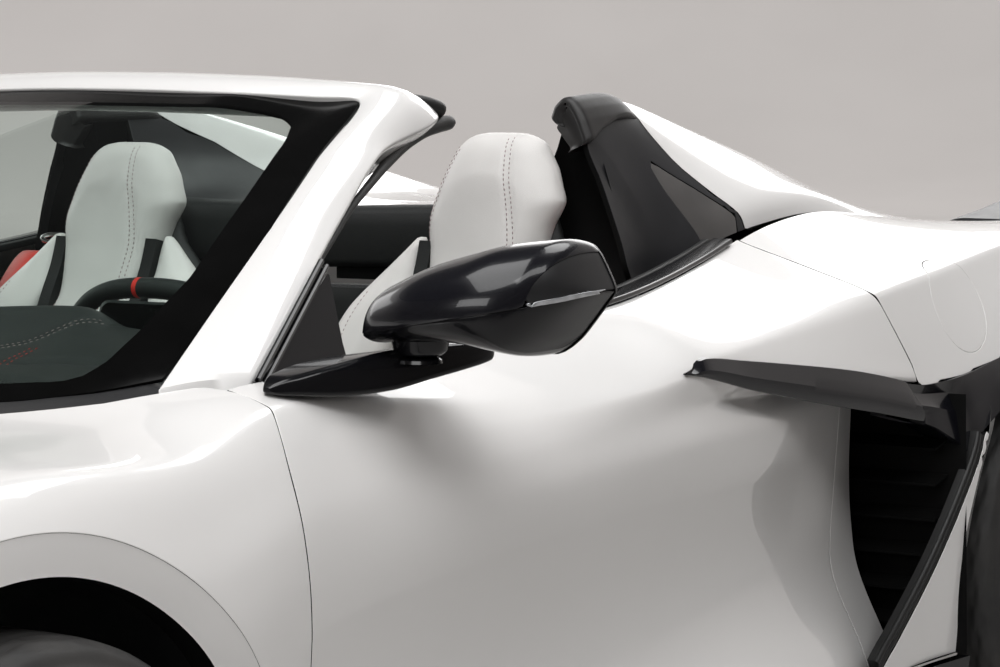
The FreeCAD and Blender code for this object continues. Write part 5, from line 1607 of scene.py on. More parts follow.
def deck_vent():
    """Recessed mesh and cross slats over the engine."""
    b = Bits()
    S = skin_l
    vent = round_poly([(-0.30, 1.19), (0.215, 1.19), (0.226, 1.72), (0.178, 1.812), (-0.30, 1.812)], 0.03)
    sd = np.where(S.X > -0.001, sdist(vent, S.X, S.Y), -1)
    V, NN, F = clip_grid(S.P - S.N * 0.024, S.N, sd, True)
    b.add(V, F, NN, 1)
    for y in np.linspace(1.26, 1.76, 9):
        w = 0.20 if y < 1.70 else 0.165
        z = float(np.interp(y, [1.04, 1.388, 1.76, 1.99], [0.995, 0.980, 0.956, 0.952]))
        q = []
        for x in np.linspace(0, w, 9):
            zz = z + 0.010 * (x / 0.2) ** 2
            q.append([(x, y - 0.014, zz - 0.014), (x, y + 0.014, zz - 0.003), (x, y + 0.017, zz - 0.008), (x, y - 0.011, zz - 0.019)])
        P = np.array(q)
        b.add(P.reshape(-1, 3), grid_faces(9, 4, closed_u=True), None, 0, False)
        b.add(P[-1], [[0, 1, 2, 3]], None, 0, False)
    return b


h = deck_vent()
full = Bits().join(h).join(h.mirrored())
ob = full.make("deck_vents", [M["gloss"], M["mesh"]], "rear_lid", (), "black_plastic", custom=False)
smooth_by_angle(ob, 40)


# ---------------------------------------------------------------- windscreen frame
PILLAR = [
    # x_out  y_out  z_out   x_gl  y_gl   z_gl   depth
    (790, -770, 868, 738, -886, 868, 55), (722, -570, 962, 694, -720, 948, 50),
    (650, -376, 1044, 640, -540, 1026, 46), (588, -190, 1122, 570, -330, 1112, 44)]
HEADER = [(440, -152, 1199, -98, 1222, 0, 1192), (300, -184, 1206, -122, 1231, -24, 1205), (150, -196, 1211, -135, 1236, -40, 1212), (0, -200, 1213, -140, 1238, -45, 1214)]


def frame_section(kind, r):
    """Glass edge, middle of the outer face, outer edge, then two points underneath."""
    if kind == "p":
        xo, yo, zo, xg, yg, zg, dep = r
        return [(xg, yg, zg), ((xo + xg) / 2 + 6, (yo + yg) / 2, (zo + zg) / 2 + 7), (xo, yo, zo), (xo - 34, yo - 6, zo - dep), (xg - 22, yg + 30, zg - dep * 0.8)]
    if kind == "c":
        return [(496, -124, 1196), (523, -56, 1210), (521, 52, 1172), (498, 24, 1140), (476, -104, 1150)]
    x, yf, zf, yt, zt, yr, zr = r
    return [(x, yf, zf), (x, yt, zt), (x, yr, zr), (x, yr - 10, zr - 30), (x, yf + 25, zf - 34)]


def windscreen_frame():
    secs = [frame_section("p", r) for r in PILLAR] + [frame_section("c", None)] + [frame_section("h", r) for r in HEADER]
    A = np.array(secs, float) / 1000.0
    mid = A[:, 2]
    s = np.concatenate([[0], np.cumsum(np.linalg.norm(np.diff(mid, axis=0), axis=1))])
    # mirrored continuation keeps the middle smooth
    back = A[::-1][1:4] * np.array([-1, 1, 1])
    s2 = np.concatenate([s, s[-1] + (s[-1] - s[::-1][1:4])])
    A2 = np.concatenate([A, back], 0)
    q = np.concatenate([np.linspace(s[0], s[3], 34)[:-1], np.linspace(s[3], s[5], 30)[:-1], np.linspace(s[5], s[8], 26)])
    C = makima(s2, A2, q)
    P = []
    for c in C:
        g_, m_, o_, u1, u2 = c
        face = [g_ * (1 - t) ** 2 + 2 * t * (1 - t) * (2 * m_ - (g_ + o_) / 2) + o_ * t * t for t in np.linspace(0, 1, 9)]
        # rounded edges at the glass line and at the outer edge
        def corner(a, b_, c_, r, seg=5):
            u, v = unit(a - b_), unit(c_ - b_)
            p0, p1 = b_ + u * r, b_ + v * r
            return [(1 - t) ** 2 * p0 + 2 * t * (1 - t) * b_ + t * t * p1 for t in np.linspace(0, 1, seg)]
        lst = corner(u2, g_, face[1], 0.003) + face[1:-1] + corner(face[-2], o_, u1, 0.009, 7)
        lst += corner(o_, u1, u2, 0.006) + corner(u1, u2, g_, 0.006)
        P.append(lst)
    P = np.array(P)
    # the foot goes on into the wing
    first = P[0] + (P[0] - P[1]) * 0.0 + np.array([0.006, -0.010, -0.045])
    P = np.concatenate([first[None], P], 0)
    b = Bits()
    b.add(P.reshape(-1, 3), grid_faces(P.shape[0], P.shape[1], closed_u=True, flip=True), None, 0)
    full = Bits().join(b).join(b.mirrored())
    ob = full.make("windscreen_surround", [M["paint"]], "chassis", ("windscreen_frame",), "body_paint", custom=False)
    smooth_by_angle(ob, 38)
    return P


FRAME_P = windscreen_frame()


# ---------------------------------------------------------------- windscreen: clear pane, black printed border
GLASS = [(700, -852, 876, -700, 940), (640, -895, 869, -545, 1024), (560, -930, 866, -330, 1112), (490, -945, 867, -132, 1190), (300, -968, 869, -196, 1199), (0, -985, 870, -212, 1205)]
FRIT = np.array([(0.0, -0.246), (0.12, -0.240), (0.29, -0.225), (0.400, -0.212), (0.435, -0.212), (0.462, -0.232), (0.490, -0.286), (0.545, -0.445), (0.620, -0.672), (0.635, -0.788), (0.635, -0.853), (0.625, -0.884), (0.605, -0.904), (0.535, -0.932), (0.30, -0.950), (0.0, -0.962)])


def glass_point(x, v):
    """Point of the outer glass face; v goes from the bottom (0) to the top (1) and may run past both."""
    rows = np.array(sorted(GLASS + [(-a, b_, c, d, e) for a, b_, c, d, e in GLASS if a > 0]), float) / 1000.0
    g_ = makima(rows[:, 0], rows[:, 1:], np.asarray(x, float))
    yb, zb, yt, zt = g_.T
    dy = yt - yb
    ym, zm = (yb + yt) / 2 - 0.006, (zb + zt) / 2 + 0.014 * abs(dy) / 0.75
    a, c = 2 * (1 - v) * (0.5 - v), 2 * v * (v - 0.5)
    m = 4 * v * (1 - v)
    return np.stack([x + 0 * v, a * yb + m * ym + c * yt, a * zb + m * zm + c * zt], -1)


def windscreen():
    xs = np.linspace(-0.712, 0.712, 97)
    vs = np.linspace(-0.05, 1.03, 44)
    XX, VV = np.meshgrid(xs, vs)
    P = glass_point(XX.ravel(), VV.ravel()).reshape(XX.shape + (3,))
    N = grid_normals(P)
    if N[..., 2].mean() < 0:
        N = -N
    poly_ = np.vstack([FRIT, (FRIT * np.array([-1, 1]))[::-1][1:-1]])
    sd = sdist(round_poly(poly_, 0.0), P[..., 0], P[..., 1])
    b = Bits()
    th = 0.005
    for k_, mat, mask in ((0, 0, sd), (1, 1, -sd)):
        for off, flip in ((0.0, False), (-th, True)):
            V, NN, F = clip_grid(P + N * off, N if not flip else -N, mask, flip)
            # clip_grid's faces follow the grid's own turn; make them face along the normals
            c0 = V[F[0]]
            fn = np.cross(c0[1] - c0[0], c0[2] - c0[0])
            if fn @ NN[F[0][0]] < 0:
                F = [f[::-1] for f in F]
            b.add(V, F, NN, mat)
    # rim
    ring = np.concatenate([P[0], P[1:, -1], P[-1, ::-1][1:], P[::-1, 0][1:-1]], 0)
    rn = np.concatenate([N[0], N[1:, -1], N[-1, ::-1][1:], N[::-1, 0][1:-1]], 0)
    R = np.stack([ring, ring - rn * th], 0)
    b.add(R.reshape(-1, 3), grid_faces(2, len(ring), closed_u=True, flip=True), None, 1)
    return b.make("windscreen_glass", [M["glass"], M["frit"]], "chassis", ("windscreen",), "glass")


windscreen()


def top_z(skin, x, y):
    """Height of a skin's upper side at x, y."""
    x, y = np.broadcast_arrays(np.asarray(x, float), np.asarray(y, float))
    out = np.empty(x.size)
    for k, (xx, yy) in enumerate(zip(x.ravel(), y.ravel())):
        i = int(np.clip(np.searchsorted(skin.y, yy) - 1, 0, len(skin.y) - 2))
        f = float(np.clip((yy - skin.y[i]) / (skin.y[i + 1] - skin.y[i]), 0, 1))
        z = []
        for r in (i, i + 1):
            px, pz = skin.P[r, :, 0], skin.P[r, :, 2]
            m = skin.col > 6.6
            o = np.argsort(px[m])
            z.append(np.interp(xx, px[m][o], pz[m][o]))
        out[k] = z[0] + (z[1] - z[0]) * f
    return out.reshape(x.shape)


def cowl_panel():
    """Black panel between the lid, the wings and the glass, with the wiper arms."""
    b = Bits()
    xs = np.concatenate([np.linspace(0, 0.60, 40), np.linspace(0.612, 0.792, 26)])
    wp = WING_PLAN[:5]
    yf = np.where(xs < 0.606, -1.0, np.interp(xs, wp[:, 0], wp[:, 1]))
    gb = glass_point(np.minimum(xs, 0.712), np.full_like(xs, 0.012))
    yb = np.where(xs < 0.70, gb[:, 1], np.interp(xs, [0.70, 0.735, 0.792], [-0.855, -0.86, -0.80]))
    zb = np.where(xs < 0.70, gb[:, 2] - 0.006, np.interp(xs, [0.70, 0.792], [0.868, 0.855]))
    zf = top_z(skin_w, xs, yf) - 0.004
    rows = []
    for t in np.linspace(0, 1, 12):
        bulge = -0.004 * math.sin(math.pi * t)
        y = yf * (1 - t) + yb * t
        z = zf * (1 - t) + zb * t + bulge
        rows.append(np.stack([xs, y, z], -1))
    P = np.array(rows)
    lip = P[0] + np.array([0, -0.006, -0.016])
    under = P[-1] + np.array([0, 0.02, -0.004])
    P = np.concatenate([lip[None], P, under[None]], 0)
    b.add(P.reshape(-1, 3), grid_faces(P.shape[0], P.shape[1]), None, 0)
    low = P[::2] - np.array([0, 0, 0.008])
    b.add(low.reshape(-1, 3), grid_faces(low.shape[0], low.shape[1], flip=True), None, 0)
    full = Bits().join(b).join(b.mirrored())
    ob = full.make("cowl_panel", [M["plastic"]], "chassis", ("cowl",), "black_plastic", custom=False)
    smooth_by_angle(ob, 45)
    # wipers: two arms with blades lying along the glass foot
    w = Bits()
    for x0, x1, d in ((0.36, -0.28, 0.0), (-0.30, -0.56, 0.018)):
        p = []
        for t in np.linspace(0, 1, 24):
            x = x0 + (x1 - x0) * t
            g_ = glass_point(np.array([x]), np.array([0.035 + d]))[0]
            p.append(g_ + np.array([0, -0.004, 0.014 - 0.004 * math.sin(math.pi * t)]))
        prof = [(0.005 * math.cos(a), 0.007 * math.sin(a)) for a in np.linspace(0, 2 * math.pi, 9)[:-1]]
        V, F = sweep(np.array(p), prof)
        w.add(V, F, None, 0)
        arm_start = glass_point(np.array([x0 - 0.05]), np.array([-0.03]))[0] + np.array([0, -0.035, 0.004])
        arm = np.array([arm_start, arm_start + np.array([-0.06, 0.015, 0.014]), p[11] + np.array([0, 0.0, 0.012]), p[12] + np.array([0, 0.002, 0.004])])
        arm = smooth_line(arm, 0.02)
        V, F = sweep(arm, [(0.008 * math.cos(a), 0.006 * math.sin(a)) for a in np.linspace(0, 2 * math.pi, 9)[:-1]])
        w.add(V, F, None, 0)
        cap = [(0.016 * math.cos(a), 0.016 * math.sin(a)) for a in np.linspace(0, 2 * math.pi, 17)[:-1]]
        V, F = sweep(np.array([arm_start + np.array([0, 0, -0.012]), arm_start + np.array([0, 0, 0.004]), arm_start + np.array([0, 0, 0.010])]), cap, up=(0, 1, 0))
        w.add(V, F, None, 0)
    ob = w.make("wipers", [M["plastic"]], "chassis", (), "black_plastic", custom=False)
    smooth_by_angle(ob, 45)


cowl_panel()


# ---------------------------------------------------------------- weather seals on the frame
def circle(r, n=12, rx=None):
    rx = r if rx is None else rx
    return [(rx * math.cos(a), r * math.sin(a)) for a in np.linspace(0, 2 * math.pi, n + 1)[:-1]]


def tapered(path, radii, n=12, flat=1.0):
    path = np.asarray(path, float)
    t = unit(np.gradient(path, axis=0))
    up = np.array([0, 0, 1.0])
    u = unit(np.cross(t, up))
    v = unit(np.cross(u, t))
    radii = np.asarray(radii, float)[:, None]
    P = []
    for a in np.linspace(0, 2 * math.pi, n + 1)[:-1]:
        P.append(path + u * (radii * math.cos(a)) + v * (radii * math.sin(a) * flat))
    P = np.stack(P, 1)
    F = [list(f) for f in grid_faces(len(path), n, closed_u=True)]
    F.append(list(range(n)))
    F.append([(len(path) - 1) * n + i for i in reversed(range(n))])
    return P.reshape(-1, 3), F


def seals():
    b = Bits()
    # along the pillar's inner rear edge, thick at its free upper end
    pts = [(745, -708, 872), (665, -499, 954), (626, -374, 1009), (600, -289, 1049), (580, -215, 1077), (556, -129, 1108), (535, -45, 1134), (520, 40, 1152), (512, 108, 1158)]
    path = smooth_line(np.array(pts, float) / 1000.0, 0.012)
    s = np.linspace(0, 1, len(path))
    V, F = tapered(path, np.interp(s, [0, 0.45, 0.62, 0.78, 0.93, 0.985, 1.0], [0.004, 0.0045, 0.006, 0.009, 0.0115, 0.0115, 0.006]), 14)
    b.add(V, F, None, 0)
    # block seal on the header's rear corner
    pts = [(488, -6, 1190), (503, 20, 1188), (514, 50, 1181), (517, 72, 1174)]
    path = smooth_line(np.array(pts, float) / 1000.0, 0.006)
    V, F = tapered(path, np.interp(np.linspace(0, 1, len(path)), [0, 0.15, 0.85, 0.96, 1], [0.008, 0.012, 0.013, 0.012, 0.006]), 14)
    b.add(V, F, None, 0)
    return b


h = seals()
full = Bits().join(h).join(h.mirrored())
hp = smooth_line(np.array([(-470, 2, 1200), (-440, -2, 1192), (-300, -18, 1202), (0, -40, 1210), (300, -18, 1202), (440, -2, 1192), (470, 2, 1200)], float) / 1000.0, 0.02)
V, F = tapered(hp, np.full(len(hp), 0.010), 10)
full.add(V, F, None, 0)
ob = full.make("frame_seals", [M["rubber"]], "chassis", (), "black_plastic", custom=False)
smooth_by_angle(ob, 50)


# ---------------------------------------------------------------- window sill strip, sail and mirror arm
def belt_strip():
    b = Bits()
    S = skin_f
    m = (S.y > -0.694) & (S.y < 0.668)
    path = S.P[m][:, -1] + np.array([-0.016, 0, 0.0045])
    path[:, 0] += 0.004 * np.clip((S.y[m] - 0.45) / 0.2, 0, 1)
    prof = round_poly([(-0.018, -0.006), (0.016, -0.008), (0.0175, -0.001), (0.006, 0.0062), (-0.012, 0.0068), (-0.018, 0.003)], 0.004, 4)
    V, F = sweep(path, prof[:, :2] * np.array([-1, 1]), frame_dirs=np.tile(np.array([-1.0, 0, 0.12]), (len(path), 1)))
    b.add(V, F, None, 0)
    # inner lip of the window slot
    path2 = path + np.array([-0.030, 0, -0.002])
    prof2 = round_poly([(-0.006, -0.008), (0.006, -0.008), (0.006, 0.006), (-0.006, 0.006)], 0.004, 3)
    V, F = sweep(path2, prof2, frame_dirs=np.tile(np.array([-1.0, 0, 0.0]), (len(path), 1)))
    b.add(V, F, None, 1)
    return b


for ob in both(belt_strip(), "belt_strip", [M["gloss"], M["rubber"]], ("door_left", "door_right"), (("belt_trim_left",), ("belt_trim_right",)), slots="black_gloss", custom=False):
    smooth_by_angle(ob, 50)

SA, SB, SC = np.array([0.800, -0.787, 0.868]), np.array([0.798, -0.592, 0.874]), np.array([0.712, -0.527, 0.994])


def sail():
    b = Bits()
    n = unit(np.cross(SC - SA, SB - SA))
    if n[0] < 0:
        n = -n
    e1 = unit(SB - SA)
    e2 = np.cross(n, e1)

    def to3(q, off=0.0):
        return np.array([SA + e1 * u + e2 * v + n * off for u, v in q])
    tri = [(0.0, 0.0), (float(np.linalg.norm(SB - SA)), 0.0), (float((SC - SA) @ e1), float((SC - SA) @ e2))]
    if tri[2][1] < 0:
        e2 = -e2
        tri[2] = (tri[2][0], -tri[2][1])
    outer = round_poly(tri, [0.004, 0.005, 0.003], 4)
    c = np.mean(outer, 0)
    ins = np.array(tri)
    # pane inside a thin frame
    pane = round_poly([ins[0] + (0.020, 0.0035), ins[1] + (-0.0045, 0.0035), ins[2] + (-0.001, -0.020)], 0.003, 4)
    k = len(outer)
    V = np.concatenate([to3(outer, 0.004), to3(outer, -0.005)])
    F = [list(range(k)), list(reversed(range(k, 2 * k)))] + [[i, k + i, k + (i + 1) % k, (i + 1) % k] for i in range(k)]
    b.add(V, F, None, 0, False)
    k = len(pane)
    V = np.concatenate([to3(pane, 0.0065), to3(pane, 0.0035)])
    F = [list(range(k))] + [[i, k + i, k + (i + 1) % k, (i + 1) % k] for i in range(k)]
    b.add(V, F, None, 1, False)
    # two rubber lips along the pillar
    ax = unit(SC - SA)
    perp = unit(np.cross(n, ax))
    if perp @ (SB - SA) < 0:
        perp = -perp
    for off, r in ((0.002, 0.0042), (0.0115, 0.0038)):
        line = np.array([SA + ax * t + perp * off + n * 0.006 for t in np.linspace(0.003, np.linalg.norm(SC - SA) - 0.004, 14)])
        V, F = sweep(line, circle(r, 8), frame_dirs=np.tile(perp, (14, 1)))
        b.add(V, F, None, 0)
    return b


for ob in both(sail(), "mirror_sail", [M["gloss"], M["glass_dark"]], ("door_left", "door_right"), slots="black_gloss", custom=False):
    smooth_by_angle(ob, 40)


def mirror_arm():
    b = Bits()
    rows = [  # y, outer top x z, outer bottom x z, inner x, inner top z, inner bottom z
        (-0.824, 0.851, 0.869, 0.853, 0.864, 0.842, 0.870, 0.864),
        (-0.815, 0.858, 0.874, 0.861, 0.860, 0.838, 0.877, 0.860),
        (-0.800, 0.868, 0.879, 0.872, 0.858, 0.835, 0.882, 0.858),
        (-0.740, 0.889, 0.890, 0.894, 0.852, 0.832, 0.889, 0.856),
        (-0.660, 0.912, 0.901, 0.918, 0.853, 0.832, 0.891, 0.856),
        (-0.600, 0.930, 0.903, 0.936, 0.862, 0.832, 0.890, 0.862),
        (-0.540, 0.946, 0.903, 0.950, 0.870, 0.850, 0.888, 0.868),
        (-0.500, 0.955, 0.900, 0.955, 0.876, 0.890, 0.890, 0.874),
        (-0.488, 0.950, 0.894, 0.950, 0.882, 0.905, 0.890, 0.882)]
    A = np.array(rows)
    q = np.linspace(A[0, 0], A[-1, 0], 60)
    C = makima(A[:, 0], A[:, 1:], q)
    P = []
    for y, (xt, zt, xb, zb, xi, zit, zib) in zip(q, C):
        h = max(0.004, (zt - zb))
        sec = round_poly([(xt, zt), (xb, zb), (xi, zib), (xi, zit)], [min(0.010, h * 0.42), min(0.006, h * 0.3), 0.002, 0.002], 5)
        P.append(np.stack([sec[:, 0], np.full(len(sec), y), sec[:, 1]], -1))
    P = np.array(P)
    b.add(P.reshape(-1, 3), grid_faces(P.shape[0], P.shape[1], closed_u=True), None, 0)
    b.add(P[0], [list(range(P.shape[1]))], None, 0, False)
    b.add(P[-1], [list(reversed(range(P.shape[1])))], None, 0, False)
    # pivot collar on top of the arm
    ring = []
    for z, r in ((0.884, 0.026), (0.888, 0.025), (0.8905, 0.022), (0.8905, 0.0)):
        ring.append([(0.925 + r * 1.3 * math.cos(a), -0.625 + r * math.sin(a), z) for a in np.linspace(0, 2 * math.pi, 25)[:-1]])
    R = np.array(ring)
    b.add(R.reshape(-1, 3), grid_faces(4, 24, closed_u=True), None, 0)
    return b


for ob in both(mirror_arm(), "mirror_arm", [M["gloss"]], ("door_left", "door_right"), slots="black_gloss", custom=False):
    smooth_by_angle(ob, 35)

# ---------------------------------------------------------------- mirror housing
MIRROR = np.array([
    # x     z_bot  z_top  y_front y_back  nose height 0..1
    (0.8725, 0.914, 0.926, -0.664, -0.646, 0.45),
    (0.876, 0.908, 0.950, -0.668, -0.620, 0.42),
    (0.884, 0.905, 0.969, -0.675, -0.600, 0.40),
    (0.900, 0.906, 0.982, -0.684, -0.585, 0.38),
    (0.960, 0.908, 1.010, -0.700, -0.560, 0.34),
    (1.000, 0.906, 1.022, -0.700, -0.548, 0.34),
    (1.035, 0.898, 1.032, -0.694, -0.538, 0.38),
    (1.065, 0.891, 1.036, -0.682, -0.520, 0.40),
    (1.088, 0.908, 1.037, -0.662, -0.505, 0.42),
    (1.102, 0.927, 1.031, -0.642, -0.498, 0.44),
    (1.112, 0.941, 1.018, -0.624, -0.495, 0.44),
    (1.120, 0.952, 1.000, -0.603, -0.493, 0.44),
    (1.127, 0.961, 0.984, -0.578, -0.492, 0.45),
    (1.1320, 0.967, 0.973, -0.548, -0.494, 0.45)])


def mirror_shell():
    xs = np.concatenate([np.linspace(0.8725, 0.90, 9)[:-1], np.linspace(0.90, 1.08, 28)[:-1], np.linspace(1.08, 1.1320, 26)])
    C = makima(MIRROR[:, 0], MIRROR[:, 1:], xs)
    th = np.radians(np.linspace(90, 270, 43))
    P = []
    for x, (zb, zt, yf, yb, nh) in zip(xs, C):
        zn = zb + (zt - zb) * nh
        yc = yb - min(0.012, (yb - yf) * 0.3)
        cy, sn = np.cos(th), np.sin(th)
        n_up, n_lo = 2.2, 2.7
        up = sn >= 0
        e = np.where(up, 2 / n_up, 2 / n_lo)
        y = yc - (yc - yf) * np.abs(cy) ** e
        z = zn + np.where(up, (zt - zn), (zn - zb)) * np.sign(sn) * np.abs(sn) ** e
        # the top falls a little to the back, the crest is the front third
        z = z - np.where(up, 0.10 * (zt - zn) * np.clip((y - yf) / max(yc - yf, 1e-4), 0, 1) ** 3, 0)
        P.append(np.stack([np.full_like(y, x), y, z], -1))
    return xs, C, np.array(P)


def mirror_housing():
    xs, C, P = mirror_shell()
    P = gauss(P, 0.8, 0)
    N = grid_normals(P)
    if N[:, 28, 1].mean() > 0:
        N = -N
    X, Z, Y = P[..., 0], P[..., 2], P[..., 1]
    seam = np.interp(X, [0.87, 0.962, 1.052, 1.095, 1.14], [0.919, 0.935, 0.950, 0.958, 0.970])
    ins = np.interp(Z, [0.90, 0.959, 0.985, 1.002, 1.016, 1.05], [1.086, 1.093, 1.100, 1.107, 1.1115, 1.125])      # insert starts outboard of this
    b = Bits()
    d_seam = Z - seam
    d_ins = (X - ins) * 0.9
    strip_lo = np.interp(X, [1.0, 1.097, 1.118, 1.132], [0.955, 0.9585, 0.963, 0.968])
    d_up = Z - (strip_lo + 0.0045)
    regions = [
        (np.minimum(d_seam - 0.0012, -d_ins - 0.0008), 0.0, 0),                   # cap
        (np.minimum(np.where(X < 1.096, -d_seam - 0.0004, strip_lo - Z - 0.0004), 9.0), -0.0012, 1),   # lower part
        (np.minimum(d_ins, d_up), -0.0012, 2),                                        # insert
        (np.minimum(np.minimum(Z - strip_lo, strip_lo + 0.0045 - Z), X - 1.096), -0.0002, 3),  # light strip
    ]
    k = [3 if False else 1]
    for sd, off, mat in regions:
        V, NN, F = clip_grid(P + N * off, N, sd, True)
        if not F:
            continue
        c0 = V[F[len(F) // 2]]
        if np.cross(c0[1] - c0[0], c0[2] - c0[0]) @ NN[F[len(F) // 2][0]] < 0:
            F = [f[::-1] for f in F]
        V, NN, F = hem(V, NN, F, 0.0007, 0.004)
        b.add(V, F, NN, mat)
    # back: rim, recess and glass
    top, bot = P[:, 0], P[::-1, -1]
    loop = np.concatenate([top, bot], 0)
    n = len(loop)
    c = loop.mean(0)
    cen = np.array([0, 0, 0]) + c
    rows = [loop]
    for sc, dy in ((0.985, 0.006), (0.955, 0.009), (0.925, 0.007), (0.915, -0.002), (0.912, -0.006)):
        q = cen + (loop - cen) * np.array([sc + (1 - sc) * 0.35, 1.0, sc])
        q[:, 1] = loop[:, 1] + dy
        rows.append(q)
    R = np.array(rows)
    b.add(R.reshape(-1, 3), grid_faces(len(rows), n, closed_u=True), None, 2)
    last = rows[-1]
    half_n = n // 2
    F = []
    for i in range(half_n - 1):
        F.append([i, i + 1, n - 2 - i, n - 1 - i])
    b.add(last, F, None, 4)
    # neck down to the arm
    ring = []
    for z, r in ((0.912, 0.030), (0.900, 0.028), (0.8955, 0.025), (0.8925, 0.020)):
        ring.append([(0.930 + r * 1.25 * math.cos(a), -0.625 + r * math.sin(a), z) for a in np.linspace(0, 2 * math.pi, 25)[:-1]])
    R = np.array(ring)
    b.add(R.reshape(-1, 3), grid_faces(4, 24, closed_u=True, flip=True), None, 1)
    return b


def make_mirrors():
    left = mirror_housing()
    mats = [M["flash"], M["gloss"], M["insert"], M["lamp_clear"], M["mirror"]]
    for ob in both(left, "mirror_housing", mats, ("mirror_left", "mirror_right"), (("mirror_left",), ("mirror_right",)), slots="black_gloss", custom=False):
        smooth_by_angle(ob, 40)


make_mirrors()
# =====================================================================================
# cabin
# =====================================================================================
from mathutils.bvhtree import BVHTree


def pad_mesh(outline, front, back, step, R, flat=0.42):
    """Closed cushion between front(u, v) and back(u, v), rounded along the outline in (u, v)."""
    lo, hi = outline.min(0) - 2 * step, outline.max(0) + 2 * step
    nu, nv = int((hi[0] - lo[0]) / step) + 2, int((hi[1] - lo[1]) / step) + 2
    U, W = np.meshgrid(np.linspace(lo[0], hi[0], nu), np.linspace(lo[1], hi[1], nv))
    sd = sdist(outline, U, W)
    e = np.clip(sd / R, 0, 1)
    k = 1 - np.sqrt(np.clip(1 - (1 - e) ** 2, 0, 1))
    PF, PB = front(U, W), back(U, W)
    d = (PB - PF) * flat * k[..., None]
    out = []
    for P in (PF + d, PB - d):
        V, N, F = clip_grid(P, grid_normals(P), sd)[:3]
        out.append((V, F))
    (V1, F1), (V2, F2) = out
    n1 = len(V1)
    V = np.vstack([V1, V2])
    F = [list(f) for f in F1] + [[i + n1 for i in reversed(f)] for f in F2]
    for loop in boundary_loops(F1):
        k = len(loop)
        for i in range(k):
            a, b2 = loop[i], loop[(i + 1) % k]
            F.append([b2, a, a + n1, b2 + n1])
    return V, F


def mesh_of(name, V, F):
    me = D.meshes.new(name)
    me.from_pydata(np.asarray(V).tolist(), [], [list(map(int, f)) for f in F])
    me.update()
    ob = D.objects.new(name, me)
    bpy.context.collection.objects.link(ob)
    bm = bmesh.new()
    bm.from_mesh(me)
    bmesh.ops.recalc_face_normals(bm, faces=bm.faces)
    bm.to_mesh(me)
    bm.free()
    return ob


def evaluated(ob):
    dg = bpy.context.evaluated_depsgraph_get()
    ev = ob.evaluated_get(dg)
    me = D.meshes.new_from_object(ev)
    V = np.empty(len(me.vertices) * 3)
    me.vertices.foreach_get("co", V)
    F = [list(p.vertices) for p in me.polygons]
    D.meshes.remove(me)
    return V.reshape(-1, 3), F


def drop(ob):
    me = ob.data
    D.objects.remove(ob)
    D.meshes.remove(me)


def soft_pads(items, voxel=0.0076, cap=0.006, pressure=4.0):
    """Leather over foam: each pad is remeshed, blown up a little as cloth and smoothed. items: (name, V, F)."""
    obs, rest = [], []
    for name, V, F in items:
        ob = mesh_of("soft_" + name, V, F)
        m = ob.modifiers.new("rm", "REMESH")
        m.mode = "VOXEL"
        m.voxel_size = voxel
        V1, F1 = evaluated(ob)
        drop(ob)
        ob = mesh_of("soft_" + name, V1, F1)
        c = ob.modifiers.new("cl", "CLOTH")
        s = c.settings
        s.use_pressure = True
        s.uniform_pressure_force = pressure
        s.effector_weights.gravity = 0
        s.quality = 4
        s.tension_stiffness = 25
        s.compression_stiffness = 25
        s.shear_stiffness = 12
        c.collision_settings.use_collision = False
        obs.append(ob)
        rest.append(V1)
    sc = bpy.context.scene
    for f in range(1, 15):
        sc.frame_set(f)
    res = {}
    for (name, V, F), ob, r in zip(items, obs, rest):
        V2, F2 = evaluated(ob)
        d = V2 - r
        l = np.linalg.norm(d, axis=1, keepdims=True)
        V2 = r + d * np.minimum(1, cap / np.maximum(l, 1e-9))
        drop(ob)
        ob = mesh_of("soft_" + name, V2, F2)
        m = ob.modifiers.new("sm", "SMOOTH")
        m.factor, m.iterations = 0.5, 4
        res[name] = evaluated(ob)
        drop(ob)
    bpy.context.scene.frame_set(1)
    return res


def groove(V, F, lines, plane, depth=0.0024, width=0.0048, front=None):
    """Pulls the skin in along seams given as polylines in a plane of two axes."""
    V = np.asarray(V, float).copy()
    ax = [0, 1, 2]
    third = [a for a in ax if a not in plane][0]
    for ln in lines:
        ln = np.asarray(ln, float)
        lo, hi = ln.min(0) - 0.02, ln.max(0) + 0.02
        Q = V[:, list(plane)]
        m = ((Q > lo) & (Q < hi)).all(1)
        if front is not None:
            m &= front(V)
        idx = np.where(m)[0]
        if len(idx) == 0:
            continue
        d = np.full(len(idx), 9.0)
        for a, b2 in zip(ln[:-1], ln[1:]):
            ab = b2 - a
            t = np.clip(((Q[idx] - a) @ ab) / max(ab @ ab, 1e-12), 0, 1)
            d = np.minimum(d, np.linalg.norm(Q[idx] - a - t[:, None] * ab, axis=1))
        V[idx, third] += depth * np.exp(-0.5 * (d / width) ** 2)
    return V


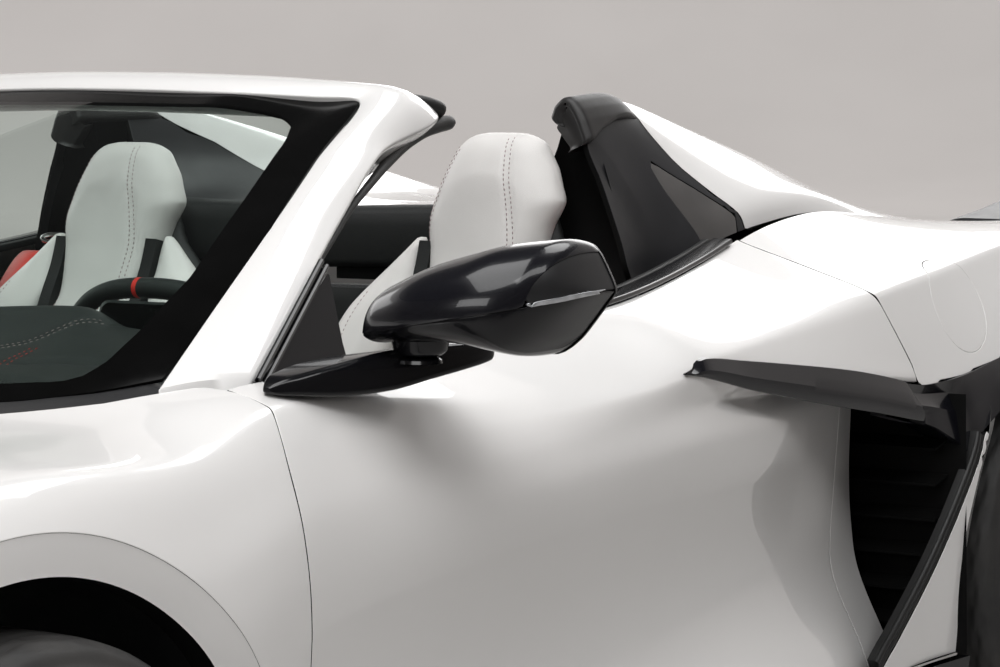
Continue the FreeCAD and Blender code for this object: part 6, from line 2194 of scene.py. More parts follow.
def stitches(b, pts, nrm, length=0.0050, pitch=0.0082, r=0.0008, mat=0, lift=0.0004):
    """A row of thread stitches: long slim eight-sided grains lying on the surface."""
    pts, nrm = np.asarray(pts, float), np.asarray(nrm, float)
    s = np.concatenate([[0], np.cumsum(np.linalg.norm(np.diff(pts, axis=0), axis=1))])
    if s[-1] < pitch:
        return b
    q = np.arange(pitch / 2, s[-1], pitch)
    C = np.stack([np.interp(q, s, pts[:, i]) for i in range(3)], -1)
    C2 = np.stack([np.interp(q + 0.0005, s, pts[:, i]) for i in range(3)], -1)
    C1 = np.stack([np.interp(q - 0.0005, s, pts[:, i]) for i in range(3)], -1)
    N = unit(np.stack([np.interp(q, s, nrm[:, i]) for i in range(3)], -1))
    T = unit(C2 - C1)
    W = unit(np.cross(N, T))
    V, F = [], []
    for c, t, w, n in zip(C + N * lift, T, W, N):
        k = len(V)
        V += [c - t * length / 2 - n * r * 0.6, c + t * length / 2 - n * r * 0.6]
        for u in (-0.28, 0.28):
            V += [c + t * length * u + w * r, c + t * length * u + n * r, c + t * length * u - w * r, c + t * length * u - n * r]
        for i in range(4):
            j = (i + 1) % 4
            F += [[k, k + 2 + j, k + 2 + i], [k + 1, k + 6 + i, k + 6 + j], [k + 2 + i, k + 2 + j, k + 6 + j, k + 6 + i]]
    b.add(np.array(V), F, None, mat)
    return b


def on_surface(V, F, pts2, plane, origin, direction):
    """Points and normals where lines through pts2 (in two axes) meet a mesh."""
    tree = BVHTree.FromPolygons([Vector(v) for v in V], F)
    third = [a for a in (0, 1, 2) if a not in plane][0]
    P, N = [], []
    for p in pts2:
        o = [0.0, 0.0, 0.0]
        o[plane[0]], o[plane[1]], o[third] = float(p[0]), float(p[1]), origin
        hit, n, _, _ = tree.ray_cast(Vector(o), Vector(direction))
        if hit is not None:
            P.append(tuple(hit))
            N.append(tuple(-n if n.dot(Vector(direction)) > 0 else n))
    return np.array(P), np.array(N)


# ---- seats: the back's middle with its head part, shoulder wings, cushion and bolsters
SY = np.array([(0.270, 0.104), (0.480, 0.170), (0.700, 0.262), (0.850, 0.318), (0.900, 0.338), (0.980, 0.356), (1.080, 0.380), (1.150, 0.404)])
STHK = np.array([(0.270, 0.100), (0.700, 0.090), (0.850, 0.084), (0.980, 0.082), (1.080, 0.066), (1.140, 0.052)])
HEAD = [(-0.020, 1.1405), (0.050, 1.1400), (0.084, 1.127), (0.112, 1.082), (0.131, 1.030), (0.112, 0.988), (0.104, 0.950), (0.100, 0.900), (0.094, 0.850),
        (0.125, 0.790), (0.155, 0.700), (0.170, 0.520), (0.160, 0.290), (-0.160, 0.290), (-0.170, 0.520), (-0.155, 0.700), (-0.125, 0.790), (-0.094, 0.850),
        (-0.106, 0.930), (-0.115, 0.985), (-0.114, 1.010), (-0.098, 1.060), (-0.070, 1.120), (-0.046, 1.137)]
HEAD_R = [0.03, 0.03, 0.02, 0.03, 0.012, 0.012, 0.03, 0.05, 0.05, 0.06, 0.08, 0.1, 0.05, 0.05, 0.1, 0.08, 0.06, 0.05, 0.05, 0.03, 0.03, 0.04, 0.03, 0.02]
WING = [(0.108, 0.972), (0.122, 0.966), (0.203, 0.885), (0.225, 0.858), (0.236, 0.815), (0.240, 0.740), (0.250, 0.480), (0.238, 0.300), (0.165, 0.292), (0.176, 0.520),
        (0.161, 0.700), (0.131, 0.795), (0.104, 0.870), (0.106, 0.930)]
WING_R = [0.006, 0.006, 0.02, 0.03, 0.03, 0.06, 0.1, 0.03, 0.01, 0.1, 0.08, 0.06, 0.04, 0.03]
BOLST = [(0.240, 0.055), (0.480, 0.068), (0.700, 0.058), (0.820, 0.036), (0.900, 0.020), (0.980, 0.004)]


def seat_y(z):
    return makima(SY[:, 0], SY[:, 1], np.asarray(z, float).ravel()).reshape(np.shape(z))


def seat_front(u, z):
    hw = np.interp(z, [0.29, 0.52, 0.70, 0.85, 0.99, 1.14], [0.165, 0.170, 0.155, 0.095, 0.115, 0.09])
    y = seat_y(z) - 0.013 * (1 - np.clip(abs(u) / hw, 0, 1) ** 2.2)
    y = y + 0.004 * np.exp(-0.5 * ((z - 0.86) / 0.02) ** 2)
    return np.stack([u, y, z], -1)


def seat_back(u, z):
    return np.stack([u, seat_y(z) + np.interp(z, STHK[:, 0], STHK[:, 1]), z], -1)


def wing_front_side(u, z):
    b = np.array(BOLST)
    inner = np.interp(z, [0.29, 0.52, 0.70, 0.80, 0.87, 0.98], [0.165, 0.176, 0.161, 0.131, 0.104, 0.108])
    ridge = np.interp(z, [0.29, 0.48, 0.74, 0.83, 0.90, 0.97], [0.212, 0.222, 0.212, 0.205, 0.170, 0.120])
    h = np.interp(z, b[:, 0], b[:, 1]) * smoothstep(0, 1, (u - inner) / np.maximum(ridge - inner, 0.01))
    y = seat_y(z) + 0.004 - h + 0.55 * np.clip(u - ridge, 0, 1) ** 1.15
    return np.stack([u, y, z], -1)


def wing_back_side(u, z):
    t = np.interp(z, [0.29, 0.70, 0.85, 0.97], [0.086, 0.078, 0.062, 0.036])
    return np.stack([u, seat_y(z) + t + 0.25 * np.clip(u - 0.15, 0, 1) ** 1.2, z], -1)


CUSH = round_poly([(-0.150, -0.335), (0.150, -0.335), (0.158, -0.10), (0.152, 0.118), (-0.152, 0.118), (-0.158, -0.10)], 0.03, 5)
SIDEB = round_poly([(0.156, -0.325), (0.222, -0.300), (0.236, -0.10), (0.232, 0.130), (0.158, 0.138), (0.163, -0.10)], [0.02, 0.04, 0.1, 0.03, 0.01, 0.1], 5)


def cush_top(u, y):
    z = np.interp(y, [-0.34, -0.30, -0.20, 0.0, 0.13], [0.352, 0.372, 0.366, 0.345, 0.330]) + 0.014 * (1 - np.clip(abs(u) / 0.16, 0, 1) ** 2.2)
    return np.stack([u, y, z], -1)


def cush_low(u, y):
    return np.stack([u, y, np.full(np.shape(u), 0.262)], -1)


def bol_top(u, y):
    z = np.interp(y, [-0.34, -0.28, -0.10, 0.14], [0.365, 0.392, 0.392, 0.372]) + 0.010 - 0.9 * (u - 0.195) ** 2 * 8
    return np.stack([u, y, z], -1)


def bol_low(u, y):
    return np.stack([u, y, np.full(np.shape(u), 0.248)], -1)


def shell_front(u, z):
    return np.stack([u, seat_y(z) + np.interp(z, [0.29, 0.85, 1.1], [0.075, 0.058, 0.050]), z], -1)


def shell_back(u, z):
    return np.stack([u, seat_y(z) + np.interp(z, [0.29, 0.70, 0.85, 0.98, 1.1], [0.128, 0.112, 0.100, 0.084, 0.060]), z], -1)


SHELL = round_poly([(0.0, 1.085), (0.080, 1.080), (0.108, 0.985), (0.120, 0.955), (0.205, 0.868), (0.222, 0.820), (0.232, 0.740), (0.240, 0.480), (0.228, 0.262), (-0.228, 0.262),
                    (-0.240, 0.480), (-0.232, 0.740), (-0.222, 0.820), (-0.205, 0.868), (-0.120, 0.955), (-0.108, 0.985), (-0.080, 1.080)], 0.03, 4)


def make_seats():
    head = round_poly(HEAD, HEAD_R, 5)
    wing = round_poly(WING, WING_R, 5)
    items = []
    st = 0.006
    items.append(("back", *pad_mesh(head, seat_front, seat_back, st, 0.030)))
    items.append(("wing", *pad_mesh(wing, wing_front_side, wing_back_side, st, 0.017)))
    items.append(("cushion", *pad_mesh(CUSH, cush_low, cush_top, st, 0.028)))
    items.append(("bolster", *pad_mesh(SIDEB, bol_low, bol_top, st, 0.020)))
    soft = soft_pads(items)
    # seams, as they run on the left-hand seat: (across, height)
    right = smooth_line([(0.036, 1.128), (0.040, 1.105), (0.046, 1.070), (0.060, 1.010), (0.066, 0.960), (0.060, 0.870), (0.070, 0.780), (0.085, 0.640), (0.095, 0.460), (0.096, 0.320)], 0.006)
    left = smooth_line([(-0.060, 1.112), (-0.085, 1.050), (-0.100, 0.985), (-0.092, 0.900), (-0.080, 0.840), (-0.095, 0.760), (-0.110, 0.620), (-0.112, 0.460), (-0.108, 0.320)], 0.006)
    cross = smooth_line([(-0.128, 0.720), (-0.05, 0.700), (0.05, 0.700), (0.128, 0.720)], 0.006)
    V, F = soft["back"]
    front = lambda P: P[:, 1] < seat_y(P[:, 2]) + 0.022
    V = groove(V, F, [right, left, cross], (0, 2), front=front)
    soft["back"] = (V, F)
    wl = smooth_line([(0.1905, 0.880), (0.206, 0.830), (0.214, 0.740), (0.222, 0.500), (0.212, 0.330)], 0.006)
    V, F = soft["wing"]
    V = groove(V, F, [wl], (0, 2), depth=0.0016, width=0.003, front=lambda P: P[:, 1] < seat_y(P[:, 2]) + 0.03)
    soft["wing"] = (V, F)
    V, F = soft["cushion"]
    lines = [[(-0.115, -0.318), (-0.118, 0.10)], [(0.115, -0.318), (0.118, 0.10)]] + [[(-0.115, y), (0.115, y)] for y in (-0.21, -0.11, -0.01)]
    V = groove(V, F, lines, (0, 1), depth=-0.004, width=0.005, front=lambda P: P[:, 2] > 0.32)
    soft["cushion"] = (V, F)
    for side, sx in (("left", 0.382), ("right", -0.382)):
        dz = 0.0 if sx > 0 else -0.020

        def place(Q, flip=1.0):
            Q = np.asarray(Q, float).copy()
            Q[:, 0] = Q[:, 0] * flip + sx + 0.014 * np.clip((Q[:, 2] - 0.70) / 0.25, 0, 1)
            Q[:, 1] += 0.012 * np.clip((Q[:, 2] - 0.70) / 0.25, 0, 1)
            Q[:, 2] = np.where(Q[:, 2] > 0.75, Q[:, 2] + dz * (Q[:, 2] - 0.75) / 0.39, Q[:, 2])
            return Q

        def piece(name, V, F, mats, ma=0, pad=True, slot="leather", flip=1.0):
            b = Bits()
            Q = place(V, flip)
            FF = F if flip > 0 else [f[::-1] for f in F]
            b.add(Q, FF, None, ma)
            ob = b.make(name, mats, "chassis", ("seats",), slot, custom=False)
            return ob, Q, FF

        th = Bits()
        ob, Q, FF = piece("seat_back_" + side, *soft["back"], [M["white_hide"]])
        for ln, offs in ((right, (-0.0045, 0.0045)), (left, (-0.004, 0.004)), (cross, (0.004,))):
            t = unit(np.gradient(ln, axis=0))
            nrm2 = np.stack([-t[:, 1], t[:, 0]], -1)
            for o in offs:
                l2 = ln + nrm2 * o
                l3 = place(np.stack([l2[:, 0], np.zeros(len(l2)), l2[:, 1]], -1))
                P, N = on_surface(Q, FF, l3[:, [0, 2]], (0, 2), -0.6, (0, 1, 0))
                if len(P) > 3:
                    stitches(th, P, N)
        for flip, tag in ((1.0, "outer"), (-1.0, "inner")):
            ob, Q, FF = piece("seat_wing_%s_%s" % (tag, side), *soft["wing"], [M["white_hide"]], flip=flip)
            for o in (-0.004,):
                l3 = place(np.stack([wl[:, 0] + o, np.zeros(len(wl)), wl[:, 1]], -1), flip)
                P, N = on_surface(Q, FF, l3[:, [0, 2]], (0, 2), -0.6, (0, 1, 0))
                if len(P) > 3:
                    stitches(th, P, N)
            ob, Q, FF = piece("seat_bolster_%s_%s" % (tag, side), *soft["bolster"], [M["white_hide"]], flip=flip)
        # the cushion takes the darker copy of the white hide, as painted shade
        piece("seat_cushion_" + side, *soft["cushion"], [M["white_hide_shaded"]])
        th.make("seat_thread_" + side, [M["thread"]], "chassis", ("seats",), None, custom=False)
        # shell, base frame and rails
        b = Bits()
        V, F = pad_mesh(SHELL, shell_front, shell_back, 0.009, 0.018)
        b.add(place(V), F, None, 0)
        for flip in (1, -1):
            # black liner between the middle pad and the wing
            path = np.array([(0.100 * flip, seat_y(z) + 0.030, z) for z in np.linspace(0.80, 0.955, 12)])
            V, F = sweep(place(path), [(-0.012, -0.020), (0.012, -0.020), (0.012, 0.030), (-0.012, 0.030)], frame_dirs=np.tile([1.0, 0, 0], (12, 1)))
            b.add(V, F, None, 0, smooth=False)
            path = place(np.array([(0.175 * flip, y, 0.172) for y in np.linspace(-0.300, 0.140, 8)]))
            V, F = sweep(path, [(-0.015, -0.035), (0.015, -0.035), (0.015, -0.008), (0.008, -0.004), (0.008, 0.030), (-0.008, 0.030), (-0.008, -0.004), (-0.015, -0.008)], up=(0, 0, 1))
            b.add(V, F, None, 1, smooth=False)
        base = round_poly([(-0.215, -0.318), (0.215, -0.318), (0.232, -0.10), (0.228, 0.150), (-0.228, 0.150), (-0.232, -0.10)], 0.03, 4)
        V, F = pad_mesh(base, lambda u, y: np.stack([u, y, np.full(np.shape(u), 0.206)], -1), lambda u, y: np.stack([u, y, np.full(np.shape(u), 0.268)], -1), 0.012, 0.014)
        b.add(place(V), F, None, 0)
        b.make("seat_frame_" + side, [M["black_hide"], M["steel"]], "chassis", ("seats",), "black_plastic", custom=False)


make_seats()


def ribbon(path, width, thick, wdir, n=None):
    path = smooth_line(path, 0.012)
    prof = [(-width / 2, -thick / 2), (width / 2, -thick / 2), (width / 2, thick / 2), (-width / 2, thick / 2)]
    W = np.broadcast_to(np.asarray(wdir, float), path.shape) if np.ndim(wdir) == 1 else wdir
    return sweep(path, prof, frame_dirs=W)


def belts():
    b = Bits()
    for sx in (1, -1):
        V, F = ribbon([(sx * 0.566, 0.462, 0.868), (sx * 0.568, 0.440, 0.912), (sx * 0.570, 0.405, 0.918), (sx * 0.574, 0.360, 0.880), (sx * 0.590, 0.300, 0.780),
                       (sx * 0.628, 0.215, 0.600), (sx * 0.655, 0.150, 0.440), (sx * 0.662, 0.110, 0.330)], 0.050, 0.0024, (1, 0, 0.0))
        b.add(V, F, None, 0)
        V, F = ribbon([(sx * 0.566, 0.462, 0.868), (sx * 0.566, 0.440, 0.902), (sx * 0.566, 0.412, 0.906), (sx * 0.572, 0.350, 0.862), (sx * 0.592, 0.280, 0.760),
                       (sx * 0.630, 0.200, 0.590), (sx * 0.657, 0.140, 0.430)], 0.048, 0.0024, (1, 0, 0.1))
        b.add(V, F, None, 0)
        # bright guide loop at the shoulder
        loop = np.array([(sx * 0.514 + 0.034 * math.cos(a), 0.405 + 0.004 * math.sin(a), 0.944 + 0.0075 * math.sin(a)) for a in np.linspace(0, 2 * math.pi, 25)[:-1]])
        V, F = sweep(loop, circle(0.0042, 8), closed=True, frame_dirs=np.tile([0.0, 1.0, 0.0], (24, 1)))
        b.add(V, F, None, 1)
        # buckle end beside the tunnel
        V, F = sweep([(sx * 0.132, 0.060, 0.300), (sx * 0.134, 0.046, 0.350), (sx * 0.135, 0.036, 0.400)], [(-0.014, -0.024), (0.014, -0.024), (0.014, 0.024), (-0.014, 0.024)], up=(0, 1, 0))
        b.add(V, F, None, 2, smooth=False)
    b.make("belts", [M["belt_red"], M["chrome"], M["plastic"]], "chassis", ("seats",), "leather", custom=False)


belts()

# ---- dashboard
DROWS = np.array([-0.846, -0.790, -0.740, -0.680, -0.625, -0.580, -0.550, -0.530, -0.508, -0.500, -0.555, -0.625])
DASH = {
    -0.700: (.786, .797, .806, .812, .816, .816, .814, .808, .790, .740, .600, .560),
    -0.150: (.796, .812, .822, .828, .832, .834, .832, .826, .806, .750, .600, .560),
    0.040: (.800, .820, .832, .841, .848, .855, .860, .856, .834, .770, .600, .560),
    0.120: (.806, .829, .844, .855, .866, .888, .905, .903, .878, .800, .620, .560),
    0.180: (.812, .838, .850, .860, .873, .900, .917, .915, .890, .810, .640, .560),
    0.300: (.816, .842, .853, .863, .879, .905, .923, .921, .895, .815, .650, .560),
    0.345: (.817, .843, .854, .864, .883, .908, .923, .920, .894, .815, .650, .560),
    0.372: (.817, .843, .854, .865, .886, .906, .914, .911, .888, .812, .650, .560),
    0.396: (.817, .843, .854, .866, .886, .898, .902, .899, .880, .806, .650, .560),
    0.450: (.814, .840, .852, .864, .882, .892, .896, .893, .872, .800, .640, .560),
    0.530: (.806, .832, .844, .856, .870, .878, .880, .877, .858, .790, .620, .560),
    0.600: (.794, .816, .828, .836, .842, .845, .846, .842, .822, .770, .600, .560),
    0.700: (.780, .794, .804, .810, .815, .816, .814, .808, .790, .740, .600, .560),
}


def dash_surface(nx=190, nt=90):
    xs = np.array(sorted(DASH))
    Z = np.array([DASH[float(x)] for x in xs])
    X = np.linspace(-0.700, 0.700, nx)
    Zx = makima(xs, Z, X)
    s = np.concatenate([[0], np.cumsum(np.hypot(np.diff(DROWS), np.diff(Z.mean(0))))])
    q = np.linspace(0, s[-1], nt)
    Yq = makima(s, DROWS, q)
    Zq = makima(s, Zx.T, q)
    Zq = gauss(Zq, 1.0, 1)
    P = np.stack([np.broadcast_to(X, Zq.shape), np.broadcast_to(Yq[:, None], Zq.shape), Zq], -1).copy()
    return X, q, s, P


def dashboard():
    X, q, s, P = dash_surface()
    b = Bits()
    # a fold that climbs to the hood's end, and a parting line along the lower pad
    fold = smooth_line([(-0.30, -0.600), (0.10, -0.640), (0.20, -0.640), (0.299, -0.620), (0.34, -0.595), (0.378, -0.562), (0.400, -0.545)], 0.004)
    low = smooth_line([(-0.66, -0.700), (-0.2, -0.705), (0.1, -0.700), (0.30, -0.690), (0.45, -0.670), (0.56, -0.640), (0.64, -0.600)], 0.004)
    top = P[..., 2] > 0.70
    for ln, dp, wd in ((fold, 0.0030, 0.0040), (low, 0.0050, 0.0045)):
        d = np.full(P.shape[:2], 9.0)
        for a, c in zip(ln[:-1:3], ln[3::3]):
            ab = c - a
            t = np.clip(((P[..., :2] - a) @ ab) / (ab @ ab), 0, 1)
            d = np.minimum(d, np.linalg.norm(P[..., :2] - a - t[..., None] * ab, axis=-1))
        P[..., 2] -= np.where(top, dp * np.exp(-0.5 * (d / wd) ** 2), 0)
    # sunk crescent for the speaker grille
    cres = round_poly([(0.10, -0.800), (0.40, -0.812), (0.52, -0.800), (0.56, -0.772), (0.46, -0.752), (0.28, -0.742), (0.10, -0.748)], 0.03, 5)
    sd = sdist(cres, P[..., 0], P[..., 1])
    P[..., 2] -= np.where(top, 0.004 * smoothstep(-0.003, 0.003, sd), 0)
    N = grid_normals(P)
    if N[20, 100, 2] < 0:
        N = -N
    F = grid_faces(P.shape[0], P.shape[1])
    c = P.reshape(-1, 3)[F].mean(1)
    sdc = sdist(cres, c[:, 0], c[:, 1])
    mats = np.where((sdc > 0.0) & (c[:, 2] > 0.7), 1, 0)
    mats = np.where(c[:, 2] < 0.74, 2, mats)
    b.add(P.reshape(-1, 3), F, N.reshape(-1, 3), list(mats))
    # closing skin below and behind: floor of the dash and its two ends
    low_e = P[-1]
    first = P[0]
    n = len(X)
    V = np.vstack([first, first - [0, 0, 0.22], low_e])
    F2 = [[i, i + 1, n + i + 1, n + i] for i in range(n - 1)] + [[n + i, n + i + 1, 2 * n + i + 1, 2 * n + i] for i in range(n - 1)]
    b.add(V, F2, None, 2, smooth=False)
    for col in (0, -1):
        ring = np.vstack([P[:, col], first[col] - [0, 0, 0.22]])
        b.add(ring, [list(range(len(ring)))], None, 2, smooth=False)
    # small holes of the speaker grille shown as near-black discs on a half-drop grid: painted shade in place of real
    # holes
    tree = BVHTree.FromPolygons([Vector(v) for v in P.reshape(-1, 3)], [list(map(int, f)) for f in F])
    V, Fd = [], []
    y = -0.810
    row = 0
    while y < -0.742:
        x = 0.10 + (0.0022 if row % 2 else 0)
        while x < 0.56:
            if sdist(cres, np.array([x]), np.array([y]))[0] > 0.004:
                hit, nn_, _, _ = tree.ray_cast(Vector((x, y, 1.2)), Vector((0, 0, -1)))
                if hit is not None:
                    k = len(V)
                    r = 0.0012
                    for a in range(6):
                        V.append((hit.x + r * math.cos(a * math.pi / 3), hit.y + r * math.sin(a * math.pi / 3), hit.z + 0.0004 - 0.25 * 0))
                    Fd.append([k, k + 1, k + 2, k + 3, k + 4, k + 5])
            x += 0.0066
        y += 0.0058
        row += 1
    V = np.array(V)
    top_ring = V.copy()
    low_ring = V.copy()
    low_ring[:, 2] -= 0.0016
    m = len(V)
    Fh = []
    for f in Fd:
        Fh.append(f)
        Fh.append([i + m for i in reversed(f)])
        for a, c2 in zip(f, f[1:] + f[:1]):
            Fh.append([a, a + m, c2 + m, c2])
    b.add(np.vstack([top_ring, low_ring]), Fh, None, 3, smooth=False)
    # thread along the fold
    for off in (-0.004, 0.004):
        pts = fold[(fold[:, 0] > -0.30) & (fold[:, 0] < 0.39)]
        t = unit(np.gradient(pts, axis=0))
        pts2 = pts + np.stack([-t[:, 1], t[:, 0]], -1) * off
        Ps, Ns = on_surface(P.reshape(-1, 3), [list(map(int, f)) for f in F], pts2, (0, 1), 1.3, (0, 0, -1))
        if len(Ps) > 4:
            stitches(b, Ps, Ns, mat=4, r=0.0006)
    for x0 in (0.318, 0.330):
        ys = np.linspace(-0.690, -0.640, 14)
        Ps, Ns = on_surface(P.reshape(-1, 3), [list(map(int, f)) for f in F], np.stack([np.linspace(x0, x0 + 0.012, 14), ys], -1), (0, 1), 1.3, (0, 0, -1))
        if len(Ps) > 4:
            stitches(b, Ps, Ns, mat=5, r=0.0007)
    # display behind the wheel, and the wide one leaning to the driver
    def slab(cx, cy, cz, w, h, t, lean, turn=0.0, mat_face=6, mat_back=2):
        o = round_poly([(-w / 2, -h / 2), (w / 2, -h / 2), (w / 2, h / 2), (-w / 2, h / 2)], min(w, h) * 0.14, 6)
        n = len(o)
        rings = []
        for inset, d in ((0.004, -t / 2), (0.0, -t / 2 + 0.004), (0.0, t / 2 - 0.003), (0.003, t / 2)):
            k = 1 - inset / (min(w, h) / 2)
            rings.append(np.stack([o[:, 0] * k, np.full(n, d), o[:, 1] * k], -1))
        R = np.array(rings).reshape(-1, 3)
        cl, sl = math.cos(lean), math.sin(lean)
        R = np.stack([R[:, 0], R[:, 1] * cl - R[:, 2] * -sl, R[:, 2] * cl - R[:, 1] * sl], -1)
        ct, st_ = math.cos(turn), math.sin(turn)
        R = np.stack([R[:, 0] * ct - R[:, 1] * st_, R[:, 0] * st_ + R[:, 1] * ct, R[:, 2]], -1) + [cx, cy, cz]
        F3 = [list(f) for f in grid_faces(4, n, closed_u=True)]
        b.add(R, F3 + [list(range(n))], None, mat_back)
        b.add(R[3 * n:], [list(reversed(range(n)))], None, mat_face, smooth=False)
    slab(0.420, -0.506, 0.872, 0.170, 0.116, 0.022, 0.20)
    slab(0.085, -0.480, 0.800, 0.235, 0.130, 0.020, 0.32, 0.16)
    # outlets along the rear face
    for x0 in (-0.62, -0.44, -0.12, 0.245, 0.60):
        o = np.array([(x0 + 0.042 * math.cos(a) * 1.1, -0.497, 0.755 + 0.018 * math.sin(a)) for a in np.linspace(0, 2 * math.pi, 33)[:-1]])
        V, F3 = sweep(o, circle(0.0028, 8), closed=True, frame_dirs=np.tile([0.0, 1.0, 0.0], (32, 1)))
        b.add(V, F3, None, 7)
        for dz in (-0.009, 0.0, 0.009):
            V, F3 = sweep([(x0 - 0.038, -0.497, 0.755 + dz), (x0 + 0.038, -0.497, 0.755 + dz)], [(-0.010, -0.0012), (0.010, -0.0012), (0.010, 0.0012), (-0.010, 0.0012)], frame_dirs=np.tile([0.0, 1.0, 0.4], (2, 1)))
            b.add(V, F3, None, 8, smooth=False)
    # column shroud and stalks
    ax = np.array([0, math.cos(math.radians(24)), math.sin(math.radians(24))])
    c0 = np.array([0.376, -0.375, 0.786])
    path = np.array([c0 + ax * d for d in np.linspace(-0.185, -0.072, 8)])
    V, F3 = tapered(path, [0.050, 0.052, 0.053, 0.053, 0.052, 0.050, 0.047, 0.040], 28)
    b.add(V, F3, None, 8)
    for sx in (-1, 1):
        path = np.array([c0 + ax * -0.105 + np.array([sx * d, 0, 0]) for d in np.linspace(0.045, 0.140, 8)])
        V, F3 = tapered(path, np.array([0.006, 0.0065, 0.0075, 0.0085, 0.0095, 0.0100, 0.0095, 0.007]), 14, 0.8)
        b.add(V, F3, None, 8)
    b.make("dashboard", [M["black_hide"], M["black_hide"], M["black_hide"], M["duct"], M["thread"], M["thread_red"], M["screen"], M["chrome"], M["plastic"]], "chassis", ("dashboard",), "leather")


dashboard()


def steering_wheel():
    c0 = np.array([0.376, -0.375, 0.786])
    ang = math.radians(24)
    ax = np.array([0, math.cos(ang), math.sin(ang)])
    ex = np.array([1.0, 0, 0])
    ey = np.array([0, -math.sin(ang), math.cos(ang)])
    b = Bits()
    n = 160
    th = np.linspace(0, 2 * math.pi, n + 1)[:-1]
    out = np.cos(th)[:, None] * ex + np.sin(th)[:, None] * ey
    fat = (np.abs(np.cos(th)) ** 2.5 + np.abs(np.sin(th)) ** 2.5) ** (-1 / 2.5)
    ctr = c0 + fat[:, None] * (0.178 * np.cos(th)[:, None] * ex + 0.172 * np.sin(th)[:, None] * ey)
    grip = 1 + 0.10 * np.exp(-0.5 * ((np.abs(np.cos(th)) - 1) / 0.10) ** 2)
    m = 20
    ph = np.linspace(0, 2 * math.pi, m + 1)[:-1]
    ru, rv = 0.0140, 0.0158
    P = ctr[:, None] + out[:, None] * (ru * grip[:, None] * np.cos(ph))[..., None] + ax * (rv * grip[:, None] * np.sin(ph))[..., None]
    # a sewn joint runs round the inner side
    dent = np.exp(-0.5 * ((ph - math.pi) / 0.10) ** 2) * 0.0012
    P = P - (-out[:, None]) * dent[None, :, None]
    F = grid_faces(n, m, closed_u=True, closed_v=True)
    mark = math.radians(90 + 5.5)
    mats = []
    for f in F:
        a = th[int(f[0]) // m]
        mats.append(1 if abs(a - mark) < 0.020 else 0)
    b.add(P.reshape(-1, 3), F, None, mats)
    # stitches on the inner side
    inner = ctr - out * (ru - 0.0004)
    inner = np.vstack([inner, inner[:1]])
    nrm = np.vstack([-out, -out[:1]])
    for o in (-0.003, 0.003):
        stitches(b, inner + ax * o, nrm, mat=3, length=0.0045, pitch=0.0075, r=0.0006)
    # airbag cover: rounded shield
    sh = round_poly([(-0.062, 0.040), (0.062, 0.040), (0.066, 0.0), (0.042, -0.050), (-0.042, -0.050), (-0.066, 0.0)], 0.018, 6)
    k = len(sh)
    rings = []
    for sc, d in ((0.80, -0.058), (0.98, -0.052), (1.0, -0.030), (0.98, -0.012), (0.88, -0.004), (0.60, 0.000), (0.25, 0.002)):
        rings.append(c0 + (sh[:, :1] * sc) * ex + (sh[:, 1:] * sc) * ey + ax * d)
    R = np.array(rings).reshape(-1, 3)
    b.add(R, [list(f) for f in grid_faces(7, k, closed_u=True)] + [list(range(k)), [6 * k + i for i in reversed(range(k))]], None, 0)
    # spokes, slim satin plates
    for a0, w0, w1 in ((0.0, 0.020, 0.015), (math.pi, 0.020, 0.015), (1.5 * math.pi, 0.024, 0.019)):
        d = math.cos(a0) * ex + math.sin(a0) * ey
        w = -math.sin(a0) * ex + math.cos(a0) * ey
        rr = np.linspace(0.048, 0.162, 14)
        sec = []
        for r in rr:
            t = (r - 0.048) / 0.114
            hw = w0 + (w1 - w0) * t + 0.006 * max(0, (t - 0.75) / 0.25) ** 2
            dep = -0.020 + 0.016 * t
            pts = [(-hw, -0.006), (-hw * 0.7, -0.0095), (hw * 0.7, -0.0095), (hw, -0.006), (hw, 0.003), (hw * 0.75, 0.0075), (-hw * 0.75, 0.0075), (-hw, 0.003)]
            sec.append([c0 + d * r + w * u + ax * (dep + v) for u, v in pts])
        S = np.array(sec).reshape(-1, 3)
        b.add(S, [list(f) for f in grid_faces(14, 8, closed_u=True)] + [list(range(8)), [13 * 8 + i for i in reversed(range(8))]], None, 4)
        # switch pad on the two side spokes
        if w0 == 0.020:
            o = round_poly([(0.066, -0.013), (0.118, -0.011), (0.118, 0.011), (0.066, 0.013)], 0.005, 4)
            kk = len(o)
            rg = []
            for sc, dd in ((1.0, 0.0), (0.98, 0.0035), (0.9, 0.0045)):
                cen = o.mean(0)
                oo = cen + (o - cen) * sc
                t = (oo[:, :1] - 0.048) / 0.114
                rg.append(c0 + oo[:, :1] * d + oo[:, 1:] * w + ax * (-0.020 + 0.016 * t + 0.0070 + dd))
            RG = np.array(rg).reshape(-1, 3)
            b.add(RG, [list(f) for f in grid_faces(3, kk, closed_u=True)] + [[2 * kk + i for i in reversed(range(kk))]], None, 5)
    b.make("steering_wheel", [M["black_hide"], M["red_mark"], M["plastic"], M["thread_red"], M["alloy"], M["plastic"]], "steering_wheel", ("steering_wheel",), "leather", custom=False)


steering_wheel()


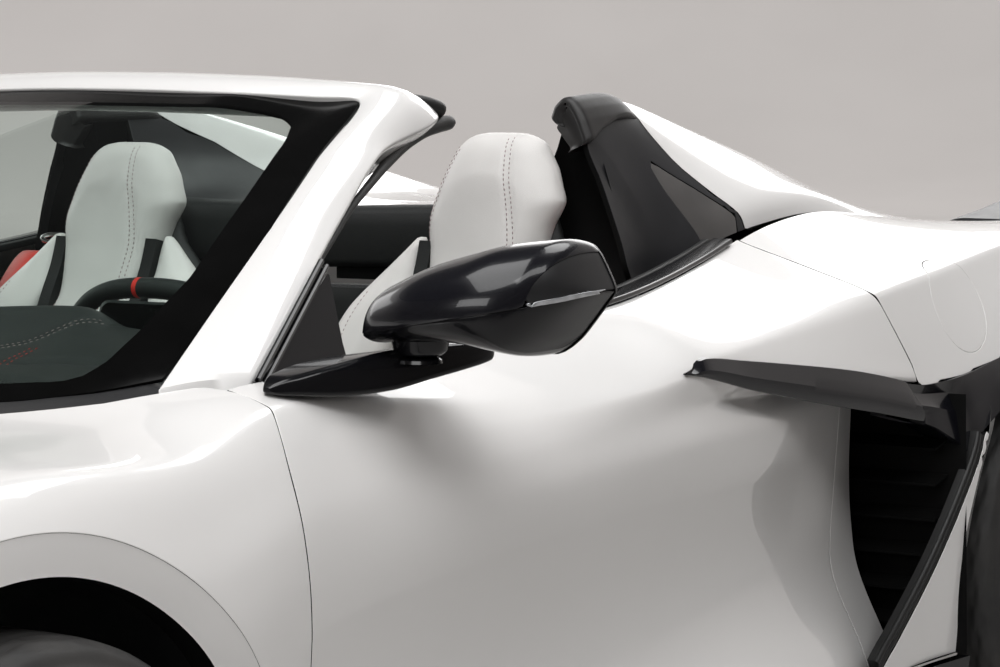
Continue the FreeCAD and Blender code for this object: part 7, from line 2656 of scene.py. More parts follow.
def console():
    rows = [(-0.490, 0.628), (-0.440, 0.596), (-0.400, 0.570), (-0.330, 0.532), (-0.250, 0.506), (-0.05, 0.490), (0.150, 0.476), (0.300, 0.478), (0.430, 0.486)]
    q = np.linspace(-0.490, 0.430, 90)
    z = makima([r[0] for r in rows], np.array([r[1] for r in rows]), q)
    b = Bits()
    P = []
    for y, zt in zip(q, z):
        arm = smoothstep(0.06, 0.12, y)
        P.append([(-0.112, y, 0.290), (-0.112, y, zt - 0.060), (-0.111, y, zt - 0.016), (-0.104, y, zt - 0.003), (-0.088, y, zt + 0.004), (-0.060, y, zt + 0.002 + 0.012 * arm),
                  (0.0, y, zt - 0.002 + 0.016 * arm), (0.060, y, zt + 0.002 + 0.012 * arm), (0.088, y, zt + 0.004), (0.104, y, zt - 0.003), (0.111, y, zt - 0.016), (0.112, y, zt - 0.060), (0.112, y, 0.290)])
    P = np.array(P)
    P = np.moveaxis(makima(np.arange(13), np.moveaxis(P, 1, 0), np.linspace(0, 12, 61)), 0, 1)
    P[..., 0] = np.clip(P[..., 0], -0.112, 0.112)
    n, m = P.shape[:2]
    F = grid_faces(n, m)
    c = P.reshape(-1, 3)[F].mean(1)
    mats = np.where((abs(c[:, 0]) < 0.070) & (c[:, 1] < 0.055) & (c[:, 2] > 0.40), 1, np.where(c[:, 2] < 0.43, 2, 0))
    b.add(P.reshape(-1, 3), F, None, list(mats))
    b.add(P[0], [list(range(m))], None, 0, smooth=False)
    b.add(P[-1], [list(reversed(range(m)))], None, 0, smooth=False)
    b.add(np.array([P[0, 0], P[0, -1], P[-1, -1], P[-1, 0]]), [[0, 1, 2, 3]], None, 0, smooth=False)

    def ztop(y):
        return float(np.interp(y, q, z))
    # selector plates, a round knob, rings where the cup wells sit, and stitches along both sides
    for y0 in (-0.330, -0.290, -0.250, -0.210):
        o = round_poly([(-0.046, y0 - 0.014), (0.046, y0 - 0.014), (0.046, y0 + 0.014), (-0.046, y0 + 0.014)], 0.004, 3)
        k = len(o)
        R = np.array([np.stack([o[:, 0] * s_, y0 + (o[:, 1] - y0) * s_, np.array([ztop(v) for v in o[:, 1]]) + d], -1) for s_, d in ((1.0, -0.004), (0.99, 0.004), (0.92, 0.0055))]).reshape(-1, 3)
        b.add(R, [list(f) for f in grid_faces(3, k, closed_u=True)] + [[2 * k + i for i in reversed(range(k))]], None, 3)
    for y0, r in ((-0.145, 0.026), (-0.060, 0.036), (0.018, 0.036)):
        ring = np.array([(r * math.cos(a), y0 + r * math.sin(a), ztop(y0) + 0.004) for a in np.linspace(0, 2 * math.pi, 41)[:-1]])
        V, F3 = sweep(ring, circle(0.0030, 8), closed=True, frame_dirs=np.tile([0.0, 0.0, 1.0], (40, 1)))
        b.add(V, F3, None, 4)
        if r < 0.03:
            V, F3 = tapered([(0, y0, ztop(y0) - 0.004), (0, y0, ztop(y0) + 0.010), (0, y0, ztop(y0) + 0.020), (0, y0, ztop(y0) + 0.024)], [0.024, 0.0235, 0.022, 0.016], 40)
            V = np.asarray(V)
            b.add(V, F3, None, 4)
    for sx in (-1, 1):
        ln = np.array([(sx * 0.094, y, ztop(y) + 0.0035 + 0.004 * float(smoothstep(0.06, 0.12, y))) for y in np.linspace(-0.46, 0.41, 120)])
        stitches(b, ln, np.tile([0.0, 0, 1.0], (120, 1)), mat=5)
    b.make("center_console", [M["black_hide"], M["gloss"], M["plastic"], M["plastic"], M["alloy"], M["thread"]], "chassis", ("center_console",), "leather", custom=False)


console()


def door_trim():
    b = Bits()
    loop = [(0.797, 0.302), (0.768, 0.302), (0.759, 0.330), (0.758, 0.450), (0.742, 0.500), (0.7365, 0.555), (0.742, 0.582), (0.766, 0.595), (0.773, 0.640), (0.766, 0.760),
            (0.753, 0.832), (0.760, 0.852), (0.780, 0.858), (0.797, 0.852)]
    L = smooth_line(np.array(loop), 0.009)
    q = np.linspace(-0.760, 0.558, 74)
    m = len(L)
    P = np.zeros((len(q), m, 3))
    for i, y in enumerate(q):
        arm = 1 - smoothstep(-0.62, -0.42, y) * (1 - smoothstep(0.34, 0.52, y))
        x = L[:, 0] + arm * np.where((L[:, 1] > 0.46) & (L[:, 1] < 0.60), np.clip(0.764 - L[:, 0], 0, 1), 0)
        P[i] = np.stack([x, np.full(m, y), L[:, 1]], -1)
    # pocket pressed in below the armrest
    Z, Y = P[..., 2], P[..., 1]
    pk = round_poly([(-0.60, 0.335), (-0.05, 0.335), (0.10, 0.375), (0.02, 0.420), (-0.58, 0.420)], 0.03, 4)
    P[..., 0] += np.where(P[..., 0] < 0.80, 0.014 * smoothstep(-0.004, 0.008, sdist(pk, Y, Z)), 0)
    N = grid_normals(P)
    if N[60, m // 2, 0] > 0:
        N = -N
    F = grid_faces(len(q), m)
    c = P.reshape(-1, 3)[F].mean(1)
    mats = np.where((c[:, 2] > 0.60) & (c[:, 2] < 0.775), 1, np.where(c[:, 2] > 0.775, 0, np.where(c[:, 2] > 0.47, 1, 2)))
    b.add(P.reshape(-1, 3), F, N.reshape(-1, 3), list(mats))
    for row, rev in ((0, False), (-1, True)):
        ring = list(range(m))
        b.add(P[row], [ring[::-1] if rev else ring], None, 2, smooth=False)
    b.add(np.array([P[0, 0], P[0, -1], P[-1, -1], P[-1, 0]]), [[0, 1, 2, 3]], None, 2, smooth=False)
    for zz, mm in ((0.772, 3), (0.603, 3)):
        j = int(np.argmin(abs(L[4:-3, 1] - zz) + (L[4:-3, 1] < 0.59) * 1.0)) + 4
        pts = P[4:-4, j]
        nr = N[4:-4, j]
        stitches(b, pts + nr * 0.0002, nr, mat=mm)
    # speaker ring with round grille ribs inside it, and the release lever
    cy, cz = -0.560, 0.395
    for r in (0.072, 0.060, 0.048, 0.036, 0.024, 0.012):
        ring = np.array([(0.7575, cy + r * math.cos(a), cz + r * math.sin(a) * 0.9) for a in np.linspace(0, 2 * math.pi, 49)[:-1]])
        V, F3 = sweep(ring, circle(0.0030 if r > 0.07 else 0.0018, 8), closed=True, frame_dirs=np.tile([1.0, 0.0, 0.0], (48, 1)))
        b.add(V, F3, None, 4 if r > 0.07 else 2)
    V, F3 = sweep(smooth_line([(0.764, -0.500, 0.700), (0.752, -0.485, 0.700), (0.748, -0.440, 0.700), (0.752, -0.395, 0.698), (0.764, -0.380, 0.697)], 0.006),
                  [(-0.004, -0.008), (0.004, -0.008), (0.005, 0.0), (0.004, 0.008), (-0.004, 0.008), (-0.005, 0.0)], up=(0, 0, 1))
    b.add(V, F3, None, 4)
    both(b, "door_trim", [M["black_hide"], M["white_hide"], M["plastic"], M["thread"], M["chrome"]], ("door_left", "door_right"), (("door_trim_left",), ("door_trim_right",)), "leather")


door_trim()


def cabin_details():
    """Mats, pedals and the trim of the wall behind the seats, lying on the tub."""
    b = Bits()
    for sx in (1, -1):
        o = round_poly([(sx * 0.19, -0.800), (sx * 0.66, -0.800), (sx * 0.68, -0.42), (sx * 0.60, -0.345), (sx * 0.20, -0.345)], 0.05, 5)
        if sx < 0:
            o = o[::-1]
        V, F = pad_mesh(o, lambda u, v: np.stack([u, v, np.full(np.shape(u), 0.1345)], -1), lambda u, v: np.stack([u, v, np.full(np.shape(u), 0.1440)], -1), 0.012, 0.005)
        b.add(V, F, None, 0)
        edge = np.column_stack([o, np.full(len(o), 0.1425)])
        V, F = sweep(edge, circle(0.0032, 8), closed=True, frame_dirs=np.tile([0.0, 0, 1.0], (len(o), 1)))
        b.add(V, F, None, 1)
    for x0, w, h in ((0.300, 0.075, 0.055), (0.430, 0.042, 0.110)):
        o = round_poly([(-w / 2, -h / 2), (w / 2, -h / 2), (w / 2, h / 2), (-w / 2, h / 2)], 0.010, 4)
        k = len(o)
        R = np.array([np.stack([x0 + o[:, 0] * s_, -0.770 + d - o[:, 1] * 0.35, 0.290 + o[:, 1]], -1) for s_, d in ((1.0, 0.0), (1.0, 0.008), (0.93, 0.011))]).reshape(-1, 3)
        b.add(R, [list(f) for f in grid_faces(3, k, closed_u=True)] + [list(range(k)), [2 * k + i for i in reversed(range(k))]], None, 2)
        V, F = sweep(smooth_line([(x0, -0.772, 0.290), (x0, -0.800, 0.36), (x0, -0.846, 0.46)], 0.02), circle(0.008, 10))
        b.add(V, F, None, 3)
    # quilted wall behind the seats
    xs = np.linspace(-0.655, 0.655, 131)
    zs = np.linspace(0.300, 0.874, 50)
    X, Z = np.meshgrid(xs, zs)
    rel = 0.0045 * np.abs(np.sin(math.pi * X / 0.131)) ** 0.5 * smoothstep(0.300, 0.315, Z) * smoothstep(0.874, 0.860, Z)
    rel = np.where((Z > 0.60), rel, 0.0015)
    Yw = 0.4475 - 0.003 - rel - 0.010 * smoothstep(0.585, 0.60, Z)
    P = np.stack([X, Yw, Z], -1)
    N = grid_normals(P)
    if N[5, 5, 1] > 0:
        N = -N
    b.add(P.reshape(-1, 3), grid_faces(50, 131), N.reshape(-1, 3), 4)
    b.make("cabin_fittings", [M["carpet"], M["black_hide"], M["rubber"], M["steel"], M["black_hide"]], "chassis", (), "leather", custom=True)


cabin_details()
# =====================================================================================
# wheels, brakes, lamps and the lower parts
# =====================================================================================
def radial(P, x_in, side, yc, zc):
    """From (along the axle from the inner face, radius, angle) to the car's frame."""
    P = np.asarray(P, float)
    return np.stack([x_in + side * P[..., 0], yc + P[..., 1] * np.cos(P[..., 2]), zc + P[..., 1] * np.sin(P[..., 2])], -1)


def tyre(b, x_in, side, yc, zc, r, rr, w):
    na = 120
    prof = smooth_line([(0.018, rr + 0.012), (0.016, rr + 0.002), (0.006, rr + 0.002), (0.001, rr + 0.014), (0.000, (r + rr) / 2 + 0.004), (0.004, r - 0.030),
                        (0.014, r - 0.013), (0.030, r - 0.004), (0.060, r - 0.0008), (w / 2, r - 0.0002), (w - 0.060, r - 0.0008), (w - 0.030, r - 0.004),
                        (w - 0.014, r - 0.013), (w - 0.004, r - 0.030), (w, (r + rr) / 2 + 0.004), (w - 0.001, rr + 0.014), (w - 0.006, rr + 0.002), (w - 0.016, rr + 0.002), (w - 0.018, rr + 0.012)], 0.0045)
    a = np.linspace(0, 2 * math.pi, na + 1)[:-1]
    A, S = np.meshgrid(a, np.arange(len(prof)), indexing="ij")
    Xa, R = prof[S][..., 0].copy(), prof[S][..., 1].copy()
    crown = smoothstep(r - 0.016, r - 0.006, R)
    cut_ = np.zeros_like(R)
    for g0 in (0.22, 0.40, 0.60, 0.78):
        cut_ = np.maximum(cut_, 1 - smoothstep(0.0030, 0.0052, abs(Xa - g0 * w)))
    ph = (A * 36 / math.pi + np.where(Xa > w / 2, 0.5, 0.0) + abs(Xa - w / 2) * 18) % 1.0
    out = (abs(Xa - w / 2) > 0.30 * w)
    cut_ = np.maximum(cut_, np.where(out, (abs(ph - 0.5) < 0.09) * 0.8, (abs((ph * 2) % 1.0 - 0.5) < 0.07) * 0.45 * (abs(Xa - w / 2) > 0.10 * w)))
    R = R - 0.0058 * crown * cut_
    # bead ribs on both walls
    R2 = R
    side_band = smoothstep(rr + 0.010, rr + 0.018, R2) * (1 - smoothstep(r - 0.034, r - 0.026, R2))
    Xa = Xa + np.where(Xa < w / 2, 1, -1) * 0.0012 * side_band * (0.5 + 0.5 * np.cos((R2 - rr) * 2 * math.pi / 0.0125)) - np.where(Xa < w / 2, 1, -1) * 0.0008 * side_band
    P = radial(np.stack([Xa, R2, A], -1), x_in, side, yc, zc)
    F = grid_faces(na, len(prof), closed_u=False, closed_v=True)
    b.add(P.reshape(-1, 3), F[:, ::-1] if side > 0 else F, None, 0)


def lathe(b, prof, x_in, side, yc, zc, mat, n=96, step=0.006, closed=False, sharp=True):
    prof = np.asarray(prof, float)
    a = np.linspace(0, 2 * math.pi, n + 1)[:-1]
    A, S = np.meshgrid(a, np.arange(len(prof)), indexing="ij")
    P = radial(np.stack([prof[S][..., 0], prof[S][..., 1], A], -1), x_in, side, yc, zc)
    F = grid_faces(n, len(prof), closed_u=closed, closed_v=True)
    b.add(P.reshape(-1, 3), F[:, ::-1] if side > 0 else F, None, mat)


def rim(b, x_in, side, yc, zc, rr, w, disc):
    # barrel, open in front and behind, with rolled lips
    bar = [(0.006, rr - 0.021), (0.004, rr - 0.012), (0.005, rr - 0.002), (0.015, rr - 0.001), (0.017, rr + 0.010), (w * 0.5, rr + 0.006), (w - 0.017, rr + 0.010), (w - 0.015, rr - 0.001),
           (w - 0.005, rr - 0.001), (w - 0.0035, rr - 0.008), (w - 0.006, rr - 0.016), (w - 0.018, rr - 0.022), (w - 0.040, rr - 0.028), (w * 0.5, rr - 0.024), (0.040, rr - 0.022)]
    lathe(b, bar, x_in, side, yc, zc, 0, closed=True, n=120)
    # five forked spokes, dished towards the hub
    for i in range(5):
        a0 = math.pi / 2 + i * 2 * math.pi / 5
        for sg in (-1, 1):
            q = np.linspace(0.050, rr - 0.016, 16)
            sec = []
            for r in q:
                t = (r - 0.050) / (rr - 0.066)
                off = sg * (0.006 + 0.036 * t ** 1.4)
                hw = 0.0125 - 0.0035 * t + 0.004 * smoothstep(0.85, 1.0, t)
                d = w - 0.066 + 0.034 * t ** 1.6 - 0.010 * float(smoothstep(0.93, 1.0, t))
                th = 0.026 - 0.008 * t
                pts = [(-hw, -th * 0.9), (-hw * 1.05, -0.004), (-hw * 0.60, 0.0), (hw * 0.60, 0.0), (hw * 1.05, -0.004), (hw, -th * 0.9), (0.0, -th)]
                ca_, sa_ = math.cos(a0), math.sin(a0)
                sec.append([(x_in + side * (d + v), yc + r * ca_ - (off + u) * sa_, zc + r * sa_ + (off + u) * ca_) for u, v in pts])
            S = np.array(sec).reshape(-1, 3)
            F = [list(f) for f in grid_faces(16, 7, closed_u=True)] + [list(range(7)), [15 * 7 + k for k in reversed(range(7))]]
            b.add(S, F, None, 0)
        # web between the fork's arms near the hub
        q = np.linspace(0.048, 0.140, 7)
        sec = []
        for r in q:
            t = (r - 0.050) / (rr - 0.066)
            hw = 0.006 + 0.036 * max(t, 0) ** 1.4
            d = w - 0.072 + 0.034 * max(t, 0) ** 1.6
            pts = [(-hw, -0.016), (-hw, 0.0), (hw, 0.0), (hw, -0.016)]
            sec.append([(x_in + side * (d + v), yc + r * math.cos(a0) - u * math.sin(a0), zc + r * math.sin(a0) + u * math.cos(a0)) for u, v in pts])
        S = np.array(sec).reshape(-1, 3)
        b.add(S, [list(f) for f in grid_faces(7, 4, closed_u=True)] + [[0, 1, 2, 3], [27, 26, 25, 24]], None, 0, smooth=False)
    # hub, plain centre cap, five nuts
    lathe(b, [(w - 0.126, 0.031), (w - 0.126, 0.073), (w - 0.074, 0.073), (w - 0.064, 0.068), (w - 0.060, 0.060), (w - 0.060, 0.034), (w - 0.052, 0.033), (w - 0.047, 0.029), (w - 0.045, 0.018), (w - 0.044, 0.0005)], x_in, side, yc, zc, 0, n=64)
    for i in range(5):
        a0 = math.pi / 2 + (i + 0.5) * 2 * math.pi / 5
        cy, cz = yc + 0.052 * math.cos(a0), zc + 0.052 * math.sin(a0)
        rows = []
        for d, r in ((-0.064, 0.0115), (-0.048, 0.0112), (-0.044, 0.0085), (-0.043, 0.0005)):
            rows.append([(x_in + side * (w + d), cy + r * math.cos(k * math.pi / 3), cz + r * math.sin(k * math.pi / 3)) for k in range(6)])
        b.add(np.array(rows).reshape(-1, 3), [list(f) for f in grid_faces(4, 6, closed_u=True)], None, 2, smooth=False)
    # vented disc with drilled holes shown as countersunk rings, and its bell
    x0 = w - 0.151
    lathe(b, [(x0, 0.075), (x0, disc - 0.001), (x0 + 0.001, disc), (x0 + 0.011, disc), (x0 + 0.012, disc - 0.004), (x0 + 0.020, disc - 0.004), (x0 + 0.021, disc), (x0 + 0.031, disc), (x0 + 0.032, disc - 0.001),
              (x0 + 0.032, 0.096), (x0 + 0.030, 0.090), (x0 + 0.040, 0.080), (x0 + 0.044, 0.032)], x_in, side, yc, zc, 1, n=96)
    for i in range(60):
        a0 = i * 2 * math.pi / 60
        r0 = (0.112, 0.134, 0.156, 0.176)[i % 4]
        cy, cz = yc + r0 * math.cos(a0), zc + r0 * math.sin(a0)
        rows = [[(x_in + side * (x0 + d), cy + r * math.cos(k * math.pi / 4), cz + r * math.sin(k * math.pi / 4)) for k in range(8)] for d, r in ((0.0322, 0.0048), (0.0326, 0.0040), (0.0300, 0.0034))]
        b.add(np.array(rows).reshape(-1, 3), [list(f) for f in grid_faces(3, 8, closed_u=True)] + [[16 + k for k in range(8)]], None, 3, smooth=False)


for nm, side, ya, xw, rad, rimr, wid, disc in (("fl", 1, YF, .822, .336, .262, .272, .199), ("fr", -1, YF, .822, .336, .262, .272, .199),
                                               ("rl", 1, YR, .838, .353, .275, .335, .190), ("rr", -1, YR, .838, .353, .275, .335, .190)):
    x_in = side * (xw - wid / 2)
    t_ = Bits()
    tyre(t_, x_in, side, ya, rad, rad, rimr, wid)
    t_.make("tyre_" + nm + "_skin", [M["tyre"]], "wheel_" + nm, ("tyre_" + nm,), "rubber_tyre", custom=False)
    t_ = Bits()
    rim(t_, x_in, side, ya, rad, rimr, wid, disc)
    ob = t_.make("wheel_" + nm + "_skin", [M["alloy"], M["disc"], M["steel"], M["iron"]], "wheel_" + nm, ("wheel_" + nm,), "wheel_alloy", custom=False)
    smooth_by_angle(ob, 35)


def calipers():
    """A rounded cover over each front caliper, on the knuckle."""
    for nm, side, ya in (("fl", 1, YF), ("fr", -1, YF)):
        x_in = side * (0.822 - 0.136)
        xd = x_in + side * (0.272 - 0.152)
        b = Bits()
        for x0, x1 in ((xd - side * 0.030, xd - side * 0.008), (xd + side * 0.042, xd + side * 0.064)):
            arc = np.linspace(math.radians(180 - 30), math.radians(180 + 30), 22)
            rows = []
            for a in arc:
                e = 1 - 0.25 * abs((a - math.pi) / math.radians(30)) ** 3
                ring = []
                for u, v in ((0.0, 0.0), (0.0, 1.0), (0.15, 1.12), (0.85, 1.12), (1.0, 1.0), (1.0, 0.0), (0.85, -0.1), (0.15, -0.1)):
                    r = 0.135 + (0.190 - 0.135) * (0.5 + (v - 0.5) * e)
                    ring.append((x0 + (x1 - x0) * u, ya + r * math.cos(a), 0.336 + r * math.sin(a)))
                rows.append(ring)
            b.add(np.array(rows).reshape(-1, 3), [list(f) for f in grid_faces(22, 8, closed_u=True)] + [list(range(8)), [21 * 8 + i for i in reversed(range(8))]], None, 0)
        for a in (math.radians(154), math.radians(180), math.radians(206)):
            path = [(xd - side * 0.010, ya + 0.2035 * math.cos(a), 0.336 + 0.2035 * math.sin(a)), (xd + side * 0.044, ya + 0.2035 * math.cos(a), 0.336 + 0.2035 * math.sin(a))]
            V, F = sweep(path, [(-0.010, -0.004), (0.010, -0.004), (0.010, 0.004), (-0.010, 0.004)], frame_dirs=np.tile([0.0, -math.sin(a), math.cos(a)], (2, 1)))
            b.add(V, F, None, 0, smooth=False)
        ob = b.make("caliper_cover_" + nm, [M["caliper"]], "knuckle_" + nm, (), "metal", custom=False)
        smooth_by_angle(ob, 40)


calipers()


def headlamp():
    """Clear cover flush with the nose, a dark tray below it and three light bodies on the tray."""
    b = Bits()
    X, Y, Z = skin_n.X, skin_n.Y, skin_n.Z
    sd = sdist(LAMP_LINE, X, Y) - 0.002 + np.where(Z < 0.45, -1.0, 0.0)
    V, N, F = clip_grid(skin_n.P, skin_n.N, sd, True)[:3]
    b.add(V, F, N, 0)
    tray = skin_n.P - skin_n.N * (0.030 * smoothstep(0.0, 0.012, sd))[..., None]
    V, N2, F = clip_grid(tray, grid_normals(tray), sd, True)[:3]
    b.add(V, F, None, 1)
    # light bodies: bars along the lamp's outer line
    def at_(x, y, up):
        d = (X - x) ** 2 + (Y - y) ** 2 + np.where(Z < 0.45, 9, 0)
        k = np.unravel_index(np.argmin(d), d.shape)
        return skin_n.P[k] - skin_n.N[k] * up
    line1 = smooth_line([(0.800, -1.800), (0.800, -1.930), (0.700, -2.070), (0.610, -2.086)], 0.015)
    line2 = smooth_line([(0.762, -1.815), (0.745, -1.930), (0.660, -2.040)], 0.015)
    for ln, r, mt in ((line1, 0.0065, 2), (line2, 0.004, 2)):
        path = gauss(np.array([at_(p[0], p[1], 0.014) for p in ln]), 1.5)
        V, F = tapered(path, np.concatenate([[r * 0.4], np.full(len(path) - 2, r), [r * 0.4]]), 12)
        b.add(V, F, None, mt)
    for cx, cy in ((0.790, -1.860), (0.735, -1.955), (0.655, -2.035)):
        c = at_(cx, cy, 0.018)
        rows = []
        for r, u in ((0.022, -0.010), (0.022, 0.004), (0.019, 0.006), (0.017, 0.002), (0.010, -0.002), (0.001, -0.003)):
            rows.append([(c[0] + r * math.cos(k * math.pi / 12), c[1] + r * 0.8 * math.sin(k * math.pi / 12), c[2] + u) for k in range(24)])
        b.add(np.array(rows).reshape(-1, 3), [list(f) for f in grid_faces(6, 24, closed_u=True)], None, 3)
    o = Bits().join(b)
    o.join(b.mirrored())
    o.make("headlamp_units", [M["lamp_cover"], M["lamp_dark"], M["lamp_led"], M["lamp_clear"]], "chassis", ("headlamps",), "lamp_lens")


headlamp()


def nose_parts():
    """Mesh behind the nose openings and the splitter under them, lying on the bumper."""
    b = Bits()
    for x0, x1, z0, z1, y in ((-0.400, 0.400, 0.228, 0.372, -2.262), (0.440, 0.800, 0.205, 0.395, -2.060), (-0.800, -0.440, 0.205, 0.395, -2.060)):
        nx, nz = int((x1 - x0) / 0.016), int((z1 - z0) / 0.014)
        for i in range(nx + 1):
            for j in range(nz + 1):
                cx, cz = x0 + (x1 - x0) * i / nx + (0.008 if j % 2 else 0), z0 + (z1 - z0) * j / nz
                yy = y + (0.42 * max(0, abs(cx) - 0.44) if abs(cx) > 0.44 else 0.05 * (abs(cx) / 0.4) ** 2)
                k = []
                for r, d in ((0.0086, 0.0), (0.0074, -0.0015), (0.0070, 0.004)):
                    k.append([(cx + r * math.cos(math.pi / 6 + q * math.pi / 3), yy + d, cz + r * math.sin(math.pi / 6 + q * math.pi / 3)) for q in range(6)])
                b.add(np.array(k).reshape(-1, 3), [list(f) for f in grid_faces(3, 6, closed_u=True)], None, 0, smooth=False)
    o = [(-0.800, -2.140), (-0.560, -2.262), (0.0, -2.318), (0.560, -2.262), (0.800, -2.140), (0.780, -1.960), (-0.780, -1.960)]
    o = round_poly(o, 0.06, 6)
    V, F = pad_mesh(o, lambda u, v: np.stack([u, v, np.full(np.shape(u), 0.1135)], -1), lambda u, v: np.stack([u, v, np.full(np.shape(u), 0.128)], -1), 0.016, 0.006)
    b.add(V, F, None, 1)
    b.make("nose_grilles", [M["plastic"], M["gloss"]], "chassis", (), "black_plastic", custom=False)


nose_parts()


def tail_lamps():
    b = Bits()
    for s_ in (1, -1):
        for x0, x1 in ((0.388, 0.506), (0.514, 0.632)):
            o = round_poly([(x0, 0.713), (x1, 0.713), (x1, 0.792), (x0, 0.792)], 0.012, 6)
            k = len(o)
            c = o.mean(0)
            rows = []
            for sc, y in ((1.0, 2.302), (1.0, 2.330), (0.975, 2.336), (0.90, 2.3365), (0.86, 2.331), (0.60, 2.327), (0.30, 2.329), (0.02, 2.329)):
                oo = c + (o - c) * sc
                rows.append(np.stack([oo[:, 0] * s_, np.full(k, y), oo[:, 1]], -1))
            F = [list(f) for f in grid_faces(8, k, closed_u=True)]
            mats = [0 if i < 3 * k else 1 for i in range(len(F))]
            b.add(np.array(rows).reshape(-1, 3), F + [[i for i in range(k)]], None, mats + [0])
            frame_ = np.stack([(c + (o - c) * 0.72)[:, 0] * s_, np.full(k, 2.3325), (c + (o - c) * 0.72)[:, 1]], -1)
            V, F = sweep(frame_, circle(0.0036, 8), closed=True, frame_dirs=np.tile([0.0, 1.0, 0.0], (k, 1)))
            b.add(V, F, None, 2)
    ob = b.make("tail_lamp_units", [M["lamp_dark"], M["lamp_red"], M["lamp_red_bright"]], "chassis", ("tail_lamps",), "lamp_lens", custom=False)
    smooth_by_angle(ob, 40)


tail_lamps()


def spoiler():
    """A low lip across the tail that rises to a raised end on each side."""
    b = Bits()
    xs = np.linspace(-0.640, 0.640, 120)
    rows = []
    for x in xs:
        t = abs(x) / 0.640
        bend = -0.045 * t ** 2
        up = float(smoothstep(0.41, 0.535, abs(x)))
        e = 1 - float(smoothstep(0.96, 1.0, t))
        z = 0.886 + 0.034 * up
        k = (0.22 + 0.63 * up) * (0.35 + 0.65 * e)
        low = 0.004 + 0.026 * up
        rows.append([(x, 2.085 + bend, z - low), (x, 2.083 + bend, z - low * 0.3), (x, 2.092 + bend, z + 0.003 * k), (x, 2.150 + bend, z + 0.012 * k), (x, 2.230 + bend, z + 0.020 * k), (x, 2.300 + bend, z + 0.031 * k), (x, 2.318 + bend, z + 0.034 * k),
                     (x, 2.322 + bend, z + 0.030 * k), (x, 2.321 + bend, z + 0.010 * k), (x, 2.300 + bend, z - low * 0.8), (x, 2.170 + bend, z - low)])
    P = np.array(rows)
    n, m = P.shape[:2]
    b.add(P.reshape(-1, 3), [list(f) for f in grid_faces(n, m, closed_u=True)] + [list(range(m)), [(n - 1) * m + i for i in reversed(range(m))]], None, 0)
    ob = b.make("spoiler_blade", [M["insert"]], "chassis", ("spoiler",), "black_gloss", custom=False)
    smooth_by_angle(ob, 40)


spoiler()


def diffuser():
    b = Bits()
    xs = np.linspace(-0.370, 0.370, 60)
    prof = [(2.072, 0.137), (2.180, 0.160), (2.298, 0.192), (2.309, 0.240), (2.316, 0.300), (2.316, 0.326), (2.292, 0.328), (2.280, 0.260), (2.268, 0.208), (2.170, 0.178), (2.072, 0.154)]
    P = np.array([[(x, y, z) for y, z in prof] for x in xs])
    n, m = P.shape[:2]
    b.add(P.reshape(-1, 3), [list(f) for f in grid_faces(n, m, closed_u=True)] + [list(range(m)), [(n - 1) * m + i for i in reversed(range(m))]], None, 0)
    for x in (-0.300, -0.180, -0.060, 0.060, 0.180, 0.300):
        o = np.array([(2.092, 0.143), (2.292, 0.146), (2.300, 0.155), (2.304, 0.205), (2.296, 0.214), (2.18, 0.168), (2.092, 0.150)])
        k = len(o)
        R = np.array([[(x + d, y, z) for y, z in o.mean(0) + (o - o.mean(0)) * s_] for d, s_ in ((-0.005, 0.97), (-0.0035, 1.0), (0.0035, 1.0), (0.005, 0.97))]).reshape(-1, 3)
        b.add(R, [list(f) for f in grid_faces(4, k, closed_u=True)] + [list(range(k)), [3 * k + i for i in reversed(range(k))]], None, 1, smooth=False)
    ob = b.make("diffuser_skin", [M["plastic"], M["gloss"]], "chassis", ("diffuser",), "black_plastic", custom=False)
    smooth_by_angle(ob, 35)


diffuser()


def exhaust():
    b = Bits()
    for x in (-0.560, -0.455, 0.455, 0.560):
        n = 48
        a = np.linspace(0, 2 * math.pi, n + 1)[:-1]
        rows = []
        for y, r in ((2.175, 0.0430), (2.325, 0.0450), (2.338, 0.0458), (2.3415, 0.0445), (2.3405, 0.0425), (2.330, 0.0418), (2.200, 0.0405)):
            sq = 1 + 0.055 * np.cos(4 * a) * -1
            rows.append(np.stack([x + r * np.cos(a) * sq * 0.985, np.full(n, y), 0.300 + r * np.sin(a) * sq * 0.985], -1))
        F = grid_faces(7, n, closed_u=True)
        mats = [0 if i < 5 * n else 1 for i in range(len(F))]
        b.add(np.array(rows).reshape(-1, 3), F, None, mats)
        inner = np.stack([x + 0.0405 * np.cos(a), np.full(n, 2.200), 0.300 + 0.0405 * np.sin(a)], -1)
        b.add(inner, [list(range(n))], None, 1, smooth=False)
    # silencer: a flat can with rolled ends and pressed ribs
    xs = np.linspace(-0.616, 0.616, 80)
    rows = []
    for x in xs:
        e = 1 - 0.22 * float(smoothstep(0.585, 0.616, abs(x)))
        rib = 0.0025 * (0.5 + 0.5 * math.cos(x * 2 * math.pi / 0.11))
        ring = []
        for a in np.linspace(0, 2 * math.pi, 33)[:-1]:
            cx, cz = math.cos(a), math.sin(a)
            ry, rz = (0.038 + rib * 0.4) * e, (0.060 + rib) * e
            ring.append((x, 2.132 + ry * np.sign(cx) * abs(cx) ** 0.6, 0.300 + rz * np.sign(cz) * abs(cz) ** 0.6))
        rows.append(ring)
    P = np.array(rows)
    b.add(P.reshape(-1, 3), [list(f) for f in grid_faces(80, 32, closed_u=True)] + [list(range(32)), [79 * 32 + i for i in reversed(range(32))]], None, 2)
    ob = b.make("exhaust_skin", [M["chrome"], M["pipe_inside"], M["steel"]], "chassis", ("exhaust",), "metal", custom=False)
    smooth_by_angle(ob, 40)


exhaust()


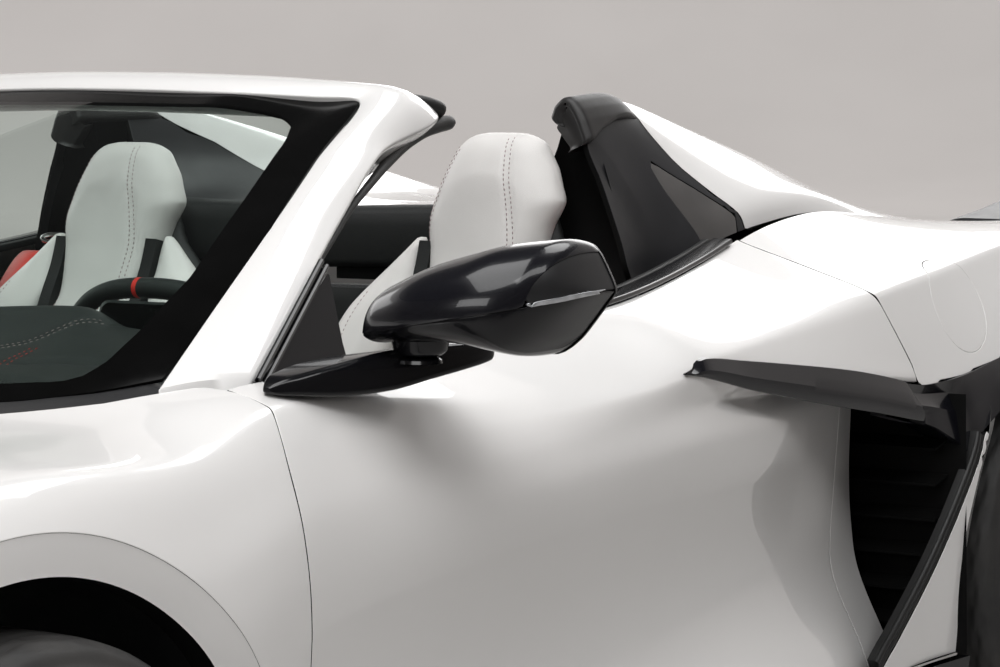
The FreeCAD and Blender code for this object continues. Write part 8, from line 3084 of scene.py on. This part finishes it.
# ---- CAD nodes whose shape is right keep it and get a finish
for node_, key in (("engine", "iron"), ("front_subframe", "iron"), ("rear_subframe", "iron"), ("knuckle_fl", "iron"), ("knuckle_fr", "iron"), ("trunk_tubs", "plastic"),
                   ("arch_liners", "plastic"), ("side_skirts", "gloss"), ("cabin_tub", "carpet")):
    o_ = D.objects.get(node_)
    if o_ is not None and o_.type == "MESH":
        if len(o_.material_slots) == 0:
            o_.data.materials.append(M[key])
        for s_ in o_.material_slots:
            s_.material = M[key]
    else:
        print("no object for", node_)
# =====================================================================================
# stage and light
# =====================================================================================
def cyclorama():
    """A pale floor that turns up far out into a glowing wall, so that every view has the same plain ground."""
    R, fr, H = 28.0, 6.0, 19.0
    prof = [(0.0, 0.0), (7.5, 0.0), (R - fr, 0.0)]
    prof += [(R - fr + fr * math.sin(a), fr - fr * math.cos(a)) for a in np.linspace(0.08, math.pi / 2, 18)]
    prof += [(R, H)]
    n = 96
    V, F = [], []
    for r, z in prof:
        for i in range(n):
            t = 2 * math.pi * i / n
            V.append((r * math.cos(t), r * math.sin(t), z - 0.0005))
    for k in range(len(prof) - 1):
        for i in range(n):
            j = (i + 1) % n
            F.append([k * n + i, k * n + j, (k + 1) * n + j, (k + 1) * n + i])
    me = D.meshes.new("stage_floor")
    me.from_pydata(V, [], F)
    me.polygons.foreach_set("use_smooth", [True] * len(F))
    ob = D.objects.new("stage_floor", me)
    bpy.context.collection.objects.link(ob)
    for name, lo, hi, glow, rough in (("stage_floor_pale", (0.36, 0.35, 0.34), (0.40, 0.39, 0.38), 0.0, 0.6), ("stage_wall", (0.53, 0.505, 0.490), (0.57, 0.545, 0.530), 0.69, 0.8)):
        m = node_material(name, lo, rough=rough)
        b = bsdf(m)
        v = coords(m)
        col = ramp(m, noise(m, v, 0.35, 3.0), [(0.3, lo), (0.7, hi)])
        wire(m, col, b.inputs["Base Color"])
        if glow:
            # painted light: the wall glows, bright behind the left rear and dim over the rest of the room
            dot = nn(m, "ShaderNodeVectorMath", operation="DOT_PRODUCT")
            wire(m, v, dot.inputs[0])
            dot.inputs[1].default_value = (-0.55 / R, 0.835 / R, 0.0)
            wire(m, col, b.inputs["Emission Color"])
            wire(m, remap(m, dot.outputs["Value"], 0.03, glow, -0.10, 0.70), b.inputs["Emission Strength"])
        me.materials.append(m)
    me.polygons.foreach_set("material_index", [0 if k < n else 1 for k in range(len(F))])
    return ob


cyclorama()
world = D.worlds.new("world")
bpy.context.scene.world = world
world.use_nodes = True
bg = world.node_tree.nodes["Background"]
bg.inputs[0].default_value = (0.80, 0.80, 0.80, 1)
bg.inputs[1].default_value = 0.06
area_light("top_front", (1.0, -2.1, 5.6), (0.2, -1.2, 0.5), (3.0, 5.6), 245)
area_light("top_rear", (1.0, 3.7, 5.6), (0.2, 2.2, 0.5), (3.0, 2.2), 84)
area_light("key_left", (4.3, -1.2, 5.0), (0.6, 0, 0.8), (4.5, 1.5), 98)
area_light("front", (1.5, -7.0, 3.4), (0.3, 0, 0.8), (4.0, 1.8), 120)
area_light("back", (-1.5, 7.0, 3.4), (0, 0.5, 0.8), (4.5, 2.5), 100)
area_light("right", (-5.6, 1.0, 3.0), (0, 0, 0.8), (4.0, 2.5), 85)
bpy.context.scene.view_settings.view_transform = "Standard"
make_camera()
